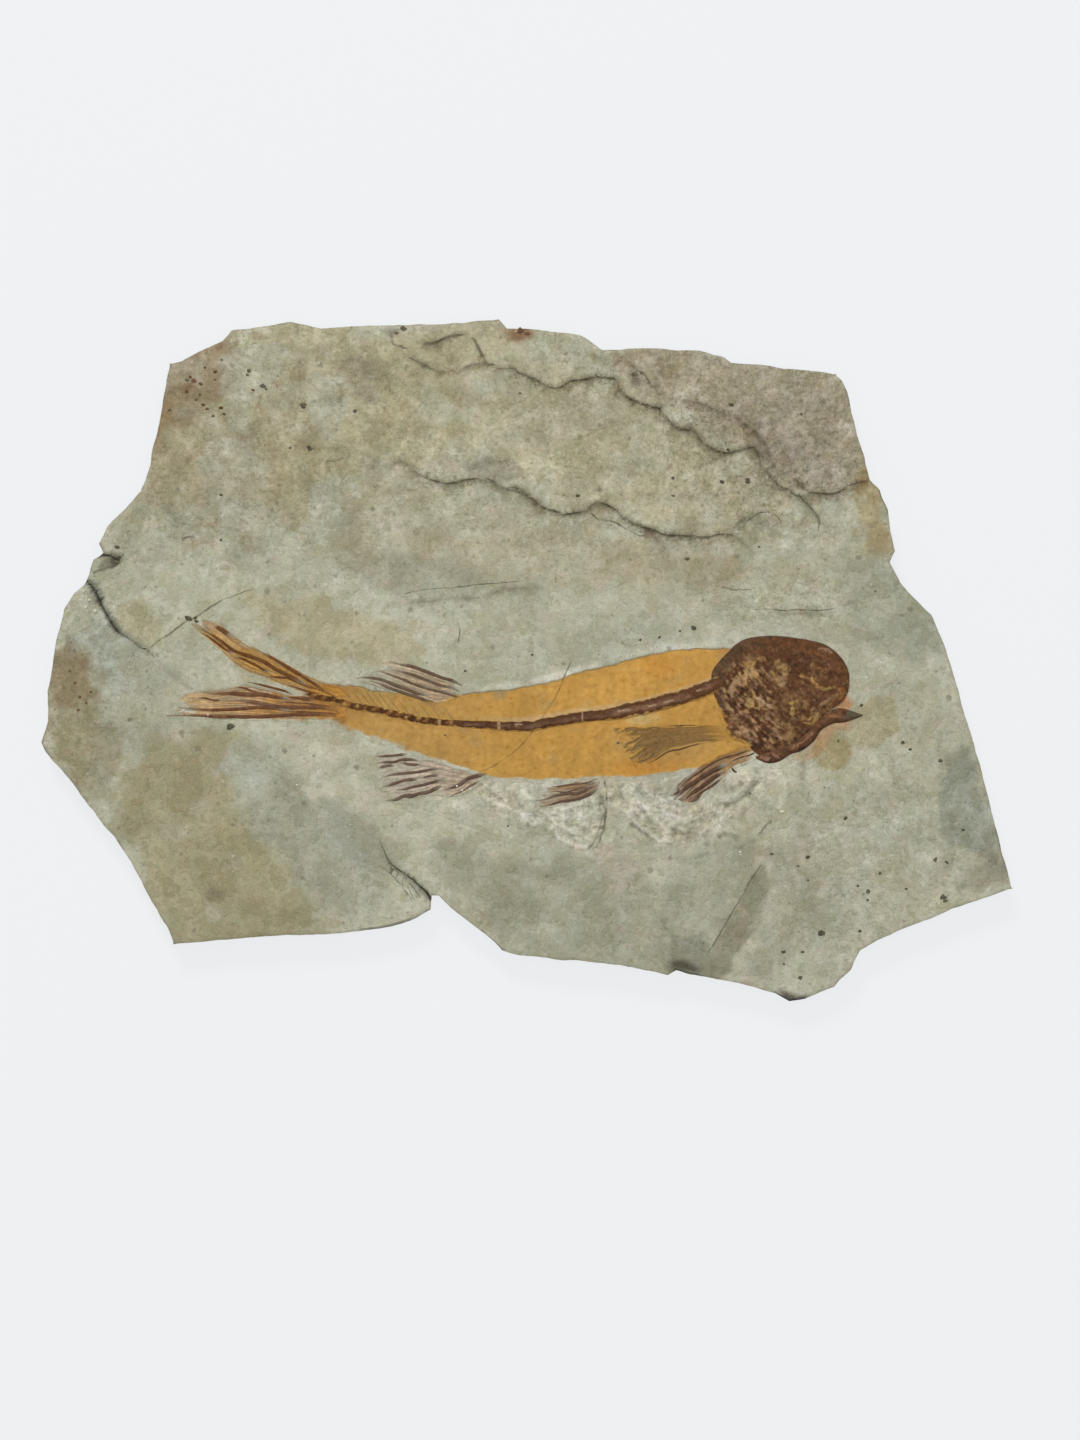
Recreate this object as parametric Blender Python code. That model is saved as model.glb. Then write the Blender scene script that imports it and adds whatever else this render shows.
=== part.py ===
"""Fossil fish slab: a shale plate with a small sturgeon-like fish pressed flat on its upper face.

The plate lies on its flat underside. +X points to the fish's snout, +Y to the plate's upper edge
and +Z up, out of the fossil face. The origin is under the middle of the plate, on the surface that
the plate lies on. Outlines are lists of (x, y) corners in drawing units of one millimetre.
"""
import bmesh
import bpy
import numpy as np
from mathutils import Vector, noise

# Driving dimensions, in metres.
PLATE_LENGTH = 0.418          # left corner to right corner, along X
FISH_PLANE = 0.0120           # height of the bedding plane that the fish lies on
LAMINA_TOPS = (0.0023, 0.0042, 0.0064, 0.0081, 0.0102)   # tops of the layers below the fish's own
LAMINA_OVERLAP = 0.0004       # how far a layer reaches down into the one below it
INLAY_DEPTH = 0.0010          # thickness of the film and of the fins' webs, sunk in the rock
GAP = 0.0003                  # free room between pieces that touch
SKULL_RELIEF = 0.0026         # how far the skull's highest point stands above the bedding plane
JAW_RELIEF = 0.0016
CHANNEL_DEPTH = 0.0005        # how deep the backbone lies in the film
RAY_RADIUS = 0.0007           # half the thickness of a strong fin ray

DRAWN_LENGTH = 418.0          # the plate's length in drawing units
UNIT = PLATE_LENGTH / DRAWN_LENGTH
MERGE = 0.00001               # distance under which two vertices are the same one
CUTTER_TOP = FISH_PLANE + 0.004       # above everything that a cutter has to clear
MITRE_LIMIT = 0.6             # least cosine of half a corner's turn that an offset allows for

# The plate's rim, clockwise from its upper left corner.
UPPER_RIM = [
    (-153.5, 128), (-148.5, 129), (-140.5, 133.5), (-131, 138), (-127, 142.5), (-108, 145),
    (-101.5, 146), (-89, 143.5), (-63, 144.5), (-33, 145.5), (-12, 147), (-8.5, 143.5), (10, 142),
    (23, 140.5), (32.5, 134), (49, 135), (74.5, 133.5), (86, 131), (87, 128.5), (104.5, 127),
    (133, 123.5)]
RIGHT_RIM = [
    (136, 121), (138.5, 116), (140, 107), (144.5, 90.5), (148, 78), (152, 73.5), (155.5, 65),
    (156.5, 55.5), (159, 47.5), (156.5, 42.5), (161, 34), (168, 26), (174.5, 20), (180, 7),
    (186.5, -14.5), (193.5, -38.5), (199.5, -62), (205, -83.5), (209, -98)]
LOWER_RIM = [
    (203.5, -100), (195, -103), (183, -107), (173.5, -111), (160.5, -116), (150.5, -120.5),
    (143.5, -124.5), (139.5, -133), (135, -137), (132.5, -140.5), (120, -145.5), (113.5, -147),
    (107.5, -143.5), (92, -139), (74.5, -136), (64.5, -133.5), (61, -135.5), (53, -133.5),
    (40, -131), (18.5, -129), (-3, -127), (-10.5, -124.5), (-15.5, -120), (-24.5, -113),
    (-33, -106.5), (-38, -101.5), (-41.5, -101.5), (-40, -107.5), (-50, -112), (-63, -115.5),
    (-80, -117.5), (-97.5, -118), (-119, -119), (-152, -122)]
LEFT_RIM = [
    (-154.5, -115.5), (-162, -102), (-170.5, -86), (-183.5, -68.5), (-200.5, -47), (-207, -39),
    (-209, -35), (-206, -26), (-206, -12.5), (-202.5, 9), (-199.5, 22), (-195, 29), (-190.5, 33),
    (-188.5, 37.5), (-186.5, 43.5), (-182, 46.5), (-184.5, 50.5), (-180.5, 58), (-172.5, 65.5),
    (-166.5, 73), (-162, 84.5), (-161, 91.5), (-159, 99.5), (-155, 121)]
PLATE_RIM = UPPER_RIM + RIGHT_RIM + LOWER_RIM + LEFT_RIM

# How far each layer's rim lies inside the plate's rim, from the lowest layer to the fish's own.
RIM_SETBACK = (1.9, 0.9, 1.5, 0.7, 1.1, 0.0)
RIM_ROUGHNESS = (1.5, 1.0, 1.2, 0.8, 0.8, 0.0)
ROUGHNESS_PITCH = 23.0        # distance between two dents of a rim
CHIPPED_LAYERS = {4: 0.5, 5: 1.0}     # how much of a chip's bite each of the two upper layers takes

# Chips knocked out of the two upper layers: x, y, reach along the rim, depth of the bite.
RIM_CHIPS = {
    "lower_left": (-66, -115, 24, 2.4),
    "lower_middle": (66, -134, 8, 3.0),
    "lower_right": (110, -144, 10, 4.5),
    "left_slit": (-186, 42, 9, 3.2),
    "right_notch": (158, 44, 8, 1.6),
    "upper_step": (30, 137, 7, 1.5)}

# Patches where layers above the fish's own have stayed: their outlines, and the height over the
# bedding plane at three places, which fixes the patch's slope.
LOWER_LEDGE = [
    (-62.5, 84.5), (-58.5, 83.5), (-55.5, 87), (-48, 82), (-43.5, 78.5), (-39.5, 77), (-33, 76.5),
    (-20, 77), (-13.5, 75), (-9, 76), (-5, 75), (-0.5, 72), (6, 66.5), (10, 64.5), (18, 62.5),
    (24, 64.5), (27.5, 71.5), (31.5, 69), (37, 67), (39.5, 64), (46, 59), (51, 57), (59.5, 55),
    (70.5, 53.5), (85.5, 54.5), (92, 53), (98.5, 48), (100, 62), (82, 79), (55, 88), (20, 98),
    (-20, 104), (-52, 100)]
LOWER_LEDGE_HEIGHTS = ((-55, 84, 0.45), (85, 54, 0.85), (20, 98, -0.1))
UPPER_LEDGE = [
    (-50, 130.5), (-41.5, 126), (-24.5, 127.5), (-11.5, 125), (1.5, 121.5), (9, 117.5),
    (14.5, 117.5), (23, 121), (36, 121.5), (41, 114.5), (51, 110), (56.5, 109), (64, 101.5),
    (70.5, 99.5), (73.5, 96.5), (81, 91), (89.5, 91), (99, 92), (98.5, 88.5), (104, 81),
    (109, 74.5), (113.5, 72.5), (123, 65), (126, 60), (138, 58), (155, 58), (154, 64.5), (151, 72.5),
    (147, 77.5), (143.5, 90), (139, 106.5), (137.5, 115.5), (135, 120), (132.5, 122.5),
    (104.5, 126), (86.5, 127.5), (85, 130), (74.5, 132.5), (49, 134), (32, 133), (22.5, 139.5),
    (10, 141), (-9, 142.5), (-12.5, 145.5), (-33, 144.5), (-48, 143.5)]
UPPER_LEDGE_HEIGHTS = ((-50, 131, 0.15), (100, 90, 1.3), (140, 60, 0.9))
TOP_LEDGE = [
    (49, 115), (59.5, 114), (70.5, 112), (80, 109), (86, 106), (91, 106), (94, 100), (97.5, 99.5),
    (103, 93.5), (106.5, 86), (111.5, 80), (116.5, 78), (122, 75), (131.5, 72.5), (139, 75),
    (146.5, 76.5), (143, 90), (138.5, 106), (137, 115), (134.5, 119.5), (132, 122), (104.5, 125.5),
    (86, 127), (84.5, 129.5), (74.5, 132), (52, 133)]
TOP_LEDGE_HEIGHTS = ((49, 115, 1.1), (110, 80, 2.2), (86, 127, 1.6))
LEDGE_ROOT = 1.5              # how deep a patch is rooted in the plate

# Shallow scars where a flake came away: outline and depth.
FLAKE_SCARS = {
    "oval_scar": ([(-25, 82), (-20, 85.5), (-11.5, 86.5), (-5, 85), (-0.5, 81.5), (0.5, 78),
                   (-5, 75.8), (-11.5, 76.2), (-20, 77.6), (-24.5, 79)], 0.5),
    "belly_scar": ([(-8, -63.5), (3, -68.5), (14.5, -74), (28, -79.5), (31.5, -77), (34, -68),
                    (33, -61), (27, -62), (15, -65), (4, -66.5)], 0.45),
    "throat_scar": ([(43, -64), (49, -66.5), (55.5, -70), (61, -76), (70.5, -75.5), (83, -68.5),
                     (91, -60), (84, -60.5), (75, -64), (66, -65), (56, -64.5)], 0.4)}

# Open cracks: the path from the rim inwards, the width at the rim and at the inner end, the depth.
CRACKS = {
    "tail_crack": ([(-195, 37), (-187.5, 32.5), (-183.5, 27), (-181, 22), (-178, 14.5),
                    (-170.5, 9), (-163, 4.5), (-157.5, 0), (-152.5, -5.5), (-149, -9)],
                   1.1, 0.3, 3.0),
    "branch_crack": ([(-162, 5.5), (-155.5, 10.5), (-147.5, 16), (-145.5, 17)], 0.5, 0.3, 1.4),
    "lower_crack": ([(-38, -113), (-39.5, -107), (-41, -102.5), (-43.5, -99), (-48, -95.5),
                     (-54.5, -90.5), (-58.5, -87), (-62, -80.5), (-63, -77)], 1.2, 0.3, 3.0)}

# The fish, in the same drawing units.
FILM = [
    (83, 5.5), (70.5, 5.5), (57.5, 4), (49, 2), (37, -1), (22.5, -4.5), (8.5, -9), (-3, -11),
    (-13, -12.5), (-25.5, -13.5), (-39.5, -14), (-54.5, -10), (-71.5, -8), (-87, -9.3),
    (-87, -26.5), (-80, -29), (-65, -35), (-58.5, -36.5), (-44.5, -41.5), (-33, -44.5), (-23, -48),
    (-13, -50.5), (-2.5, -51), (15.5, -51.5), (30, -50.5), (49, -49.5), (57.5, -48), (74.5, -45),
    (82, -41.5), (89.5, -38), (94, -35.5)]
SKULL = [
    (97.5, 10.5), (107, 11), (120, 9.5), (129, 7), (135, 2), (138.5, -4), (139, -9), (138, -14),
    (134, -17), (129, -20), (123.5, -24.5), (119.5, -29.5), (113.5, -34), (107.5, -36),
    (101.5, -38.5), (97, -37.5), (94, -35), (87.5, -34), (84, -25.5), (81.5, -18), (79.5, -6.5),
    (82.5, -0.5), (88, 5.5), (92.5, 9)]
SKULL_MIDDLE = (109, -12)
SKULL_RINGS = (1.0, 0.97, 0.9, 0.8, 0.68, 0.54, 0.38, 0.2, 0.05)
SKULL_EDGE = 0.12             # height of the skull's edge, as a share of its relief
SKULL_DOME = 0.66             # height of its smooth dome
SKULL_CRUSH = 0.42            # height of the lumps that crushing left in it
BONE_LUMP_PITCH = 9.0         # distance between two lumps
JAW = [
    (144.5, -23.5), (140.5, -21.7), (136, -20.4), (131.5, -21), (127.5, -23.8), (124, -27.6),
    (119.8, -32), (114, -36), (108, -38), (102, -40.2), (98.5, -41.5), (104, -44), (109, -43),
    (113.5, -40), (118, -39), (123.5, -35), (126.5, -30), (131.5, -27), (137, -26.3)]
BACKBONE_PATH = [
    (78.3, -9.7), (65.5, -15), (50, -19.3), (34.5, -23), (14.5, -26), (4, -28), (-10.5, -28.5),
    (-34, -27), (-55, -23), (-70, -20), (-86.3, -15.6)]
BACKBONE_HALF_WIDTHS = [3.0, 3.1, 2.8, 2.6, 2.3, 2.2, 2.0, 1.9, 1.5, 1.2, 1.0]
JAW_SLOPE = 0.8               # how far the jaw's top lies inside its foot
JAW_FOOT = 0.3                # share of the jaw's relief where its sides begin to slope
VERTEBRA_PITCH = 4.3
VERTEBRA_WAIST = 0.84         # width between two vertebrae, against the width across one
BONE_FLATNESS = 0.42          # height of the pressed backbone, against its width
SPINE_STATIONS = (0.62, 0.66, 0.70, 0.74, 0.78, 0.82, 0.86, 0.90, 0.94)
SPINE_LEAN = (-8.5, 8.0)      # from a neural spine's root to its tip
SPINE_TAPER = ((0.0, 0.54), (0.6, 0.45), (1.0, 0.27))   # share of the way out, radius there
RAY_TIP = 0.55                # thickness of a fin ray's tip, against its root

# Each fin: the outline of its web, and its rays from tip to root with their thickness factors.
FINS = {
    "dorsal_fin": {
        "web": [(-25.5, -12), (-30.5, -8), (-41.5, -4), (-50, -1.5), (-58.5, 0.8), (-61, -2.5),
                (-67.5, -4.5), (-73, -8), (-65, -11), (-54.5, -14), (-43.5, -17.5), (-36, -18),
                (-28.5, -16.5)],
        "rays": [([(-58, -0.2), (-41.5, -4.9), (-29.5, -10)], 1.0),
                 ([(-60, -3), (-46, -6), (-29.5, -12.5)], 1.0),
                 ([(-66, -5.4), (-52, -8.3), (-31, -15)], 1.0),
                 ([(-71.5, -8), (-65, -7.3), (-50, -11.3), (-36, -16.5)], 1.0),
                 ([(-66, -9.6), (-54.5, -13), (-43, -16.7)], 0.8)]},
    "anal_fin": {
        "web": [(-34.5, -43), (-46, -42.6), (-54.5, -39.5), (-67, -39.5), (-66.5, -44),
                (-65, -47.5), (-64.5, -51.5), (-63, -55.5), (-58, -58), (-56.5, -60.5),
                (-49, -62), (-47, -65.5), (-37, -61), (-26.5, -56.5), (-17, -51.5), (-20, -48.5),
                (-26.5, -45.5)],
        "rays": [([(-66, -40.6), (-52, -41.2)], 0.8),
                 ([(-65.4, -43.6), (-56, -43.6), (-44, -44.4)], 0.9),
                 ([(-64, -47), (-54.5, -46.6), (-34.5, -45.4)], 0.9),
                 ([(-63.3, -50.8), (-52, -48.8), (-36, -47.6)], 1.0),
                 ([(-61.5, -54.4), (-50, -51.9), (-32, -49.9)], 1.0),
                 ([(-56.5, -57), (-44, -54.6), (-28.5, -50.6)], 1.0),
                 ([(-55, -59.6), (-43.5, -57.4), (-31, -54.2), (-22.5, -49.2)], 1.0),
                 ([(-46, -64.2), (-37, -60.2), (-26.5, -55.6), (-18.6, -51)], 0.9)]},
    "pelvic_fin": {
        "web": [(36, -52.5), (33, -50.8), (25, -51.8), (14.5, -52.8), (7.5, -53.5), (3, -60),
                (4.5, -63.8), (15, -62), (25, -59.5), (33, -56)],
        "rays": [([(8.5, -54.5), (21, -53.6), (33.8, -52)], 0.8),
                 ([(11, -57), (22, -55.2), (33, -53.4)], 0.8),
                 ([(4.2, -60), (20, -57), (33, -54.4)], 1.0),
                 ([(5.2, -62.7), (20, -59.6), (31, -56)], 1.0)]},
    "upper_pectoral_fin": {
        "web": [(80.8, -26), (74.5, -25.8), (57.5, -24.8), (42.5, -23.8), (37.5, -26), (36.5, -32),
                (40, -38), (48.5, -44.2), (54, -43.5), (61, -39.8), (74.5, -36.4), (84, -35.4)],
        "rays": [([(40, -25.4), (57.5, -26.2), (79.5, -27.8)], 0.8),
                 ([(38.3, -29), (56, -29), (80.5, -30)], 0.8),
                 ([(39, -33), (57.5, -32), (81.2, -32)], 0.8),
                 ([(43, -37.4), (60, -35.4), (82, -33.8)], 0.8),
                 ([(50, -42.8), (60, -39), (73, -35.6)], 0.8)]},
    "lower_pectoral_fin": {
        "web": [(97, -38.8), (92, -39.5), (81, -43.6), (74.5, -47), (67, -51.5), (61.5, -56.5),
                (62.5, -60.5), (67, -62), (74.5, -61), (83, -54.5), (90.5, -48), (94.5, -50.5),
                (93.5, -46.5), (97, -42.5)],
        "rays": [([(63, -56.6), (70.5, -50.8), (81, -45), (92, -40.7)], 1.2),
                 ([(64.3, -59.4), (72, -53.6), (82, -47.5), (93, -42.4)], 1.2),
                 ([(69, -60.7), (77, -55), (85, -50), (93, -45)], 1.1)]},
    "tail_upper_lobe": {
        "web": [(-87.6, -9), (-93.5, -9.5), (-101.5, -3.6), (-110.5, 2), (-116.5, 6), (-126.5, 12),
                (-136, 16.5), (-142, 19), (-145, 17), (-140.5, 11.5), (-134, 7), (-127.5, 1.5),
                (-121, -4), (-113.5, -7.8), (-104, -12.7), (-95.5, -14.6), (-87.6, -16.3)],
        "rays": [([(-137, 15.6), (-126.5, 10.8), (-117, 4.8), (-101.5, -5.4), (-91, -12.2)], 1.0),
                 ([(-143, 16.9), (-134, 11.4), (-123, 5.2), (-108, -5.4), (-91, -14.6)], 1.2),
                 ([(-136, 10.2), (-127, 4.4), (-116, -3), (-103, -10.6), (-97, -13.2)], 1.0),
                 ([(-126.5, 1.8), (-118, -4.6), (-107, -10.4)], 0.8)]},
    "tail_lower_lobe": {
        "web": [(-87.6, -16.9), (-95.5, -15.2), (-104, -13.3), (-113.5, -8.4), (-121, -8.2),
                (-123.5, -11), (-138, -12.5), (-144.5, -15.5), (-151, -19.5), (-156, -23.5),
                (-140.5, -24.8), (-119, -26.2), (-97.5, -27), (-87.6, -27)],
        "rays": [([(-119.5, -9.5), (-110, -12), (-98, -16.4)], 0.8),
                 ([(-138, -13.5), (-125.5, -13.4), (-110.5, -15.6), (-90, -18.4)], 1.1),
                 ([(-142.5, -16.2), (-123, -17.4), (-108, -18.4), (-89.5, -20.4)], 1.1),
                 ([(-149.5, -20), (-132, -20.4), (-112, -20.8), (-89, -22.4)], 1.1),
                 ([(-154, -23.2), (-136, -23.4), (-115, -23.6), (-89, -24.6)], 1.1)]}}

# Each material: its colour and its roughness.
MATERIALS = {
    "greenish_grey_shale": ((0.36, 0.34, 0.25), 0.85),
    "ochre_film": ((0.49, 0.28, 0.078), 0.6),
    "dark_brown_bone": ((0.13, 0.06, 0.03), 0.45),
    "brown_fin_bone": ((0.24, 0.13, 0.05), 0.5)}


def empty_the_scene():
    for thing in list(bpy.data.objects):
        bpy.data.objects.remove(thing, do_unlink=True)


def new_collection(name, parent=None):
    collection = bpy.data.collections.new(name)
    (parent or bpy.context.scene.collection).children.link(collection)
    return collection


def new_material(name, colour, roughness):
    material = bpy.data.materials.new(name)
    material.use_nodes = True
    shader = material.node_tree.nodes["Principled BSDF"]
    shader.inputs["Base Color"].default_value = (*colour, 1.0)
    shader.inputs["Roughness"].default_value = roughness
    shader.inputs["Metallic"].default_value = 0.0
    return material


def drawn(points):
    """Drawing units to metres."""
    return np.array(points, dtype=float) * UNIT


def shifted(points, distance):
    """An outline with each corner moved outwards by distance, which may differ by corner."""
    edges = np.roll(points, -1, axis=0) - points
    directions = edges / np.linalg.norm(edges, axis=1, keepdims=True)
    tangents = directions + np.roll(directions, 1, axis=0)
    tangents /= np.linalg.norm(tangents, axis=1, keepdims=True)
    widening = np.clip((tangents * directions).sum(axis=1), MITRE_LIMIT, 1.0)
    x, y = points.T
    twice_area = (x * np.roll(y, -1) - y * np.roll(x, -1)).sum()
    outwards = np.sign(twice_area) * np.column_stack([tangents[:, 1], -tangents[:, 0]])
    return points + outwards * (distance / widening)[:, None]


def grown(points, distance):
    return shifted(points, np.full(len(points), distance))


def mesh_object(curve, collection):
    """Turns a curve object into a welded, closed mesh object of the same name."""
    name = curve.name
    evaluated = curve.evaluated_get(bpy.context.evaluated_depsgraph_get())
    mesh = bpy.data.meshes.new_from_object(evaluated)
    welded = bmesh.new()
    welded.from_mesh(mesh)
    bmesh.ops.remove_doubles(welded, verts=welded.verts, dist=MERGE)
    bmesh.ops.recalc_face_normals(welded, faces=welded.faces)
    welded.to_mesh(mesh)
    welded.free()
    place = curve.matrix_world.copy()
    bpy.data.objects.remove(curve, do_unlink=True)
    solid = bpy.data.objects.new(name, mesh)
    solid.matrix_world = place
    collection.objects.link(solid)
    return solid


def add_spline(curve, points, radii, closed):
    spline = curve.splines.new("POLY")
    spline.points.add(len(points) - 1)
    for spline_point, point, radius in zip(spline.points, points, radii):
        spline_point.co = (*point, 1.0)
        spline_point.radius = radius
    spline.use_cyclic_u = closed


def flat_solid(name, outline, bottom, top, collection):
    """A flat closed solid: the outline, filled, between two heights."""
    curve = bpy.data.curves.new(name, "CURVE")
    curve.dimensions = "2D"
    curve.fill_mode = "BOTH"
    curve.extrude = (top - bottom) / 2
    flat = [(x, y, 0.0) for x, y in outline]
    add_spline(curve, flat, np.ones(len(flat)), closed=True)
    holder = bpy.data.objects.new(name, curve)
    holder.location.z = (top + bottom) / 2
    collection.objects.link(holder)
    bpy.context.view_layer.update()
    return mesh_object(holder, collection)


def rod(name, points, radii, sides_level, collection):
    """A rod with filled ends along the points; sides_level 0 gives four sides, 1 gives six."""
    curve = bpy.data.curves.new(name, "CURVE")
    curve.dimensions = "3D"
    curve.bevel_depth = 1.0
    curve.bevel_resolution = sides_level
    curve.use_fill_caps = True
    add_spline(curve, points, radii, closed=False)
    holder = bpy.data.objects.new(name, curve)
    collection.objects.link(holder)
    bpy.context.view_layer.update()
    return mesh_object(holder, collection)


def combine(target, collection, operation):
    """Adds or cuts everything in a collection of helper solids, which stay hidden."""
    for helper in collection.objects:
        helper.hide_render = True
        helper.display_type = "WIRE"
    modifier = target.modifiers.new(collection.name, "BOOLEAN")
    modifier.operation = operation
    modifier.operand_type = "COLLECTION"
    modifier.collection = collection
    modifier.solver = "EXACT"


def rim_of_layer(level):
    """The broken rim of one layer: set back unevenly, and bitten into at the chips above."""
    rim = drawn(PLATE_RIM)
    setback = np.full(len(rim), RIM_SETBACK[level])
    for corner, (x, y) in enumerate(PLATE_RIM):
        place = Vector((x / ROUGHNESS_PITCH, y / ROUGHNESS_PITCH, level))
        setback[corner] += RIM_ROUGHNESS[level] * noise.noise(place)
    for x, y, reach, bite in RIM_CHIPS.values():
        distance = np.linalg.norm(np.array(PLATE_RIM) - (x, y), axis=1)
        setback += bite * CHIPPED_LAYERS.get(level, 0.0) * np.clip(1 - distance / reach, 0, 1)
    return shifted(rim, -setback * UNIT)


def height_plane(three_heights):
    """The plane z = a x + b y + c through three points given in drawing units."""
    places = np.array([(x, y, 1.0) for x, y, _ in three_heights])
    return np.linalg.solve(places, np.array([z for _, _, z in three_heights]))


def ledge_patch(name, outline, three_heights, collection):
    """A patch of an upper layer: its brow is steep, and its top is a gently tilted plane."""
    root = FISH_PLANE - LEDGE_ROOT * UNIT
    patch = flat_solid(name, drawn(outline), root, FISH_PLANE, collection)
    tilt_x, tilt_y, base = height_plane(three_heights)
    lift = patch.matrix_world.translation.z
    for vertex in patch.data.vertices:
        if vertex.co.z > 0:
            x, y = vertex.co.x / UNIT, vertex.co.y / UNIT
            vertex.co.z = FISH_PLANE + (tilt_x * x + tilt_y * y + base) * UNIT - lift
    return patch


def strip(path, widths):
    """The outline of a tapering strip along a path, from its left side round to its right."""
    points = drawn(path)
    directions = np.gradient(points, axis=0)
    directions /= np.linalg.norm(directions, axis=1, keepdims=True)
    aside = np.column_stack([-directions[:, 1], directions[:, 0]]) * widths[:, None] / 2
    return np.vstack([points + aside, (points - aside)[::-1]])


def make_layers(collection):
    """All layers of the plate above the lowest one, and the patches left on top."""
    layers = new_collection("upper layers", collection)
    tops = LAMINA_TOPS[1:] + (FISH_PLANE,)
    for level, (bottom, top) in enumerate(zip(LAMINA_TOPS, tops), start=1):
        flat_solid(f"layer_{level}", rim_of_layer(level), bottom - LAMINA_OVERLAP, top, layers)
    ledge_patch("lower_ledge", LOWER_LEDGE, LOWER_LEDGE_HEIGHTS, layers)
    ledge_patch("upper_ledge", UPPER_LEDGE, UPPER_LEDGE_HEIGHTS, layers)
    ledge_patch("top_ledge", TOP_LEDGE, TOP_LEDGE_HEIGHTS, layers)
    return layers


def make_scars_and_cracks(collection):
    """Cutters for the shallow flake scars and the open cracks."""
    damage = new_collection("scars and cracks", collection)
    for name, (outline, depth) in FLAKE_SCARS.items():
        flat_solid(name, drawn(outline), FISH_PLANE - depth * UNIT, CUTTER_TOP, damage)
    for name, (path, outer_width, inner_width, depth) in CRACKS.items():
        widths = np.linspace(outer_width, inner_width, len(path)) * UNIT
        flat_solid(name, strip(path, widths), FISH_PLANE - depth * UNIT, CUTTER_TOP, damage)
    return damage


def bone_outlines():
    """The outline of each bony piece that is sunk in the rock or in the film."""
    return {"skull": SKULL, "jaw": JAW, **{name: fin["web"] for name, fin in FINS.items()}}


def make_beds(name, outlines, collection):
    """Cutters for the pieces' beds, wider and deeper than the pieces by the gap."""
    beds = new_collection(name, collection)
    floor = FISH_PLANE - INLAY_DEPTH - GAP
    for piece, outline in outlines.items():
        flat_solid(f"{name}_{piece}", grown(drawn(outline), GAP), floor, CUTTER_TOP, beds)
    return beds


def make_slab(part, cutters, material):
    """The shale plate: its layers, its ledges, its scars and cracks, and the fish's bed."""
    slab = flat_solid("slab", rim_of_layer(0), 0.0, LAMINA_TOPS[0], part)
    slab.data.materials.append(material)
    beds = make_beds("bed_in_rock", {"film": FILM, **bone_outlines()}, cutters)
    return [(slab, make_layers(cutters), "UNION"),
            (slab, make_scars_and_cracks(cutters), "DIFFERENCE"),
            (slab, beds, "DIFFERENCE")]


def make_film(part, cutters, material):
    """The film of skin and flesh, level with the rock, with beds for the bones that lie in it."""
    film = flat_solid("body_film", drawn(FILM), FISH_PLANE - INLAY_DEPTH, FISH_PLANE, part)
    film.data.materials.append(material)
    beds = make_beds("bed_in_film", bone_outlines(), cutters)
    channel = strip(BACKBONE_PATH, 2 * (np.array(BACKBONE_HALF_WIDTHS) * UNIT + GAP))
    flat_solid("channel", channel, FISH_PLANE - CHANNEL_DEPTH, CUTTER_TOP, beds)
    return [(film, beds, "DIFFERENCE")]


def rounded(points):
    """An outline with each corner cut off at a quarter of both its sides: twice the corners."""
    following = np.roll(points, -1, axis=0)
    pairs = np.stack([0.75 * points + 0.25 * following, 0.25 * points + 0.75 * following], axis=1)
    return pairs.reshape(-1, 2)


def loft(name, rings, collection):
    """A closed solid through rings with the same number of corners, with a flat base and top."""
    count = len(rings[0])
    faces = [tuple(range(count)), tuple(range((len(rings) - 1) * count, len(rings) * count))]
    for row in range(len(rings) - 1):
        for corner in range(count):
            following = (corner + 1) % count
            low, high = row * count, (row + 1) * count
            faces.append((low + corner, low + following, high + following, high + corner))
    mesh = bpy.data.meshes.new(name)
    mesh.from_pydata(np.vstack(rings).tolist(), [], faces)
    outwards = bmesh.new()
    outwards.from_mesh(mesh)
    bmesh.ops.recalc_face_normals(outwards, faces=outwards.faces)
    outwards.to_mesh(mesh)
    outwards.free()
    solid = bpy.data.objects.new(name, mesh)
    collection.objects.link(solid)
    return solid


def level_ring(outline, height):
    return np.column_stack([outline, np.full(len(outline), height)])


def skull_height(x, y, ring):
    """Height over the plane as a share of the relief: a flat dome times an uneven crushed face."""
    place = Vector((x, y, 0)) / (BONE_LUMP_PITCH * UNIT)
    dome = (1 - ring ** 3) ** 0.5
    return SKULL_EDGE + dome * (SKULL_DOME + SKULL_CRUSH * noise.noise(place))


def make_skull(part, material):
    """A low dome on the skull's outline: rings that shrink to its middle, with crushed lumps."""
    outline = rounded(drawn(SKULL))
    middle = drawn([SKULL_MIDDLE])[0]
    rings = [level_ring(outline, FISH_PLANE - INLAY_DEPTH)]
    for ring in SKULL_RINGS:
        flat = middle + (outline - middle) * ring
        heights = [FISH_PLANE + SKULL_RELIEF * skull_height(x, y, ring) for x, y in flat]
        rings.append(np.column_stack([flat, heights]))
    rings[-1][:, 2] = rings[-1][:, 2].mean()
    loft("skull", rings, part).data.materials.append(material)


def make_jaw(part, material):
    """The jaw: a curved bar with a pointed front end and sides that slope in towards its top."""
    outline = drawn(JAW)
    rings = [
        level_ring(outline, FISH_PLANE - INLAY_DEPTH),
        level_ring(outline, FISH_PLANE + JAW_FOOT * JAW_RELIEF),
        level_ring(grown(outline, -JAW_SLOPE * UNIT), FISH_PLANE + JAW_RELIEF)]
    loft("lower_jaw", rings, part).data.materials.append(material)


def path_shares(points):
    """How far along a path each of its points lies, as a share, and the path's length."""
    lengths = np.concatenate([[0], np.linalg.norm(np.diff(points, axis=0), axis=1).cumsum()])
    return lengths / lengths[-1], lengths[-1]


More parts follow.
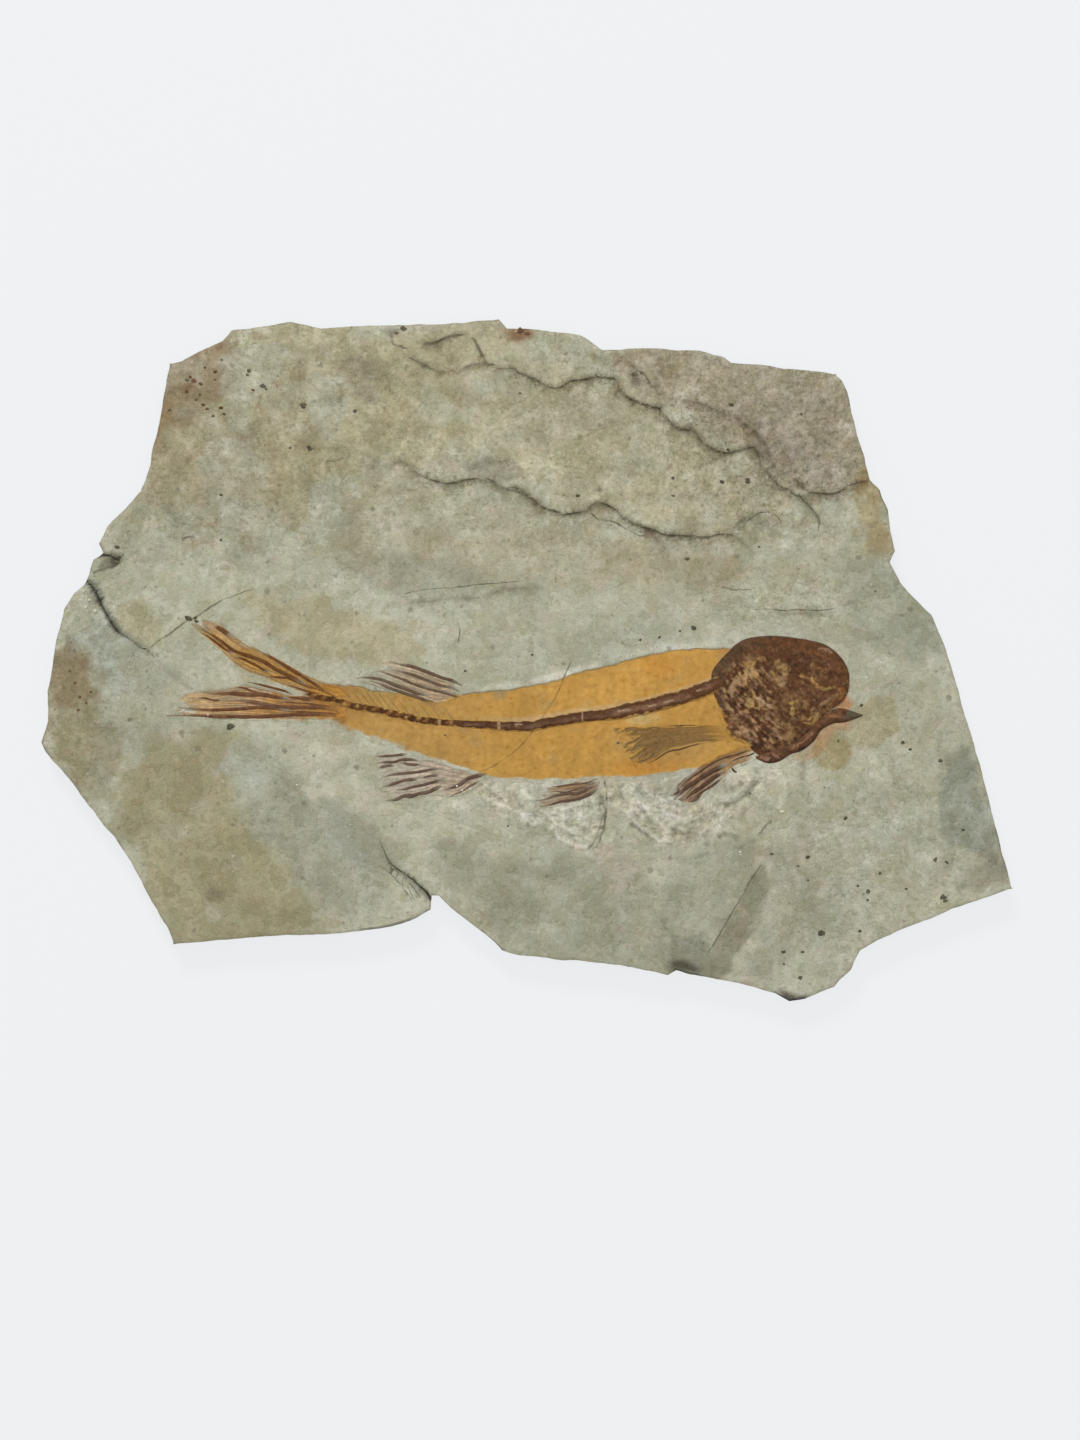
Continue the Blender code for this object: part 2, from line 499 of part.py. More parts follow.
def along_backbone(stations):
    """The backbone's middle line and its half width at shares of its length."""
    points = drawn(BACKBONE_PATH)
    shares, _ = path_shares(points)
    place = np.column_stack([np.interp(stations, shares, points[:, axis]) for axis in (0, 1)])
    return place, np.interp(stations, shares, drawn(BACKBONE_HALF_WIDTHS))


def make_backbone(part, cutters, material):
    """A pressed string of vertebrae, wide at each one and narrow between, with its spines."""
    _, length = path_shares(drawn(BACKBONE_PATH))
    vertebrae = round(length / (VERTEBRA_PITCH * UNIT))
    place, half_widths = along_backbone(np.linspace(0, 1, 2 * vertebrae + 1))
    radii = half_widths * np.where(np.arange(len(place)) % 2, 1.0, VERTEBRA_WAIST)
    backbone = rod("backbone", np.column_stack([place, radii]), radii, 1, part)
    bottom = FISH_PLANE - CHANNEL_DEPTH + GAP
    for vertex in backbone.data.vertices:
        vertex.co.z = bottom + vertex.co.z * BONE_FLATNESS
    backbone.data.materials.append(material)
    return [(backbone, make_spines(cutters), "UNION")]


def make_spines(collection):
    """The neural spines: thin tapering rods that lean back from the backbone, on the film."""
    spines = new_collection("neural spines", collection)
    roots, _ = along_backbone(np.array(SPINE_STATIONS))
    radii = [radius * UNIT for _, radius in SPINE_TAPER]
    height = FISH_PLANE + GAP + radii[0]
    for number, root in enumerate(roots):
        ways = [root + share * drawn(SPINE_LEAN) for share, _ in SPINE_TAPER]
        rod(f"spine_{number}", [(*way, height) for way in ways], radii, 0, spines)
    return spines


def make_fin(name, fin, part, cutters, material):
    """A fin: a web level with the rock, and rays that stand over it, thickest at their roots."""
    web = flat_solid(name, drawn(fin["web"]), FISH_PLANE - INLAY_DEPTH, FISH_PLANE, part)
    web.data.materials.append(material)
    rays = new_collection(f"{name} rays", cutters)
    for number, (path, thickness) in enumerate(fin["rays"]):
        points = [(x, y, FISH_PLANE) for x, y in drawn(path)]
        radii = RAY_RADIUS * thickness * np.linspace(RAY_TIP, 1.0, len(points))
        rod(f"{name}_ray_{number}", points, radii, 0, rays)
    return [(web, rays, "UNION")]


def build():
    empty_the_scene()
    part = new_collection("fossil fish slab")
    cutters = new_collection("cutters")
    shale, skin, bone, fin_bone = [new_material(name, *look) for name, look in MATERIALS.items()]
    make_skull(part, bone)
    make_jaw(part, bone)
    steps = make_slab(part, cutters, shale)
    steps += make_film(part, cutters, skin)
    steps += make_backbone(part, cutters, bone)
    for name, fin in FINS.items():
        steps += make_fin(name, fin, part, cutters, fin_bone)
    for target, helpers, operation in steps:
        combine(target, helpers, operation)


build()
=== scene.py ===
# %% [markdown]
# # A fossil fish on its slab of shale
#
# The object is a broken plate of greenish grey shale, about 42 cm long and 12 mm thick, with a
# small sturgeon-like fish pressed flat on its upper face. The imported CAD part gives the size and
# the place of every piece. This lesson dresses it: each cell makes one piece or one finish.
#
# All shapes are worked out with numpy as whole arrays, in millimetres, and become metres when
# they are put into a mesh. +X points to the snout, +Y to the plate's upper edge, +Z up.

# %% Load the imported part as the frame
import bpy
import numpy as np
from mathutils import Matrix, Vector


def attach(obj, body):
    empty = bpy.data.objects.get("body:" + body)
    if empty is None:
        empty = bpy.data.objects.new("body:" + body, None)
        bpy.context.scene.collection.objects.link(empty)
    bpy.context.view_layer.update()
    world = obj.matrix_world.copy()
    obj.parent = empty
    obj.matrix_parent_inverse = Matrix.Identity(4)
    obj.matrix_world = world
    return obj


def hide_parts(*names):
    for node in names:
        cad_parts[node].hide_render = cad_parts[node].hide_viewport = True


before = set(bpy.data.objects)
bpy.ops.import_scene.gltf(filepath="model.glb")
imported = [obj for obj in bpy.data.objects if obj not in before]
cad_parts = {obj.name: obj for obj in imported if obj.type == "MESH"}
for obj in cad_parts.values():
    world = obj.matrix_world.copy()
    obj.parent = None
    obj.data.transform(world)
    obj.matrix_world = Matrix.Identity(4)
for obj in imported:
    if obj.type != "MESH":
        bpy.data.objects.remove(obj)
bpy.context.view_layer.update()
MM = 0.001
FISH_PLANE = 12.0
print("CAD nodes:", ", ".join(sorted(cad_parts)))

# %% [markdown]
# ## Camera
#
# A specimen like this is shown from straight above, so that its outline and the fish keep their
# true proportions. A long lens from 1.5 m away keeps the slab's sides out of sight. The lens is
# worked out from the field: the long side of the sensor, 36 mm, has to cover 619 mm of table.

# %% Camera straight above the slab
CAMERA_DISTANCE = 1500.0
FIELD_HEIGHT = 619.2
FIELD_MIDDLE = (5.8, -25.4)
SENSOR = 36.0
NEAREST, FARTHEST = 0.05, 20.0         # metres

camera = bpy.data.objects.new("camera", bpy.data.cameras.new("camera"))
bpy.context.scene.collection.objects.link(camera)
camera.location = (FIELD_MIDDLE[0] * MM, FIELD_MIDDLE[1] * MM, (FISH_PLANE + CAMERA_DISTANCE) * MM)
camera.data.sensor_width = SENSOR
camera.data.lens = SENSOR * CAMERA_DISTANCE / FIELD_HEIGHT
camera.data.clip_start, camera.data.clip_end = NEAREST, FARTHEST
bpy.context.scene.camera = camera
print(f"lens {camera.data.lens:.1f} mm")

# %% [markdown]
# ## Studio light and floor
#
# Low relief reads only in slanting light, so one broad lamp stands beyond the slab's upper edge
# and the faint ledges throw thin shadows downwards. A large soft panel overhead and a pale
# world fill the rest. The floor glows a little by itself, as a lit table does, which keeps the
# slab's own shadow on it faint.

# %% Lamps, world and floor
LAMPS = {
    # name: place and width in metres, power in watts
    "key_lamp": ((-0.72, 2.46, 2.15), 0.87, 64.5),
    "overhead_panel": ((0.1, -0.2, 2.6), 2.4, 29.9)}
WORLD_COLOUR, WORLD_STRENGTH = (0.94, 0.97, 1.0), 0.313
FLOOR_COLOUR, FLOOR_ROUGHNESS = (0.08, 0.081, 0.082), 0.9
FLOOR_GLOW, GLOW_STRENGTH = (0.855, 0.871, 0.888), 0.895
FLOOR_CORNERS = [(-6, -6, 0), (6, -6, 0), (6, 6, 0), (-6, 6, 0)]


def area_lamp(name, place, width, power):
    """A square lamp at place, turned so that it looks at the middle of the slab."""
    data = bpy.data.lights.new(name, "AREA")
    data.shape, data.size, data.energy = "SQUARE", width, power
    lamp = bpy.data.objects.new(name, data)
    bpy.context.scene.collection.objects.link(lamp)
    lamp.location = place
    lamp.rotation_mode = "QUATERNION"
    lamp.rotation_quaternion = (-Vector(place)).to_track_quat("-Z", "Y")


for name, settings in LAMPS.items():
    area_lamp(name, *settings)

world = bpy.data.worlds.new("pale studio")
bpy.context.scene.world = world
world.use_nodes = True
background = world.node_tree.nodes["Background"]
background.inputs["Color"].default_value = (*WORLD_COLOUR, 1.0)
background.inputs["Strength"].default_value = WORLD_STRENGTH
bpy.context.scene.view_settings.view_transform = "Standard"
bpy.context.scene.view_settings.look = "None"

floor_mesh = bpy.data.meshes.new("floor")
floor_mesh.from_pydata(FLOOR_CORNERS, [], [range(4)])
floor = bpy.data.objects.new("floor", floor_mesh)
bpy.context.scene.collection.objects.link(floor)
floor_paint = bpy.data.materials.new("pale floor")
floor_paint.use_nodes = True
shader = floor_paint.node_tree.nodes["Principled BSDF"]
shader.inputs["Base Color"].default_value = (*FLOOR_COLOUR, 1.0)
shader.inputs["Roughness"].default_value = FLOOR_ROUGHNESS
shader.inputs["Emission Color"].default_value = (*FLOOR_GLOW, 1.0)
shader.inputs["Emission Strength"].default_value = GLOW_STRENGTH
floor_mesh.materials.append(floor_paint)
print(f"{len(LAMPS)} lamps, a pale world and a floor")

# %% [markdown]
# ## Random but repeatable roughness
#
# Broken stone is rough at every size at once. A lattice of fixed random numbers, blended
# smoothly, gives bumps of one size; adding finer and weaker copies gives stone. The numbers come
# from whole-number arithmetic on the lattice's own coordinates, so every run gives the same rock.
# In every call of rough the numbers are the size in mm, the seed and the count of layers.

# %% Grain and roughness in the plane
def dice(i, j, seed):
    """A fixed number from 0 to 1 for lattice corner (i, j): its coordinates, multiplied by large
    odd numbers and folded onto themselves three times, keep only 32 bits."""
    bits = (i * 374761393 + j * 668265263 + seed * 1442695041) & 0xFFFFFFFF
    bits = ((bits ^ (bits >> 13)) * 1274126177) & 0xFFFFFFFF
    bits = ((bits ^ (bits >> 16)) * 2246822519) & 0xFFFFFFFF
    return (bits ^ (bits >> 15)) / 4294967296.0


def grain(x, y, size, seed=0):
    """Smooth bumps from -1 to 1, one about every size: dice at the four corners of the lattice
    cell round (x, y) / size, blended by s = t * t * (3 - 2 t). The lattice is turned by the
    seed, so that no two layers of it line up."""
    angle = 0.7 + 1.3 * seed
    across = (x * np.cos(angle) - y * np.sin(angle)) / size
    up = (x * np.sin(angle) + y * np.cos(angle)) / size
    i, j = np.floor(across).astype(np.int64), np.floor(up).astype(np.int64)
    s, t = across - i, up - j
    s, t = s * s * (3 - 2 * s), t * t * (3 - 2 * t)
    low = dice(i, j, seed) * (1 - s) + dice(i + 1, j, seed) * s
    high = dice(i, j + 1, seed) * (1 - s) + dice(i + 1, j + 1, seed) * s
    return 2 * (low * (1 - t) + high * t) - 1


def rough(x, y, size, seed=0, layers=4):
    """Stone-like roughness: grain(size) + grain(size/2)/2 + grain(size/4)/4 ..., scaled so that
    it stays about within -1 and 1."""
    total = sum(grain(x, y, size / 2 ** k, seed + 11 * k) / 2 ** k for k in range(layers))
    return total / 1.4


def ramp(low, high, value):
    """0 below low, 1 above high, and an S-curve t * t * (3 - 2 t) between them."""
    t = np.clip((value - low) / (high - low), 0, 1)
    return t * t * (3 - 2 * t)


sample = rough(*np.meshgrid(np.arange(200.0), np.arange(200.0)), 12.0)
print(f"roughness runs from {sample.min():.2f} to {sample.max():.2f}")

# %% [markdown]
# ## Lines on the rock
#
# Ledges, cracks, fin rays and the backbone all follow lines. A few helpers do all of the work:
# they round a given line into a smooth curve, and tell for any point how far it is beside
# a line, on which side, how far along, and how far inside a closed one.

# %% Curves and distances from them
def curve(points, step=1.0, closed=False):
    """Points about a step apart on the smooth curve through the given ones. Between p1 and p2,
    with their neighbours p0 and p3, the point is
    ((2 p1) + (p2 - p0) t + (2 p0 - 5 p1 + 4 p2 - p3) t^2 + (3 p1 - p0 - 3 p2 + p3) t^3) / 2."""
    p = np.array(points, float)
    if closed:
        p = np.vstack([p[-1:], p, p[:2]])
    else:
        p = np.vstack([2 * p[:1] - p[1:2], p, 2 * p[-1:] - p[-2:-1]])
    t = np.linspace(0, 1, 9)[:-1, None, None]
    p0, p1, p2, p3 = p[:-3], p[1:-2], p[2:-1], p[3:]
    bent = (2 * p1 + (p2 - p0) * t + (2 * p0 - 5 * p1 + 4 * p2 - p3) * t ** 2
            + (3 * p1 - p0 - 3 * p2 + p3) * t ** 3) / 2
    line = np.vstack([bent.transpose(1, 0, 2).reshape(-1, p.shape[1]), p[-2:-1]])
    return evenly(line, max(2, round(length_of(line)[-1] / step) + 1))


def length_of(line):
    """The length of a line up to each of its points."""
    return np.concatenate([[0], np.linalg.norm(np.diff(line, axis=0), axis=1).cumsum()])


def evenly(line, count):
    """count points at even distances along a line."""
    lengths = length_of(line)
    wanted = np.linspace(0, lengths[-1], count)
    return np.column_stack([np.interp(wanted, lengths, column) for column in line.T])


def beside(x, y, line):
    """How far each point lies to the left of a line (negative to its right), and at which share
    of the line's length it is nearest. For each stretch from a to b the nearest place is
    a + t (b - a), with t the projection cut off at 0 and 1; the nearest stretch of all counts.
    Past the line's ends the distance is never negative."""
    lengths = length_of(line)
    best, left, share = np.full(x.shape, np.inf), np.ones(x.shape), np.zeros(x.shape)
    for number in range(len(line) - 1):
        (ax, ay), (bx, by) = line[number], line[number + 1]
        dx, dy = bx - ax, by - ay
        if dx == dy == 0:
            continue
        t = np.clip(((x - ax) * dx + (y - ay) * dy) / (dx * dx + dy * dy), 0, 1)
        far = np.hypot(x - ax - t * dx, y - ay - t * dy)
        nearer = far < best
        best = np.where(nearer, far, best)
        left = np.where(nearer, np.sign(dx * (y - ay) - dy * (x - ax)), left)
        reached = (lengths[number] + t * (lengths[number + 1] - lengths[number])) / lengths[-1]
        share = np.where(nearer, reached, share)
    left = np.where((share <= 0) | (share >= 1) | (left == 0), 1, left)
    return best * left, share


def inside(x, y, line):
    """How far each point lies inside a closed line (negative outside). A point is inside where
    a ray to its right crosses the line an odd number of times."""
    ring = np.vstack([line, line[:1]])
    far = np.abs(beside(x, y, ring)[0])
    crossings = np.zeros(x.shape, int)
    for (ax, ay), (bx, by) in zip(ring[:-1], ring[1:]):
        if ay != by:
            crosses = (ay > y) != (by > y)
            crossings += crosses & (x < ax + (y - ay) / (by - ay) * (bx - ax))
    return np.where(crossings % 2 == 1, far, -far)


print("a test line is", length_of(curve([(0, 0), (10, 5), (20, 0)]))[-1].round(1), "mm long")

# %% [markdown]
# ## The ledges, cracks and scars of the bedding plane
#
# Shale splits along its bedding, but never along one plane only. Where a layer above the fish's
# own has stayed, it ends in a low broken brow: a steep face a few tenths of a millimetre high.
# Each brow is a line with the high side on its left and a height that changes along it.
# Cracks are lines with a width and a depth.

# %% Lines of the ledges and cracks
BROWS = {
    # name: line, heights along it as (share, mm), and how far behind the brow the layer thins out
    "lower_brow": ([(-62, 84.5), (-58.5, 83.5), (-56, 85), (-54.5, 86), (-51, 84.5), (-48, 81.5),
        (-45, 79.5), (-40.5, 77.5), (-35.5, 76.5), (-30.5, 77), (-27, 78), (-22.5, 78.5), (-18.5, 78),
        (-13.5, 76.5), (-10, 74.5), (-6, 75), (-3, 74), (0, 71.5), (3.5, 69), (8, 66), (12.5, 64.5),
        (15.5, 63), (20.5, 64), (25, 64.5), (27.5, 66.5), (29.5, 68.5), (32.5, 68), (36, 66.5), (39, 65),
        (41, 62), (44.5, 60), (49, 58), (53, 57), (59.5, 54.5), (66, 54), (72.5, 53.5), (79, 53.5),
        (84, 54.5), (88.5, 54), (92.5, 51.5), (96, 48.5), (98.5, 46.5)],
        [(0, 0), (0.05, 0.3), (0.12, 0.6), (0.24, 0.6), (0.28, 0.2), (0.33, 0.3), (0.4, 0.8), (0.5, 0.9),
        (0.54, 0.35), (0.6, 0.8), (0.7, 1.0), (0.85, 0.9), (0.92, 0.5), (1, 0)], 24.0),
    "upper_brow": ([(-54.5, 131), (-50, 130.5), (-46, 128), (-40.5, 125.5), (-35, 124.5), (-28.5, 125.5),
        (-22, 127.5), (-17, 127.5), (-11.5, 126), (-7, 126), (-3, 124), (1.5, 122), (6, 120), (9, 118),
        (13, 117.5), (16.5, 119.5), (19.5, 120.5), (25, 121), (31.5, 122), (37, 122), (39, 120.5),
        (40, 117), (42.5, 114), (46.5, 112), (51, 110), (55.5, 109), (57.5, 109), (59, 106), (61.5, 103),
        (65, 100.5), (70.5, 99), (73.5, 97), (76.5, 93.5), (80, 91.5), (84, 90), (86.5, 89.5), (91, 91),
        (95, 92), (98, 92), (99.5, 88.5), (100.5, 84.5), (103, 81.5), (106.5, 77.5), (110, 74.5),
        (113.5, 73.5), (117.5, 70.5), (121, 67.5), (124, 63.5), (126, 60.5), (125.5, 56.5)],
        [(0, 0), (0.06, 0.25), (0.14, 0.3), (0.2, 0.25), (0.26, 0.6), (0.34, 0.8), (0.46, 0.9),
        (0.6, 1.0), (0.72, 0.7), (0.82, 1.0), (0.92, 0.5), (1, 0)], 60.0),
    "middle_brow": ([(41, 129.5), (47, 126), (50, 121.5), (55.5, 118), (58.5, 114), (64, 112),
        (70.5, 111.5), (77, 110), (81, 108), (85.5, 106), (89.5, 105.5), (92.5, 103), (96, 100),
        (99.5, 97.5), (102.5, 94), (104, 90), (105.5, 85.5), (108, 82), (111, 78), (114.5, 75)],
        [(0, 0), (0.1, 0.2), (0.3, 0.12), (0.45, 0.3), (0.55, 0.15), (0.7, 0.35), (0.85, 0.4),
        (1, 0)], 60.0),
    "right_brow": ([(114.5, 78.5), (116.5, 77.5), (119, 75), (122, 72.5), (126, 72.5), (130.5, 72),
        (135, 73), (139, 75.5), (143.5, 77.5), (147.5, 77.5)],
        [(0, 0), (0.12, 0.6), (0.5, 0.8), (0.85, 0.5), (1, 0.2)], 30.0),
    "side_branch": ([(51, 57), (55.5, 53.5), (59.5, 49), (62.5, 47.5)], [(0, 0.35), (0.6, 0.3),
        (1, 0)], 6.0),
    "arc": ([(88.5, 55), (90.5, 58.5), (94, 61.5), (98.5, 63.5), (102.5, 64)],
        [(0, 0), (0.4, 0.22), (1, 0)], 8.0),
    "notch_line": ([(-21.5, 136), (-20, 133), (-18.5, 130.5), (-17, 127.5)],
        [(0, 0), (0.5, 0.4), (1, 0.3)], 12.0),
    "top_step": ([(-44.5, 136.5), (-39.5, 137), (-35, 139), (-30.5, 140), (-24.5, 140.5)],
        [(0, 0.2), (0.3, 0.5), (1, 0)], 6.0),
    "middle_step": ([(-61, 28.5), (-54.5, 26.5), (-46, 26), (-37, 26.5), (-30.5, 27), (-20, 27.5),
        (-11.5, 30.5), (-3, 31.5), (10, 32.5)], [(0, 0), (0.3, 0.16), (0.8, 0.14), (1, 0)], 14.0),
    "head_step": ([(97, 21.5), (100.5, 21.5), (104.5, 21), (111, 20), (117.5, 20.5), (124, 20.5),
        (129.5, 20.5), (135, 23.5), (141.5, 26), (147.5, 28)], [(0, 0), (0.3, 0.12), (0.8, 0.1),
        (1, 0)], 10.0)}
GROOVES = {
    # name: line, width at its start and end, depth at its start and end
    "tail_crack": ([(-189.5, 34.5), (-187, 32), (-183.5, 26), (-181, 21), (-178, 15.5), (-175, 12),
        (-170, 9), (-166, 5.5), (-163, 4.5), (-157.5, -1.5), (-153.5, -5), (-150, -8), (-144.5, -12.5)],
        (1.3, 0.3), (2.4, 0.2)),
    "lower_crack": ([(-41, -102.5), (-43.5, -99), (-48, -95.5), (-54, -90.5), (-58.5, -87), (-62, -80.5),
        (-63, -77)], (1.0, 0.3), (2.4, 0.2)),
    "notch_slit": ([(-187, 44.3), (-182.5, 45.4), (-178.5, 45), (-175, 43)], (1.5, 0.4), (3.0, 0.4))}
BROW_FACE = 0.3                        # width of a brow's face seen from above

BROWS = {name: (curve(line, 1.5), np.array(heights), reach)
         for name, (line, heights, reach) in BROWS.items()}
GROOVES = {name: (curve(line, 1.5), *sizes) for name, (line, *sizes) in GROOVES.items()}
for name, (line, heights, _) in BROWS.items():
    print(f"{name}: {length_of(line)[-1]:.0f} mm long, up to {heights[:, 1].max()} mm high")

# %% [markdown]
# ## The height of the rock
#
# One function gives the rock's height anywhere, so that whatever lies on the rock can ask for it.
# It adds up: the bedding plane, slow undulation, every brow, shallow scars and the open cracks.
# Each brow's line wobbles by a few tenths of a millimetre, as a fracture does from grain to
# grain.

# %% Height of the rock's upper face
SCARS = {
    # name: closed outline, depth
    "oval_scar": ([(-25, 82), (-24.5, 79), (-20, 77.6), (-11.5, 76.2), (-5, 75.8), (0.5, 78),
        (-0.5, 81.5), (-5, 85), (-11.5, 86.5), (-20, 85.5)], 0.45),
    "belly_scar": ([(-8, -63.5), (4, -66.5), (15, -65), (27, -62), (33, -61), (34, -68), (31.5, -77),
        (28, -79.5), (14.5, -74), (3, -68.5)], 0.4),
    "throat_scar": ([(43, -64), (56, -64.5), (66, -65), (75, -64), (84, -60.5), (91, -60), (83, -68.5),
        (70.5, -75.5), (61, -76), (55.5, -70), (49, -66.5)], 0.35)}
SCARS = {name: (curve(outline, 1.5, closed=True), depth)
         for name, (outline, depth) in SCARS.items()}
UNDULATION = ((0.30, 70, 1), (0.13, 17, 2), (0.045, 5.5, 3))        # height, size, seed
FRACTURE_WOBBLE, WOBBLE_REACH = 0.45, 6


def line_fields(x, y, names=(*BROWS, *GROOVES)):
    """For each named brow and groove: the distance beside its line, with the fracture's wobble
    added near it, and the share of its length."""
    wobble = FRACTURE_WOBBLE * rough(x, y, 5.0, 31, 3)
    fields = {}
    for name in names:
        left, share = beside(x, y, {**BROWS, **GROOVES}[name][0])
        fields[name] = (left + wobble * (np.abs(left) < WOBBLE_REACH), share)
    return fields


def rock_height(x, y, fields=None):
    """Height in mm: FISH_PLANE + undulation + sum over the brows of
    height(share) * step(left) * fade(left) - scars - grooves."""
    fields = fields or line_fields(x, y)
    z = np.full(x.shape, FISH_PLANE)
    for height, size, seed in UNDULATION:
        z = z + height * rough(x, y, size, seed, 2)
    for name, (_, heights, reach) in BROWS.items():
        left, share = fields[name]
        height = np.interp(share, *heights.T)
        step = ramp(-BROW_FACE / 2 - 0.02, BROW_FACE / 2 + 0.02, left)
        z = z + height * step * (1 - ramp(0.25 * reach, reach, left))
    for outline, depth in SCARS.values():
        within = inside(x, y, outline) + 0.5 * rough(x, y, 4.0, 8, 2)
        z = z - depth * ramp(0.0, 1.2, within)
    for name, (_, widths, depths) in GROOVES.items():
        left, share = fields[name]
        width, depth = (ends[0] + (ends[1] - ends[0]) * share for ends in (widths, depths))
        z = z - depth * np.clip(1 - 2 * np.abs(left) / width, 0, 1) * (share < 1)
    return z


x, y = np.meshgrid(np.linspace(-150, 150, 60), np.linspace(-90, 120, 40))
z = rock_height(x, y)
print(f"the rock's face runs from {z.min():.1f} to {z.max():.1f} mm")

# %% [markdown]
# ## The slab
#
# The plate's outline is four broken lines. A Coons patch fills them with a grid: each inner point
# is the blend of the two points below and above, plus the blend of the two at left and right,
# less the blend of the four corners. The grid is then pulled onto the brows and cracks: of any
# two neighbours with a line between them, each moves to its own side of the line's edge. That
# makes crisp fractures out of an even grid. The rim runs on downwards as rings, one pair for
# each layer of the shale, set back unevenly.

# %% The slab's outline and grid
UPPER_RIM = [(-153.5, 128), (-148.5, 129), (-140.5, 133.5), (-131, 138), (-127, 142.5), (-108, 145),
    (-101.5, 146), (-89, 143.5), (-63, 144.5), (-33, 145.5), (-12, 147), (-8.5, 143.5), (10, 142),
    (23, 140.5), (32.5, 134), (49, 135), (74.5, 133.5), (85, 131), (88, 128.5), (104.5, 127),
    (133, 123.5)]
RIGHT_RIM = [(209, -98), (205, -83.5), (199.5, -62), (193.5, -38.5), (186.5, -14.5), (180, 7),
    (174.5, 20), (168, 26), (161, 34), (156.5, 42.5), (159, 47.5), (156.5, 55.5), (155.5, 65),
    (152, 73.5), (148, 78), (144.5, 90.5), (140, 107), (138.5, 116), (136, 121), (133, 123.5)]
LOWER_RIM = [
    (-152, -122), (-119, -119), (-97.5, -118), (-80, -117.5), (-63, -115.5), (-50, -112), (-41.5, -107.5),
    (-41, -101.5), (-38, -101.5), (-33, -106.5), (-24.5, -113), (-15.5, -120), (-10.5, -124.5),
    (-3, -127), (18.5, -129), (40, -131), (53, -133.5), (61, -135.5), (64.5, -133.5), (74.5, -136),
    (92, -139), (107.5, -143.5), (113.5, -147), (120, -145.5), (132.5, -140.5), (135, -137),
    (139.5, -133), (143.5, -124.5), (150.5, -120.5), (160.5, -116), (173.5, -111), (183, -107),
    (195, -103), (203.5, -100), (209, -98)]
LEFT_RIM = [(-152, -122), (-154.5, -115.5), (-162, -102), (-170.5, -86), (-183.5, -68.5), (-200.5, -47),
    (-207, -39), (-209, -35), (-206, -26), (-206, -12.5), (-202.5, 9), (-199.5, 22), (-195, 29),
    (-190.5, 33), (-188.5, 37.5), (-186.5, 43.5), (-182, 46.5), (-184.5, 50.5), (-180.5, 58),
    (-172.5, 65.5), (-166.5, 73), (-162, 84.5), (-161, 91.5), (-159, 99.5), (-155, 121), (-153.5, 128)]
COLUMNS, ROWS = 322, 226


def rim_line(corners, count):
    """count points at even distances along a broken line, with the nearest one moved onto each
    of its corners, so that the corners stay sharp."""
    corners = np.array(corners, float)
    lengths = length_of(corners)
    wanted = np.linspace(0, lengths[-1], count)
    wanted[np.rint(lengths / lengths[-1] * (count - 1)).astype(int)] = lengths
    return np.column_stack([np.interp(wanted, lengths, column) for column in corners.T])


def coons(low, high, left, right):
    """The Coons patch of four border lines: (1-v) low(u) + v high(u) + (1-u) left(v) + u right(v)
    - ((1-u)(1-v) low(0) + u (1-v) low(1) + (1-u) v high(0) + u v high(1))."""
    u = np.linspace(0, 1, len(low))[None, :, None]
    v = np.linspace(0, 1, len(left))[:, None, None]
    return ((1 - v) * low[None] + v * high[None] + (1 - u) * left[:, None] + u * right[:, None]
            - (1 - u) * (1 - v) * low[0] - u * (1 - v) * low[-1]
            - (1 - u) * v * high[0] - u * v * high[-1])


def rim_nicks(sheet):
    """Small bites along the rim that die out over a few cells inwards: each point moves towards
    the grid's middle by a rough amount of up to 1 mm times exp(-cells from the rim / 2)."""
    rows, columns = np.indices(sheet.shape[:2])
    cells = np.minimum(np.minimum(rows, ROWS - 1 - rows), np.minimum(columns, COLUMNS - 1 - columns))
    x, y = sheet[..., 0], sheet[..., 1]
    bite = 0.35 + 0.55 * rough(x, y, 7.0, 41, 3)
    to_middle = np.array([5.0, 0.0]) - sheet
    to_middle /= np.linalg.norm(to_middle, axis=2, keepdims=True)
    corner = (rows % (ROWS - 1) == 0) & (columns % (COLUMNS - 1) == 0)
    return sheet + to_middle * (np.clip(bite, 0, 1) * np.exp(-cells / 2) * ~corner)[..., None]


sheet = rim_nicks(coons(rim_line(LOWER_RIM, COLUMNS), rim_line(UPPER_RIM, COLUMNS),
                        rim_line(LEFT_RIM, ROWS), rim_line(RIGHT_RIM, ROWS)))
across, up = np.gradient(sheet, axis=1), np.gradient(sheet, axis=0)
turned = across[..., 0] * up[..., 1] - across[..., 1] * up[..., 0]
print(f"{ROWS} x {COLUMNS} points, cells of {np.median(turned):.2f} mm2, {(turned <= 0).sum()} folded")

# %% Pull the grid onto the brows and cracks
def line_distance(name, x, y):
    """The distance beside one brow or crack, with its wobble, and the share of its length."""
    return line_fields(x, y, [name])[name]


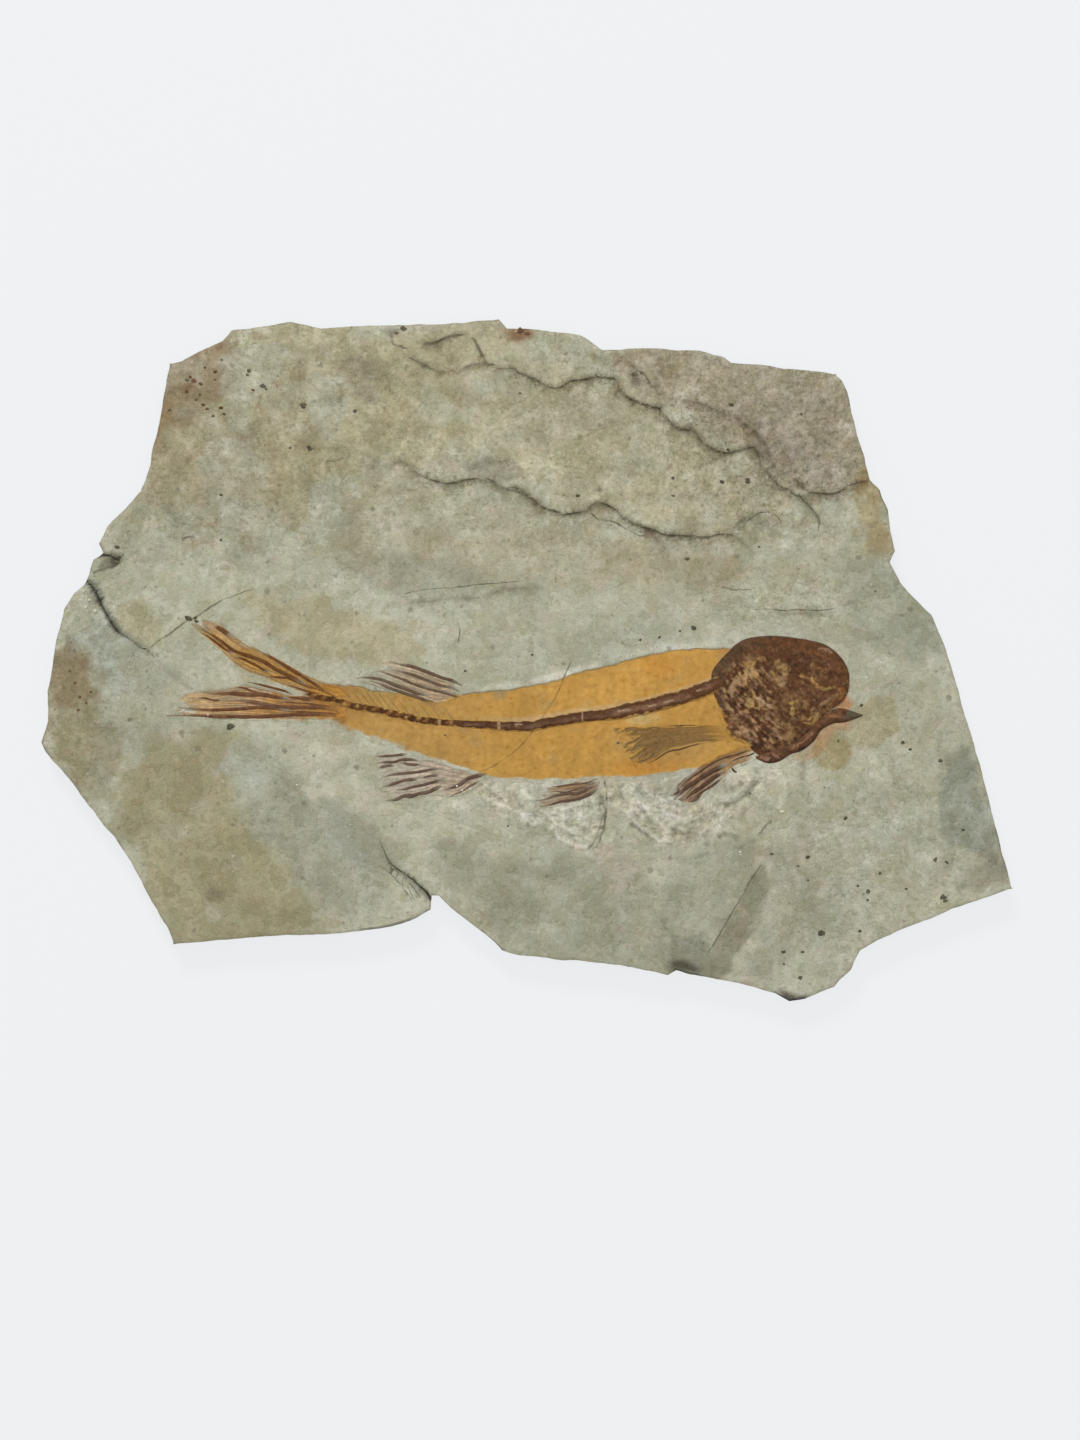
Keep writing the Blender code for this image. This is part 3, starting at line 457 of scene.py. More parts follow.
def pull_onto_lines(sheet):
    """Moves the points next to each line along the distance's slope, p + g (target - distance).
    A point is next to a line if a step along its row or column crosses it; its rank is the
    distance in such steps, rounded down: -1 for the first on the right, 0 on the left. Brows
    take targets of half a face's width. Cracks take the first on the left to their bottom."""
    sheet = sheet.copy()
    across, up = np.gradient(sheet, axis=1), np.gradient(sheet, axis=0)
    free = np.zeros(sheet.shape[:2], bool)
    free[1:-1, 1:-1] = True
    exact = {}
    for name in [*GROOVES, *BROWS]:
        left, share = line_distance(name, sheet[..., 0], sheet[..., 1])
        near = free & (np.abs(left) < 5) & (share > 0) & (share < 1)
        x, y = sheet[near].T
        slope = np.column_stack([
            line_distance(name, x + 0.01, y)[0] - line_distance(name, x - 0.01, y)[0],
            line_distance(name, x, y + 0.01)[0] - line_distance(name, x, y - 0.01)[0]]) / 0.02
        slope /= np.linalg.norm(slope, axis=1, keepdims=True) + 1e-9
        step = np.maximum(np.abs((slope * across[near]).sum(1)), np.abs((slope * up[near]).sum(1)))
        rank = np.floor(left[near] / step)
        if name in GROOVES:
            ends = GROOVES[name][1]
            half = (ends[0] + (ends[1] - ends[0]) * share[near]) / 2
            target = np.select([rank == -1, rank == 0, rank == 1], [-half, 0 * half, half], np.nan)
        else:
            target = np.select([rank == -1, rank == 0], [-BROW_FACE / 2, BROW_FACE / 2], np.nan)
        moved = ~np.isnan(target)
        place, aim, slope = sheet[near][moved], target[moved], slope[moved]
        for _ in range(3):
            place = place + slope * (aim - line_distance(name, *place.T)[0])[:, None]
        chosen = np.zeros_like(free)
        chosen[near] = moved
        sheet[chosen] = place
        free &= ~chosen
        exact[name] = (chosen, aim)
    return sheet, exact


sheet, exact = pull_onto_lines(sheet)
fields = line_fields(sheet[..., 0], sheet[..., 1])
for name, (chosen, aim) in exact.items():
    fields[name][0][chosen] = aim
print(f"{sum(chosen.sum() for chosen, _ in exact.values())} points lie on brows and cracks")

# %% [markdown]
# ## The colour of the rock
#
# Shale is never one grey. This slab runs from khaki at the upper left through pale cream by the
# tail to bluish grey below it, with rust along the upper rim, an olive stain in front of the
# jaw and a paler zone round the fish, where the cover was scraped off. The broad patches are
# placed as outlines over a base colour. The edge of each one strays by a few millimetres
# of rough noise, as a stain does that crept along the bedding.
# The fine grain comes later, from the material. The same function colours the rock wherever it
# shows through thin skin, so the fish fades into the slab without a seam.

# %% Zones and blotches of colour
SHALE_GREY = (0.412, 0.401, 0.301)
ZONES = {
    # name: outline, width of its soft edge, colour, strength
    "khaki_top": ([(-153, 124), (-131, 137), (-101, 145), (-60, 142), (-12, 143), (0, 128), (-20, 117),
        (-14, 99), (-32, 84), (-62, 85), (-88, 76), (-120, 68), (-160, 90)], 14,
        (0.372, 0.338, 0.216), 0.75),
    "khaki_right": ([(0, 128), (36, 122), (62, 100), (96, 90), (118, 68), (96, 50), (60, 56), (20, 68),
        (-12, 82), (-20, 100)], 12, (0.386, 0.356, 0.243), 0.7),
    "below_ledges": ([(-60, 82), (-35, 74), (10, 62), (45, 54), (90, 50), (96, 34), (60, 30), (10, 36),
        (-60, 44), (-80, 60)], 12, (0.380, 0.350, 0.245), 0.6),
    "upper_right": ([(35, 133), (75, 133), (120, 126), (138, 118), (147, 92), (148, 78), (130, 72),
        (116, 73.5), (106, 80), (100, 92), (84, 93), (70, 103), (56, 112), (40, 122)], 4,
        (0.352, 0.314, 0.230), 0.95),
    "purple_core": ([(92, 106), (104, 100), (116, 96), (128, 88), (128, 77), (116, 75.5), (106, 84),
        (98, 94)], 5, (0.302, 0.264, 0.204), 0.8),
    "rusty_corner": ([(-160, 100), (-152, 128), (-130, 140), (-122, 128), (-133, 112), (-148, 96)], 9,
        (0.235, 0.180, 0.108), 0.85),
    "brown_left": ([(-158, 96), (-146, 94), (-132, 84), (-134, 70), (-150, 62), (-168, 68)], 9,
        (0.330, 0.290, 0.190), 0.75),
    "pale_shoulder": ([(-118, 130), (-84, 132), (-78, 112), (-98, 98), (-122, 104)], 8,
        (0.405, 0.385, 0.270), 0.6),
    "dark_spot_top": ([(-76, 128), (-62, 129), (-58, 120), (-66, 113), (-77, 117)], 4,
        (0.272, 0.245, 0.168), 0.8),
    "pale_oval": ([(-43, 89), (-27, 89), (-25, 79), (-35, 77), (-44, 80)], 3,
        (0.398, 0.372, 0.268), 0.75),
    "oval_floor": ([(-25, 85), (-14, 88), (-3, 85), (-2, 78), (-14, 76.5), (-24, 79)], 2.0,
        (0.298, 0.275, 0.200), 0.85),
    "khaki_under_ledge": ([(33, 52), (60, 50), (94, 46), (92, 34), (62, 35), (36, 42)], 5,
        (0.335, 0.305, 0.208), 0.75),
    "green_oval": ([(88, 58), (97, 64), (107, 60), (109, 54), (98, 50), (89, 53)], 2.5,
        (0.325, 0.312, 0.222), 0.75),
    "ochre_edge": ([(148, 84), (153, 66), (158, 50), (148, 48), (143, 60), (143, 74)], 6,
        (0.350, 0.270, 0.135), 0.75),
    "brown_band": ([(-82, 56), (-60, 48), (-10, 38), (10, 30), (-20, 27), (-60, 26), (-80, 38)], 6,
        (0.296, 0.275, 0.192), 0.6),
    "cream": ([(-188, 36), (-178, 40), (-140, 40), (-118, 33), (-114, 26), (-124, 20), (-146, 18),
        (-152, 8), (-160, 4), (-166, 20), (-176, 30)], 2.5, (0.410, 0.402, 0.298), 0.95),
    "green_tongue": ([(-178, 22), (-168, 25), (-160, 20), (-154, 10), (-158, 4), (-170, 9)], 4,
        (0.342, 0.318, 0.200), 0.8),
    "tail_khaki": ([(-120, 28), (-84, 24), (-54, 16), (-42, 9), (-46, -3), (-70, -2), (-96, 6),
        (-116, 14)], 5, (0.382, 0.346, 0.226), 0.8),
    "blue_by_crack": ([(-194, 10), (-186, 17), (-178, 15), (-168, 6), (-150, -7), (-152, -15),
        (-170, -18), (-184, -10)], 5, (0.340, 0.340, 0.262), 0.9),
    "rust_at_left": ([(-206, -4), (-196, 4), (-186, -6), (-184, -20), (-196, -28), (-207, -20)], 8,
        (0.232, 0.180, 0.100), 0.85),
    "grey_left": ([(-208, -34), (-180, -20), (-150, -18), (-130, -30), (-150, -50), (-190, -56)], 10,
        (0.362, 0.356, 0.265), 0.8),
    "khaki_corner": ([(-176, -52), (-150, -30), (-128, -28), (-118, -40), (-122, -62), (-108, -80),
        (-94, -92), (-92, -118), (-152, -121)], 12, (0.312, 0.284, 0.176), 0.95),
    "blue_field": ([(-118, -40), (-96, -50), (-78, -60), (-60, -74), (-58, -100), (-76, -112),
        (-92, -104), (-104, -86), (-114, -78), (-124, -56)], 8, (0.322, 0.320, 0.245), 0.85),
    "cream_below_tail": ([(-110, -26), (-84, -32), (-66, -42), (-54, -56), (-62, -68), (-84, -60),
        (-102, -48)], 4, (0.445, 0.424, 0.322), 0.9),
    "green_below": ([(-40, -78), (0, -86), (40, -84), (56, -96), (56, -130), (0, -126), (-30, -102)], 8,
        (0.308, 0.303, 0.219), 0.8),
    "blue_slip": ([(58.5, -104), (60, -96), (66, -88), (76, -80), (90, -78), (98, -82), (100, -88),
        (94.2, -99), (87, -111.5), (81, -122), (75, -130), (66, -134), (58.5, -134)], 5,
        (0.290, 0.290, 0.219), 0.6),
    "slip_foot": ([(62, -120), (72, -116), (78, -124), (72, -134), (60, -134)], 4,
        (0.225, 0.222, 0.165), 0.8),
    "wedge": ([(101, -87.5), (94.2, -99), (87, -111.5), (81, -122), (75, -130), (77, -136), (86, -134),
        (90.2, -127.5), (94.2, -121), (100.8, -111.5), (104.1, -103.5), (104.8, -95.6)], 1.5,
        (0.250, 0.238, 0.168), 0.95),
    "plain_right": ([(138, 40), (150, 44), (166, 36), (174, 16), (176, 2), (166, -4), (156, 2), (146, 8),
        (138, 22)], 9, (0.305, 0.309, 0.232), 0.8),
    "lower_right": ([(110, -74), (150, -60), (176, -66), (184, -84), (160, -112), (130, -128),
        (104, -110), (108, -92)], 12, (0.378, 0.364, 0.276), 0.9),
    "blue_right": ([(179, -41), (190, -42), (199, -68), (203, -88), (188, -82), (178, -75)], 2.5,
        (0.288, 0.290, 0.222), 0.9),
    "dark_corner": ([(196, -80), (204, -84), (209, -96), (190, -98), (182, -100), (190, -88)], 5,
        (0.255, 0.235, 0.172), 0.75),
    "olive_stain": ([(123, -38), (124, -43.5), (130.5, -46), (138, -42.5), (141.5, -36), (152, -36),
        (160, -29.5), (160.5, -21), (157.5, -14.5), (150, -12.5), (144.5, -16.5), (139.5, -23),
        (130.5, -27.5), (125.5, -32)], 1.8, (0.338, 0.306, 0.192), 0.9),
    "round_stain": ([(122.5, -39), (125.5, -45.5), (132, -47), (139, -43), (139.5, -36), (133, -31),
        (126, -32.5)], 1.0, (0.312, 0.266, 0.142), 0.85),
    "scraped": ([(-24, -50), (-21, -56), (-13, -61), (-7, -64), (0, -69), (2, -72), (6, -69), (11, -72),
        (15, -76), (24, -79.5), (28, -80), (31, -76), (33, -68), (36, -62), (44, -70), (52, -76),
        (60, -80), (68, -79), (76, -76), (84, -72), (92, -68), (99, -62), (104, -56), (108, -48),
        (100, -46), (60, -48), (0, -50)], 1.5, (0.430, 0.405, 0.312), 0.85),
    "pale_upper_1": ([(-128.5, 133.5), (-107.5, 136), (-104, 124.5), (-116.5, 114.5), (-119, 100),
        (-128.5, 101.5), (-131, 118.5)], 3, (0.385, 0.376, 0.282), 0.8),
    "pale_upper_2": ([(-101, 121), (-84.5, 124.5), (-77, 114.5), (-77.5, 99.5), (-89.5, 96.5),
        (-100, 101.5), (-104, 112)], 3, (0.385, 0.376, 0.282), 0.8),
    "pale_upper_3": ([(-138, 93), (-116.5, 95), (-108, 82), (-110.5, 60), (-125.5, 56.5), (-137, 67)], 4,
        (0.370, 0.352, 0.262), 0.7),
    "pale_upper_4": ([(-94, 73.5), (-80, 78), (-73, 73.5), (-75, 60.5), (-84.5, 53), (-97.5, 50),
        (-99.5, 58.5)], 2.5, (0.388, 0.380, 0.288), 0.8),
    "pale_upper_5": ([(-43.5, 118.5), (-32, 120), (-24.5, 114.5), (-20, 106), (-29.5, 101.5),
        (-40.5, 99.5)], 3, (0.405, 0.392, 0.282), 0.8),
    "khaki_upper_2": ([(-115.5, 112), (-101.5, 114.5), (-89.5, 95), (-92, 85.5), (-95, 60.5),
        (-106, 58.5), (-107.5, 82), (-116.5, 95)], 4, (0.332, 0.300, 0.190), 0.75),
    "grey_above_cream": ([(-175, 43.5), (-178, 52), (-170.5, 63), (-153.5, 67), (-134, 60.5),
        (-114.5, 50), (-106, 39), (-123, 38.5), (-140.5, 40), (-157.5, 41)], 3,
        (0.330, 0.322, 0.236), 0.7),
    "brown_left_low": ([(-207.5, -32), (-206, -17), (-199.5, -19), (-187.5, -23), (-175.5, -29.5),
        (-171.5, -42.5), (-179, -55.5), (-188.5, -57.5), (-199.5, -44.5)], 7,
        (0.286, 0.258, 0.162), 0.85),
    "right_of_wedge": ([(105.5, -94), (113.5, -92), (123, -103), (124, -120), (113.5, -130.5),
        (100.5, -139.5), (91, -135), (97, -122), (102.5, -109)], 6, (0.335, 0.322, 0.240), 0.8),
    "belly_grey": ([(104.5, -81.5), (117.5, -77), (130.5, -81.5), (132.5, -92), (122, -96.5), (109, -94)],
        6, (0.330, 0.316, 0.236), 0.7),
    "blue_below_tail": ([(-130, -36), (-112, -32), (-104, -42), (-112, -55), (-127, -52)], 6,
        (0.384, 0.390, 0.305), 0.8),
    "pale_right": ([(150, -66), (174, -62), (179, -80), (172, -96), (152, -98), (146, -82)], 8,
        (0.430, 0.420, 0.320), 0.75),
    "pink_patch": ([(31.5, -80.5), (45.5, -81.5), (49, -90.5), (41, -96), (31.5, -94)], 4,
        (0.390, 0.350, 0.272), 0.7),
    "orange_cheek": ([(133, -17), (138.5, -14), (141, -18), (139, -21.5), (134, -20.5)], 1.6,
        (0.470, 0.245, 0.115), 0.9),
    "orange_under_jaw": ([(137, -25), (131, -26), (126, -29.5), (123, -34), (118, -38), (113, -40),
        (113, -43.5), (120, -43), (126.5, -39), (129, -34), (132, -30.5), (138, -27.8)], 3.0,
        (0.400, 0.245, 0.132), 0.75)}
GROOVE_SHADES = {
    # how dark each open crack is along its length, as (share, depth of shade)
    "tail_crack": [(0, 0.5), (0.08, 0.7), (0.38, 0.8), (0.46, 0.25), (1, 0.12)],
    "lower_crack": [(0, 0.7), (0.5, 0.35), (1, 0.1)],
    "notch_slit": [(0, 0.55), (0.6, 0.6), (1, 0.75)]}
BLOTCHES = [
    # middle, half widths, turn in degrees, colour, strength
    ((-3, 141), (8, 4.5), 0, (0.215, 0.120, 0.060), 0.9),
    ((-57, 141.5), (5, 3.5), 0, (0.190, 0.172, 0.125), 0.8),
    ((-156, 103), (4, 13), -4, (0.290, 0.205, 0.105), 0.7),
    ((-146, 87), (7, 3), 0, (0.262, 0.218, 0.135), 0.7),
    ((-137, 60), (9, 3), 10, (0.275, 0.240, 0.155), 0.7),
    ((-122, 51), (10, 3), -15, (0.285, 0.250, 0.165), 0.6),
    ((-142, 50), (10, 2.5), 0, (0.280, 0.245, 0.160), 0.6),
    ((-185, 50), (4, 3), 0, (0.250, 0.225, 0.165), 0.7),
    ((-176, 44), (3.5, 2.0), 0, (0.180, 0.160, 0.115), 0.8),
    ((72, 100), (8, 3), -30, (0.285, 0.250, 0.165), 0.7),
    ((48, 122), (4, 2), 10, (0.120, 0.105, 0.075), 0.8),
    ((-134, -99), (7, 3), 0, (0.210, 0.185, 0.125), 0.6),
    ((-187.5, 27), (4.5, 3.2), -50, (0.215, 0.195, 0.140), 0.6),
    ((-181, 42.5), (5.5, 3.4), 10, (0.215, 0.200, 0.150), 0.85),
    ((-176.5, 43.5), (2.4, 2.0), 0, (0.070, 0.060, 0.042), 0.9),
    ((-197, 8), (2.0, 6.0), -10, (0.230, 0.212, 0.150), 0.6),
    ((-62, 120), (8, 6), 0, (0.285, 0.262, 0.168), 0.7),
    # painted shade: these two dark blotches stand for the shaded, broken-down rim facets at the lower edge
    ((114, -143.5), (7, 2.8), -12, (0.085, 0.076, 0.056), 0.95),
    ((67.5, -131), (7, 2.8), -8, (0.095, 0.086, 0.062), 0.95),
    ((91, -116), (4, 9), -25, (0.280, 0.232, 0.165), 0.5),
    ((98, -104), (4, 9), -20, (0.235, 0.235, 0.150), 0.5),
    ((150, -82), (6, 4), 0, (0.300, 0.280, 0.200), 0.6)]
HALO_COLOUR = (0.437, 0.428, 0.332)
FRESH_CHIPS, OLIVE_FILM = (0.560, 0.545, 0.445), (0.275, 0.238, 0.150)
RUST_FILM, PALE_CLAY = (0.210, 0.115, 0.060), (0.455, 0.440, 0.345)
BLUER = np.array((-0.02, 0.01, 0.05))
SHADOW_POWERS = np.array((0.92, 1.0, 1.12))       # a shaded brow is a little warmer
FISH_OUTLINE = curve([
    (-140, 14), (-120, 4), (-100, -8), (-71, -8), (-54, -11), (-39, -14), (-13, -12.5), (8, -9), (37, -1),
    (57, 4), (83, 6), (97, 10.5), (120, 9.5), (135, 2), (139, -9), (141, -21), (128, -24), (119, -33),
    (103, -41), (92, -38), (75, -45), (49, -49.5), (15, -51.5), (-13, -50.5), (-44, -41.5), (-65, -35),
    (-87, -27), (-120, -26), (-150, -22), (-120, -14), (-105, -10), (-125, -2)], 4.0, closed=True)


def patch(x, y, middle, half_widths, turn):
    """How much a soft ellipse covers a point: with r the distance from its middle in half widths,
    along its own turned axes, 1 within 0.4, 0 beyond 1.2 and an S-curve between."""
    angle = np.radians(turn)
    dx, dy = x - middle[0], y - middle[1]
    along = (dx * np.cos(angle) + dy * np.sin(angle)) / half_widths[0]
    aside = (dy * np.cos(angle) - dx * np.sin(angle)) / half_widths[1]
    return 1 - ramp(0.4, 1.2, np.hypot(along, aside))


def zone(x, y, outline, soft, wander):
    """How much a zone covers a point: 0 to 1 across its soft edge, which wanders by up to wander
    mm, less where the edge is crisp. Only points near the outline's own box are looked at."""
    line = curve(outline, 4.0, closed=True)
    reach = soft + 6
    near = np.all([x > line[:, 0].min() - reach, x < line[:, 0].max() + reach,
                   y > line[:, 1].min() - reach, y < line[:, 1].max() + reach], axis=0)
    share = np.zeros(x.shape)
    strayed = inside(x[near], y[near], line) + wander[near] * min(1, soft / 4)
    share[near] = ramp(-soft / 2, soft / 2, strayed)
    return share


def towards(colour, other, share):
    """Mixes an array of colours with another colour by a share for each point."""
    return colour + (np.array(other) - colour) * share[..., None]


def rugged(x, y):
    """How restless the surface is, from 0 to 1: most in the upper half and at the lower right,
    least where the cover was scraped off the fish."""
    share = np.maximum(ramp(25, 75, y), 0.6 * patch(x, y, (150, -80), (70, 60), 0))
    share = np.maximum(share, 0.75 * patch(x, y, (-195, 0), (40, 60), 0))
    return np.clip(0.15 + share * (0.8 + 0.5 * rough(x, y, 30, 65, 2)), 0, 1)


def rock_tint(x, y, fields=None):
    """The rock's colour: the base, the pale zone round the fish, every zone and blotch, films of
    olive, rust and clay, and light and dark at 28 and 7 mm. Given fields, painted shade darkens
    the foot and line of each brow and each open crack."""
    wander = 5.0 * rough(x, y, 13, 51, 6) + 3.0 * rough(x, y, 4, 67, 3)
    tint = np.broadcast_to(np.array(SHALE_GREY), x.shape + (3,)).copy()
    away = -inside(x, y, FISH_OUTLINE)
    below = ramp(-10, -45, y)
    halo = 1 - ramp(1.0, 8.0 + 12.0 * below, away + 2.5 * rough(x, y, 9, 53, 3))
    tint = towards(tint, HALO_COLOUR, 0.85 * halo * ramp(-95, -60, x))
    for outline, soft, colour, strength in ZONES.values():
        tint = towards(tint, colour, strength * zone(x, y, outline, soft, wander))
    wx, wy = x + 3 * rough(x, y, 9, 52, 3), y + 3 * rough(x, y, 9, 60, 3)
    for middle, half_widths, turn, colour, strength in BLOTCHES:
        tint = towards(tint, colour, strength * patch(wx, wy, middle, half_widths, turn))
    above = ramp(-0.2, 0.4, away) * (1 - ramp(1.6, 3.6, away))
    above = above * ramp(-26, -8, x) * (1 - ramp(76, 88, x)) * ramp(-16, -10, y)
    tint = towards(tint, FRESH_CHIPS, 0.9 * above * ramp(-0.8, 0.0, rough(x, y, 5, 66, 2)))
    upper = ramp(20, 70, y)
    tint = towards(tint, OLIVE_FILM, 0.55 * upper * ramp(0.22, 0.8, rough(x, y, 9, 58, 4)))
    rusty = patch(x, y, (-136, 118), (38, 32), 20)
    tint = towards(tint, RUST_FILM, 0.75 * rusty * ramp(0.35, 0.75, rough(x, y, 6, 62, 3)))
    tint = towards(tint, PALE_CLAY, 0.30 * ramp(0.22, 0.85, rough(x, y, 13, 59, 4)))
    bluish = ramp(0.0, 0.8, rough(x, y, 30, 61, 3)) * (1 - 0.6 * upper)
    tint = tint * (1 + bluish[..., None] * BLUER)
    shade = 1.13 + 0.07 * rough(x, y, 28, 56, 3)
    shade = shade + (0.055 + 0.085 * rugged(x, y)) * rough(x, y, 7, 57, 5)
    if fields:
        shade_waver = 0.7 + 0.9 * rough(x, y, 4.0, 64, 4)
        # painted shade along each brow: a dark foot on its low side, a faint broad shade behind it and a dark
        # line on the brow itself, wavering in width and depth
        for name, (_, heights, _) in BROWS.items():
            left, share = fields[name]
            high = np.interp(share, *heights.T)
            high = 0.55 * np.clip(high / 0.22, 0, 1) + 0.45 * np.clip(high / 0.9, 0, 1)
            foot = (left < 0) * (1 - ramp(0.2, 4.2, -left * (1.3 - 0.5 * shade_waver)))
            wide = (left < 0) * (1 - ramp(1.0, 9.0, -left)) * ramp(0.5, 1, high)
            line = 1 - ramp(0.25, 1.9, np.abs(left))
            keep = (1 - 0.32 * foot * high * shade_waver) * (1 - 0.09 * wide)
            keep = keep * (1 - (0.20 + 0.24 * shade_waver) * line * high)
            tint = tint * keep[..., None] ** SHADOW_POWERS
        for name, values in GROOVE_SHADES.items():
            left, share = fields[name]
            deep = np.interp(share, *np.array(values).T) * (share > 0) * (share < 1)
            shade = shade * (1 - deep * (1 - ramp(0.2, 1.5, np.abs(left))))
    return np.clip(tint * shade[..., None], 0.01, 0.9)


def crumble(x, y, fields):
    """Where the surface is broken small, from 0 to 1: beside each high brow, round the belly, and
    less so wherever it is restless."""
    share = 0.8 * patch(x, y, (30, -66), (66, 15), -5) + 0.55 * rugged(x, y)
    share = np.maximum(share, 0.85 * patch(x, y, (88, 84), (66, 30), -32))
    share = np.maximum(share, 0.6 * patch(x, y, (108, 26), (46, 15), -6))
    for name, (_, heights, _) in BROWS.items():
        left, along = fields[name]
        high = np.clip(np.interp(along, *heights.T) / 0.6, 0, 1)
        share = np.maximum(share, high * (1 - ramp(1.0, 7.0, np.abs(left + 1.0))))
    return np.clip(share + 0.3 * zone(x, y, ZONES["upper_right"][0], 6, np.zeros(x.shape)), 0, 1)


tint = rock_tint(sheet[..., 0], sheet[..., 1], fields)
print("mean colour of the rock:", tint.mean((0, 1)).round(3))

# %% [markdown]
# ## From arrays to a mesh
#
# A surface is an array of points with rows and columns. Neighbouring points span a quad, so the
# faces are plain index arithmetic. All pieces go through one function, which also stores what
# the material needs for each point: the rock's colour there, the piece's own colour, how far
# that covers the rock, and how far the point lies beside the nearest hairline crack.

# %% Grids, faces and attributes
HAIRLINES = {
    # name: line, width; they run across rock, skin and fins alike
    "branch_crack": ([(-163, 4.5), (-157.5, 9), (-153.5, 11.5), (-149, 15), (-146, 17), (-142, 19),
        (-136, 23), (-132, 25.5), (-127.5, 27.5), (-123, 29), (-119, 30.5), (-113.5, 32)], 0.8),
    "body_crack": ([(21, 2.5), (17.5, -4), (13, -14.5), (8, -22.5), (0.5, -33), (-3.5, -37.5),
        (-13, -44.5), (-21, -48.5), (-26.5, -53.5), (-32, -58), (-37, -60), (-41.5, -62),
        (-46, -64.5)], 0.5),
    "edge_crack": ([(113, 73), (117.5, 70), (121, 67), (124, 63.5), (126, 60.5), (125, 54)], 0.8),
    "belly_line": ([(33.5, -50.5), (34.5, -58), (34, -67.5), (32, -76), (30.5, -80.5)], 0.8),
    "under_lower_brow": ([(27.5, 64), (30.5, 61), (37, 60), (42.5, 57), (48, 54), (53.5, 53.5)], 0.8),
    "under_lower_left": ([(-17.5, 78.5), (-11.5, 76), (-8.5, 73.5), (-4.5, 73), (0.5, 70.5)], 0.9),
    "crumb_above_middle": ([(44.5, 123), (49, 124.5), (52, 121), (53.5, 118)], 1.0),
    "top_notch_foot": ([(-58.5, 142.5), (-57.5, 136.5), (-54, 135), (-50, 134)], 1.2),
    "top_bar": ([(-44.5, 136.5), (-39, 136.5), (-34.5, 139), (-29.5, 140), (-25, 140)], 1.4),
    "top_thread": ([(-51, 130.5), (-44.5, 127.5), (-39, 124.5), (-36.5, 124.5)], 0.7),
    "top_descent": ([(-23, 139), (-20, 133.5), (-17, 128), (-12, 127)], 1.3),
    "left_smudge_3": ([(-148.5, 52), (-144.5, 53.5), (-141.5, 52.5)], 0.9),
    "left_chip": ([(-86, 86), (-82, 86), (-78, 87.5)], 0.8),
    "belly_scratch": ([(-30, 17), (-28.5, 12.5), (-30, 7)], 0.6),
    "stria_1": ([(-59.5, -86.5), (-53.5, -91.5), (-48, -98.5), (-44.5, -104)], 0.5),
    "stria_2": ([(-61.5, -89), (-55.5, -94.5), (-50.5, -101), (-47.5, -106)], 0.45),
    "wedge_left": ([(101.5, -87), (97, -93.5), (94, -99), (86.5, -111.5), (80.5, -122), (75, -130)], 0.6),
    "middle_thread": ([(-54.5, 28.5), (-41.5, 31), (-30.5, 31.5), (-24.5, 32.5), (-11.5, 33.5),
        (6, 35)], 0.4),
    "right_thread": ([(116.5, 72), (120, 68), (124, 63.5), (126, 59)], 0.7),
    "notch_block": ([(-186.5, 37.5), (-183.5, 39), (-180, 40), (-176.5, 41), (-175, 43.5)], 1.3),
    "right_arc": ([(92.5, 56.5), (96, 61), (102, 64), (107.5, 62.5), (110.5, 57)], 0.5),
    "head_thread": ([(97.5, 22), (104, 22.3), (110, 21.6), (116, 22), (123, 21.6), (130, 22),
        (136, 23.5)], 0.6),
    "ridge_step": ([(81, 32.5), (89.5, 30.5), (98.5, 31)], 0.5)}
HAIRLINES = {name: (curve(line, 2.0), width) for name, (line, width) in HAIRLINES.items()}


def nearest_hairline(x, y):
    """For each point the distance beside the nearest hairline crack, that crack's width there,
    and the distance again without its side. Widths narrow to nothing at both ends."""
    left, width = np.full(x.shape, 9.0), np.zeros(x.shape)
    for line, full in HAIRLINES.values():
        low, high = line.min(0) - 4, line.max(0) + 4
        near = (x > low[0]) & (x < high[0]) & (y > low[1]) & (y < high[1])
        if not near.any():
            continue
        beside_line, share = beside(x[near], y[near], line)
        closer = np.abs(beside_line) < np.abs(left[near])
        left[near] = np.where(closer, beside_line, left[near])
        tapered = full * ramp(0, 0.06, share) * (1 - ramp(0.75, 1.0, share))
        width[near] = np.where(closer, tapered, width[near])
    return np.column_stack([left, width, np.abs(left)])


def quads(rows, columns, start=0, closed=False):
    """The faces of a grid of points numbered row by row: (i, j), (i, j+1), (i+1, j+1), (i+1, j).
    A closed grid's last column joins its first."""
    i, j = np.meshgrid(np.arange(rows - 1), np.arange(columns - (not closed)), indexing="ij")
    k = (j + 1) % columns
    corners = [i * columns + j, i * columns + k, (i + 1) * columns + k, (i + 1) * columns + j]
    return np.stack(corners, axis=-1).reshape(-1, 4) + start


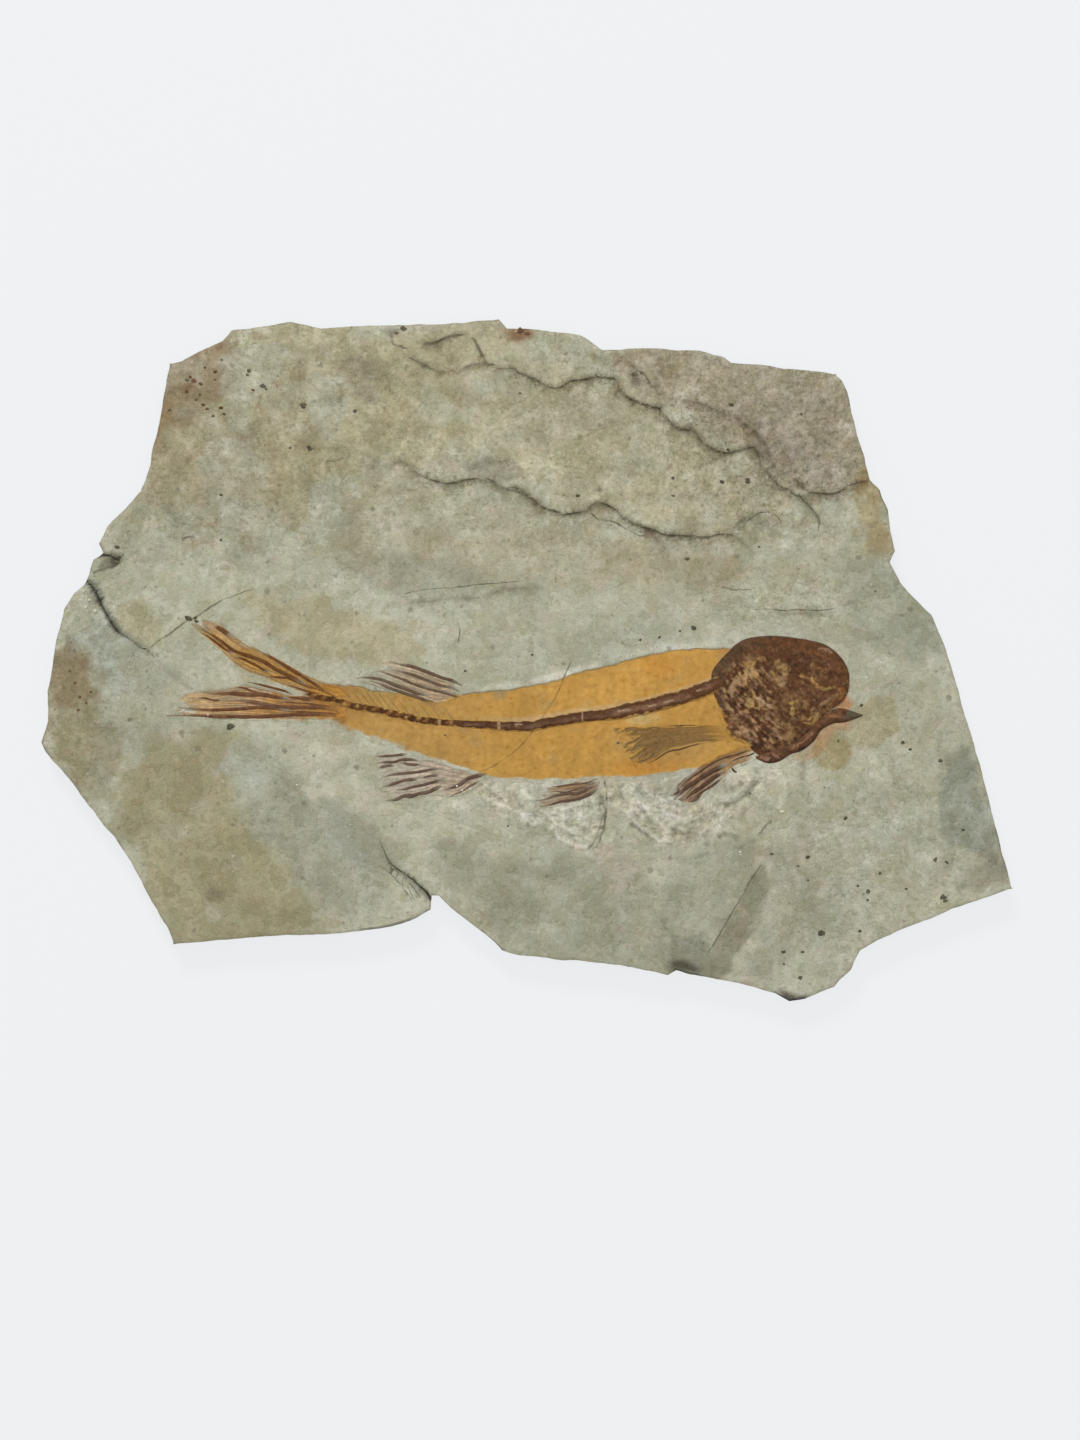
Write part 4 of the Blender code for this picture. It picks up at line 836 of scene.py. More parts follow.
def make_piece(name, points, faces, material, replaced, looks, crease=40.0):
    """A mesh object from points in mm and lists of faces with equal numbers of corners each.
    looks holds one array for each point: colours have three columns, shares have none."""
    mesh = bpy.data.meshes.new(name)
    mesh.vertices.add(len(points))
    mesh.vertices.foreach_set("co", (np.asarray(points) * MM).astype(np.float32).ravel())
    sizes = np.concatenate([np.full(len(group), group.shape[1]) for group in faces])
    corners = np.concatenate([group.ravel() for group in faces])
    mesh.loops.add(len(corners))
    mesh.loops.foreach_set("vertex_index", corners.astype(np.int32))
    mesh.polygons.add(len(sizes))
    mesh.polygons.foreach_set("loop_start", (np.cumsum(sizes) - sizes).astype(np.int32))
    mesh.polygons.foreach_set("use_smooth", np.ones(len(sizes), bool))
    mesh.update(calc_edges=True)
    mesh.validate()
    x, y = np.asarray(points)[:, 0], np.asarray(points)[:, 1]
    looks = {"broken_edge": np.zeros(len(points)), "crumbly": np.full(len(points), 0.3), **looks}
    looks["hairline"] = nearest_hairline(x, y)
    for look, values in looks.items():
        kind = "FLOAT_VECTOR" if look == "hairline" else "FLOAT_COLOR" if values.ndim == 2 else "FLOAT"
        layer = mesh.attributes.new(look, kind, "POINT")
        if kind == "FLOAT_COLOR":
            values = np.column_stack([values, np.ones(len(values))])
        key = {"FLOAT_VECTOR": "vector", "FLOAT_COLOR": "color", "FLOAT": "value"}[kind]
        layer.data.foreach_set(key, np.asarray(values, np.float32).ravel())
    mesh.set_sharp_from_angle(angle=np.radians(crease))
    mesh.materials.append(material)
    piece = bpy.data.objects.new(name, mesh)
    bpy.context.scene.collection.objects.link(piece)
    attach(piece, "root")
    if replaced:
        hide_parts(*replaced)
    print(f"{name}: {len(points)} points, {int((sizes - 2).sum())} triangles")
    return piece


print("hairline cracks:", ", ".join(HAIRLINES))

# %% [markdown]
# ## The finish of shale
#
# Shale is matt mud turned to stone. Close up it shows a fine grain, darker specks and a little
# clay-like cloudiness, and on a broken edge the thin layers themselves. The finish is a node
# group, so that skin, bone and fins can lie over the same rock. It takes the colour worked out
# for each point, clouds it, parts it into flakes of slightly different tone, and sprinkles it.
# Hairline cracks are drawn where the distance to their line is smaller than their width, which
# stays sharp however coarse the mesh is.

# %% The shale node group
def wire(tree, kind, sockets=None, **settings):
    """Adds a node. settings are its own choices; sockets maps inputs to values or to outputs."""
    made = tree.nodes.new(kind)
    for setting, value in settings.items():
        setattr(made, setting, value)
    for key, value in (sockets or {}).items():
        if isinstance(value, bpy.types.NodeSocket):
            tree.links.new(value, made.inputs[key])
        else:
            made.inputs[key].default_value = value
    return made


def stored(tree, name, output):
    """What the mesh stores for each point under a name, read as Color, Vector or Fac."""
    return wire(tree, "ShaderNodeAttribute", attribute_name=name).outputs[output]


def math_of(tree, operation, *values):
    """The result of one operation on numbers or outputs."""
    return wire(tree, "ShaderNodeMath", dict(enumerate(values)), operation=operation).outputs[0]


def product(tree, value, factor):
    """value * factor."""
    return math_of(tree, "MULTIPLY", value, factor)


def stretch(tree, value, from_low, from_high, to_low=0.0, to_high=1.0):
    """Maps one range to another in an S-curve, cut off at both ends."""
    made = wire(tree, "ShaderNodeMapRange", {
        "Value": value, "From Min": from_low, "From Max": from_high, "To Min": to_low,
        "To Max": to_high}, interpolation_type="SMOOTHSTEP")
    return made.outputs["Result"]


def blend(tree, share, below, above, mode="MIX"):
    """Lays one colour over another by a share."""
    made = wire(tree, "ShaderNodeMix", data_type="RGBA", blend_type=mode)
    for socket, value in ((made.inputs[0], share), (made.inputs[6], below), (made.inputs[7], above)):
        if isinstance(value, bpy.types.NodeSocket):
            tree.links.new(value, socket)
        elif socket.type == "RGBA":
            socket.default_value = (*value, 1.0)
        else:
            socket.default_value = value
    return made.outputs[2]


def clouds(tree, place, size, detail=4.0, roughness=0.55, seed=0.0):
    """Cloudy noise from 0 to 1 with features about size mm wide, in the object's own space."""
    moved = wire(tree, "ShaderNodeVectorMath", {0: place, 1: (seed, seed * 0.7, 0.0)}, operation="ADD")
    return wire(tree, "ShaderNodeTexNoise", {
        "Vector": moved.outputs[0], "Scale": 1.0 / (size * MM), "Detail": detail,
        "Roughness": roughness}).outputs["Fac"]


def bent(tree, place, size, amount):
    """The place moved by noise of a given size by up to an amount in mm, so that a regular
    pattern looked up there turns ragged."""
    noise = wire(tree, "ShaderNodeTexNoise", {"Vector": place, "Scale": 1.0 / (size * MM), "Detail": 3.0})
    shift = wire(tree, "ShaderNodeVectorMath", {0: noise.outputs["Color"], 1: (0.5, 0.5, 0.5)},
                 operation="SUBTRACT")
    shift = wire(tree, "ShaderNodeVectorMath", {0: shift.outputs[0], 1: (2 * amount * MM,) * 3},
                 operation="MULTIPLY")
    return wire(tree, "ShaderNodeVectorMath", {0: place, 1: shift.outputs[0]}, operation="ADD").outputs[0]


def specks(tree, place, pitch, radius, share):
    """Soft-edged dots of up to a given radius on a random scatter of points about pitch mm apart;
    only a share of the points carries one."""
    scatter = wire(tree, "ShaderNodeTexVoronoi", {"Vector": place, "Scale": 1.0 / (pitch * MM)})
    chosen = wire(tree, "ShaderNodeSeparateColor", {"Color": scatter.outputs["Color"]})
    size = math_of(tree, "ADD", product(tree, chosen.outputs[1], radius / pitch), 0.02)
    dot = stretch(tree, scatter.outputs["Distance"], product(tree, size, 0.5), size, 1.0, 0.0)
    return product(tree, dot, math_of(tree, "LESS_THAN", chosen.outputs[0], share))


def levels_of(tree, count, *cloud):
    """Cloudy noise, with what clouds takes, cut into count levels, as rock splits into flakes:
    the level's number, how far the noise is above it, and a random share for each level."""
    height = product(tree, clouds(tree, *cloud), count)
    number = math_of(tree, "FLOOR", height)
    chance = wire(tree, "ShaderNodeTexWhiteNoise", {"W": number}, noise_dimensions="1D")
    return number, math_of(tree, "SUBTRACT", height, number), chance.outputs["Value"]


def crack_lines(tree, place):
    """1 on a hairline crack and 0 beside it. The plain distance must be small as well, since the
    signed one also passes zero half-way between two cracks."""
    wobble = product(tree, math_of(tree, "SUBTRACT", clouds(tree, place, 3.0), 0.5), 1.2)
    thinning = stretch(tree, clouds(tree, place, 6.0, seed=0.3), 0.35, 0.6, 0.35, 1.0)
    parts = wire(tree, "ShaderNodeSeparateXYZ", {"Vector": stored(tree, "hairline", "Vector")})
    far = math_of(tree, "ABSOLUTE", math_of(tree, "ADD", parts.outputs[0], wobble))
    narrow = product(tree, parts.outputs[1], 0.12)
    broad = math_of(tree, "ADD", product(tree, parts.outputs[1], 0.8), 0.01)
    line = product(tree, stretch(tree, far, narrow, broad, 1.0, 0.0), thinning)
    line = product(tree, line, stretch(tree, parts.outputs[1], 0.05, 0.3))
    return product(tree, line, stretch(tree, parts.outputs[2], 1.5, 2.2, 1.0, 0.0))


def shale_group():
    """Outputs of the shale finish: its colour, its height for the bump in mm, and the cracks."""
    tree = bpy.data.node_groups.new("shale finish", "ShaderNodeTree")
    for name, kind in (("Color", "NodeSocketColor"), ("Height", "NodeSocketFloat"),
                       ("Cracks", "NodeSocketFloat")):
        tree.interface.new_socket(name, in_out="OUTPUT", socket_type=kind)
    place = wire(tree, "ShaderNodeTexCoord").outputs["Object"]
    colour = stored(tree, "rock_tint", "Color")
    mottle = clouds(tree, place, 4.0, detail=7.0, roughness=0.78)
    mud = clouds(tree, place, 12.0, detail=5.0, roughness=0.6, seed=0.4)
    dust = clouds(tree, place, 0.8, detail=3.0, roughness=0.75, seed=0.9)
    crumbly = stored(tree, "crumbly", "Fac")
    restless = math_of(tree, "ADD", product(tree, crumbly, 0.75), 0.34)
    grit = clouds(tree, place, 2.0, detail=3.0, roughness=0.65, seed=0.7)
    hue = clouds(tree, place, 6.5, detail=4.0, roughness=0.6, seed=1.1)
    number, above, flake = levels_of(tree, 11.0, place, 17.0, 7.0, 0.62, 1.7)
    chip = levels_of(tree, 12.0, place, 5.5, 6.0, 0.68, 3.1)[2]
    for noise, low, high, most, tone, also in (
            # noise, where it starts and ends, its full share, the tone, and a second share
            (mud, 0.42, 0.66, 0.35, (1.06, 1.0, 0.86), None),
            (hue, 0.52, 0.68, 0.8, (1.06, 0.99, 1.01), None),
            (hue, 0.48, 0.32, 0.8, (0.94, 0.99, 0.96), None),
            (mottle, 0.52, 0.74, 1.0, (0.70, 0.70, 0.65), restless),
            (mottle, 0.48, 0.28, 1.0, (1.24, 1.22, 1.25), restless),
            (grit, 0.55, 0.68, 1.0, (0.74, 0.75, 0.70), restless),
            (grit, 0.44, 0.32, 1.0, (1.20, 1.19, 1.20), restless),
            (dust, 0.35, 0.68, 1.0, (0.86, 0.86, 0.855), None),
            (dust, 0.45, 0.28, 1.0, (1.08, 1.08, 1.085), None),
            (flake, 0.5, 1.0, 0.7, (0.83, 0.82, 0.76), None),
            (flake, 0.5, 0.0, 0.7, (1.14, 1.14, 1.18), None),
            (chip, 0.5, 1.0, 1.0, (0.86, 0.85, 0.79), restless),
            (chip, 0.5, 0.0, 1.0, (1.14, 1.14, 1.18), restless)):
        share = stretch(tree, noise, low, high, 0.0, most)
        if also is not None:
            share = product(tree, share, also)
        colour = blend(tree, share, colour, tone, "MULTIPLY")
    # painted shade at the foot of each small flake step, just below where the bump rises to the next level
    step_foot_shade = product(tree, stretch(tree, above, 0.80, 1.0),
                        math_of(tree, "ADD", product(tree, crumbly, 0.5), 0.15))
    colour = blend(tree, step_foot_shade, colour, (0.72, 0.70, 0.66), "MULTIPLY")
    veins = math_of(tree, "ABSOLUTE", math_of(tree, "SUBTRACT", clouds(
        tree, place, 9.0, detail=5.0, roughness=0.6, seed=2.3), 0.5))
    veins = product(tree, stretch(tree, veins, 0.002, 0.014, 1.0, 0.0),
                    stretch(tree, crumbly, 0.65, 1.0, 0.0, 0.8))
    veins = product(tree, veins, stretch(tree, grit, 0.40, 0.55, 0.2, 1.0))
    colour = blend(tree, product(tree, veins, 0.55), colour, (0.14, 0.125, 0.08))
    ragged = bent(tree, place, 1.6, 0.9)
    flakes = wire(tree, "ShaderNodeTexVoronoi", {
        "Vector": bent(tree, place, 4.0, 2.5), "Scale": 1.0 / (4.2 * MM)}, feature="DISTANCE_TO_EDGE")
    flake_edge = stretch(tree, flakes.outputs["Distance"], 0.0, 0.22, 1.0, 0.0)
    flake_edge = product(tree, flake_edge, stretch(tree, mottle, 0.48, 0.62))
    flake_edge = product(tree, flake_edge, crumbly)
    colour = blend(tree, product(tree, flake_edge, 0.42), colour, (0.15, 0.13, 0.09))
    shifted = wire(tree, "ShaderNodeVectorMath", {0: ragged, 1: (0.5, 0.2, 0.1)}, operation="ADD")
    for where, pitch, radius, chosen, strength, speck_colour in (
            (ragged, 7.5, 1.7, 0.30, 0.50, (0.13, 0.125, 0.08)),
            (ragged, 4.0, 1.0, 0.30, 0.45, (0.15, 0.14, 0.09)),
            (ragged, 2.0, 0.55, 0.35, 0.40, (0.15, 0.14, 0.09)),
            (shifted.outputs[0], 4.5, 0.9, 0.22, 0.40, (0.60, 0.575, 0.48))):
        spots = product(tree, specks(tree, where, pitch, radius, chosen), strength)
        colour = blend(tree, spots, colour, speck_colour)
    broken = stored(tree, "broken_edge", "Fac")
    flat = wire(tree, "ShaderNodeMapping", {"Vector": place, "Scale": (0.12, 0.12, 1.0)})
    layers = clouds(tree, flat.outputs[0], 0.55, detail=3.0, seed=0.2)
    bands = wire(tree, "ShaderNodeCombineColor", {
        channel: stretch(tree, layers, 0.3, 0.7, dark, pale)
        for channel, (dark, pale) in enumerate(((0.62, 1.16), (0.62, 1.13), (0.66, 1.06)))})
    banded = blend(tree, 1.0, colour, bands.outputs[0], "MULTIPLY")
    colour = blend(tree, broken, colour, banded)
    cracks = crack_lines(tree, place)
    colour = blend(tree, product(tree, cracks, 0.72), colour, (0.085, 0.075, 0.05))
    height = product(tree, mottle, 0.30)
    for form, millimetres in (
            (math_of(tree, "ADD", number, stretch(tree, above, 0.0, 0.18)), 0.11),
            (stretch(tree, grit, 0.45, 0.70), -0.12), (dust, 0.08), (flake_edge, -0.20),
            (product(tree, layers, broken), 0.5), (cracks, -0.20), (veins, -0.18)):
        height = math_of(tree, "ADD", height, product(tree, form, millimetres))
    wire(tree, "NodeGroupOutput", {"Color": colour, "Height": height, "Cracks": cracks})
    return tree


SHALE = shale_group()


def shale_material():
    """The bare rock: matt, with its bump in real millimetres."""
    material = bpy.data.materials.new("shale")
    material.use_nodes = True
    tree = material.node_tree
    shader = tree.nodes["Principled BSDF"]
    rock = wire(tree, "ShaderNodeGroup", node_tree=SHALE)
    bump = wire(tree, "ShaderNodeBump", {"Height": rock.outputs["Height"], "Distance": MM,
                                         "Strength": 0.8})
    tree.links.new(rock.outputs["Color"], shader.inputs["Base Color"])
    tree.links.new(bump.outputs[0], shader.inputs["Normal"])
    shader.inputs["Roughness"].default_value = 0.92
    shader.inputs["Specular IOR Level"].default_value = 0.12
    return material


bare_shale = shale_material()
print("shale finish:", len(SHALE.nodes), "nodes")

# %% [markdown]
# ## The slab's mesh
#
# The grid gets its heights and becomes the upper face. Its border runs once round the slab and is
# carried down as rings: each layer of shale has an upper, a middle and a lower ring, set back by
# its own rough amount, so the side shows steps like a stack of torn card. Under the fish the
# rock is sunk by a fraction of a millimetre, which leaves room for the skin, and so it is under
# the chipped margin below the belly, whose two edges are needed here already.

# %% Build the slab
LAYER_TOPS = (10.2, 8.1, 6.4, 4.2, 2.3)
LAYER_SETBACKS = (0.0, 1.1, 0.7, 1.5, 0.9, 1.9)
LOWEST = 0.5
BED_DEPTH = 0.30
RIM_DROP = 0.35
WALL_SHADE = 0.82

MARGIN_UPPER = curve([
    (-44, -43), (-23, -49.3), (-13, -51.6), (-2.5, -52), (15.5, -52.5), (30, -51.6), (49, -50.9),
    (57.5, -49.8), (74.5, -46.8), (82, -44.5), (89.5, -42.5), (97, -43.5), (104, -46), (110, -45.5),
    (118, -42), (125, -38)], 0.5)
MARGIN_LOWER = curve([
    (-46, -64), (-30, -70), (-10, -77), (10, -83), (30, -87), (50, -87), (70, -86), (90, -82), (108, -72),
    (124, -60)], 0.5)


def bed_under(x, y, outlines):
    """How far the rock is sunk under pieces that lie on it: BED_DEPTH well inside an outline,
    nothing at 0.3 mm inside it."""
    within = np.max([inside(x, y, outline) for outline in outlines], axis=0)
    return BED_DEPTH * ramp(0.3, 2.0, within)


def border_of(rows, columns):
    """The numbers of a grid's border points, once round, counter-clockwise from corner (0, 0)."""
    number = np.arange(rows * columns).reshape(rows, columns)
    return np.concatenate([number[0], number[1:, -1], number[-1, -2::-1], number[-2:0:-1, 0]])


def rim_normals(rim):
    """Unit vectors that point into the slab: the rim's direction, averaged over nine points,
    turned to its left."""
    along = sum(np.roll(rim, -k, axis=0) - np.roll(rim, k, axis=0) for k in range(1, 5))
    along /= np.linalg.norm(along, axis=1, keepdims=True)
    return np.column_stack([-along[:, 1], along[:, 0]])


def wall_rings(rim, top_heights):
    """For each layer three rings of points below the rim: setback(layer) + roughness inwards, at
    the layer's top, middle and bottom."""
    inward = rim_normals(rim)
    x, y = rim.T
    rings = []
    edges = [None, *LAYER_TOPS, LOWEST]
    for layer, setback in enumerate(LAYER_SETBACKS):
        shift = setback + (0.9 if layer else 0.25) * rough(x, y, 16, 70 + layer, 3)
        shift = np.clip(shift, 0.05, None) + 0.22 * (1 + rough(x, y, 3.0, 80 + layer, 2))
        top = edges[layer] if layer else top_heights - 0.25
        bottom = edges[layer + 1]
        waver = 0.18 * rough(x, y, 20, 90 + layer, 2)
        for down, more in ((0.04, 0.0), (0.5, 0.10 * rough(x, y, 2.5, 95 + layer, 2)), (0.97, 0.2)):
            z = top + (bottom - top) * down + waver * (0 < layer) * (1 - down)
            rings.append(np.column_stack([rim + inward * (shift + more)[:, None],
                                          np.broadcast_to(z, x.shape)]))
    return rings


RIM_FACETS = [
    # middle, radius along the rim, how far the rim is broken down there
    ((-60, -112), 17, 1.3), ((-44.5, -105), 4, 1.8), ((-11.5, -122), 4, 1.6), ((69, -133), 7, 2.0),
    ((113, -145.5), 8, 2.4), ((-207, -37), 6, 1.2), ((-195, -55), 14, 0.6), ((-188, 36), 4, 1.0),
    ((200, -80), 18, 0.8), ((150, 70), 12, 0.9), ((40, 134), 9, 0.9)]


def broken_down(x, y):
    """How far the rim is lowered: RIM_DROP everywhere, more at each facet."""
    drop = np.full(x.shape, RIM_DROP)
    for middle, radius, depth in RIM_FACETS:
        drop = np.maximum(drop, depth * patch(x, y, middle, (radius, radius), 0))
    return drop * (1 + 0.3 * rough(x, y, 5, 43, 2))


x, y = sheet[..., 0], sheet[..., 1]
heights = rock_height(x, y, fields) - bed_under(x, y, [
    FISH_OUTLINE, np.vstack([MARGIN_LOWER, MARGIN_UPPER[::-1]])[::3]])
row, column = np.indices(x.shape)
at_rim = np.minimum(np.minimum(row, ROWS - 1 - row), np.minimum(column, COLUMNS - 1 - column)) == 0
drop = broken_down(x, y) * at_rim
heights = heights - drop
# painted shade on the rim: its outer ring is darker, most where it is broken down
tint = tint * (1 - 0.62 * ramp(0, 2.0, drop) - 0.10 * at_rim)[..., None]
face = np.dstack([sheet, heights]).reshape(-1, 3)
border = border_of(ROWS, COLUMNS)
rings_of_rim = wall_rings(face[border, :2], face[border, 2])
count = len(border)
ring_numbers = np.vstack([border, *[len(face) + k * count + np.arange(count)
                                    for k in range(len(rings_of_rim))]])
following = np.roll(ring_numbers, -1, axis=1)
walls = np.stack([ring_numbers[1:], following[1:], following[:-1], ring_numbers[:-1]], -1)
points = np.vstack([face, *rings_of_rim])
wall_tint = rock_tint(*rings_of_rim[0][:, :2].T) * WALL_SHADE
broken = np.concatenate([np.zeros(len(face)), np.repeat([0.3] + [1.0] * (len(rings_of_rim) - 1), count)])
make_piece(
    "shale_slab", points,
    [quads(ROWS, COLUMNS), walls.reshape(-1, 4), ring_numbers[-1][::-1][None]], bare_shale,
    ["slab"], {
        "rock_tint": np.vstack([tint.reshape(-1, 3), *[wall_tint] * len(rings_of_rim)]),
        "broken_edge": broken, "crumbly": np.concatenate([
            crumble(sheet[..., 0], sheet[..., 1], fields).ravel(),
            np.full(len(points) - len(face), 0.5)])})

# %% [markdown]
# ## Where the fish lies
#
# The fish was pressed to a film in the mud. Its skin is a smooth ochre sheet; its fins are fans
# of dark rays with a little tan web between them. These are the lines of it all:
# the two edges of the skin, and for each fin the two edges of its web, from tip to root, and
# its rays with their widths.

# %% Lines of the skin and the fins
SKIN_UPPER = curve([
    (-104, -8), (-96, -9), (-87, -9.3), (-78, -9.9), (-71.5, -10), (-65, -12.3), (-54.5, -13.3),
    (-41.5, -14.6), (-28.5, -13.8), (-20, -12.9), (-13, -12.5), (-3, -11), (8.5, -9), (22.5, -4.5),
    (37, -1), (49, 2), (57.5, 4), (70.5, 5.5), (83, 5.8), (92, 5.5)])
SKIN_LOWER = curve([
    (-104, -21), (-96, -24.5), (-87, -26.5), (-80, -29), (-65, -35), (-58.5, -36.8), (-44.5, -41.5),
    (-33, -44.5), (-23, -48), (-13, -50.5), (-2.5, -51), (15.5, -51.5), (30, -50.5), (49, -49.8),
    (57.5, -48.6), (74.5, -46.4), (82, -44), (89.5, -41.8), (98, -39)])
BACKBONE = curve([
    (-96, -14), (-88.8, -15.5), (-82.3, -16.8), (-75.9, -19), (-67.3, -20.6), (-59.6, -22.2),
    (-50.1, -24.3), (-43.6, -25.6), (-32.9, -26.6), (-24.3, -27.2), (-17.8, -27.4), (-10.5, -28),
    (1.5, -28), (5.8, -27.1), (14.4, -25.6), (23, -24.1), (31.6, -23.2), (40.2, -21.9), (48.8, -20),
    (57.4, -18), (66, -15.6), (74.6, -12.8), (84, -9)], 0.35)
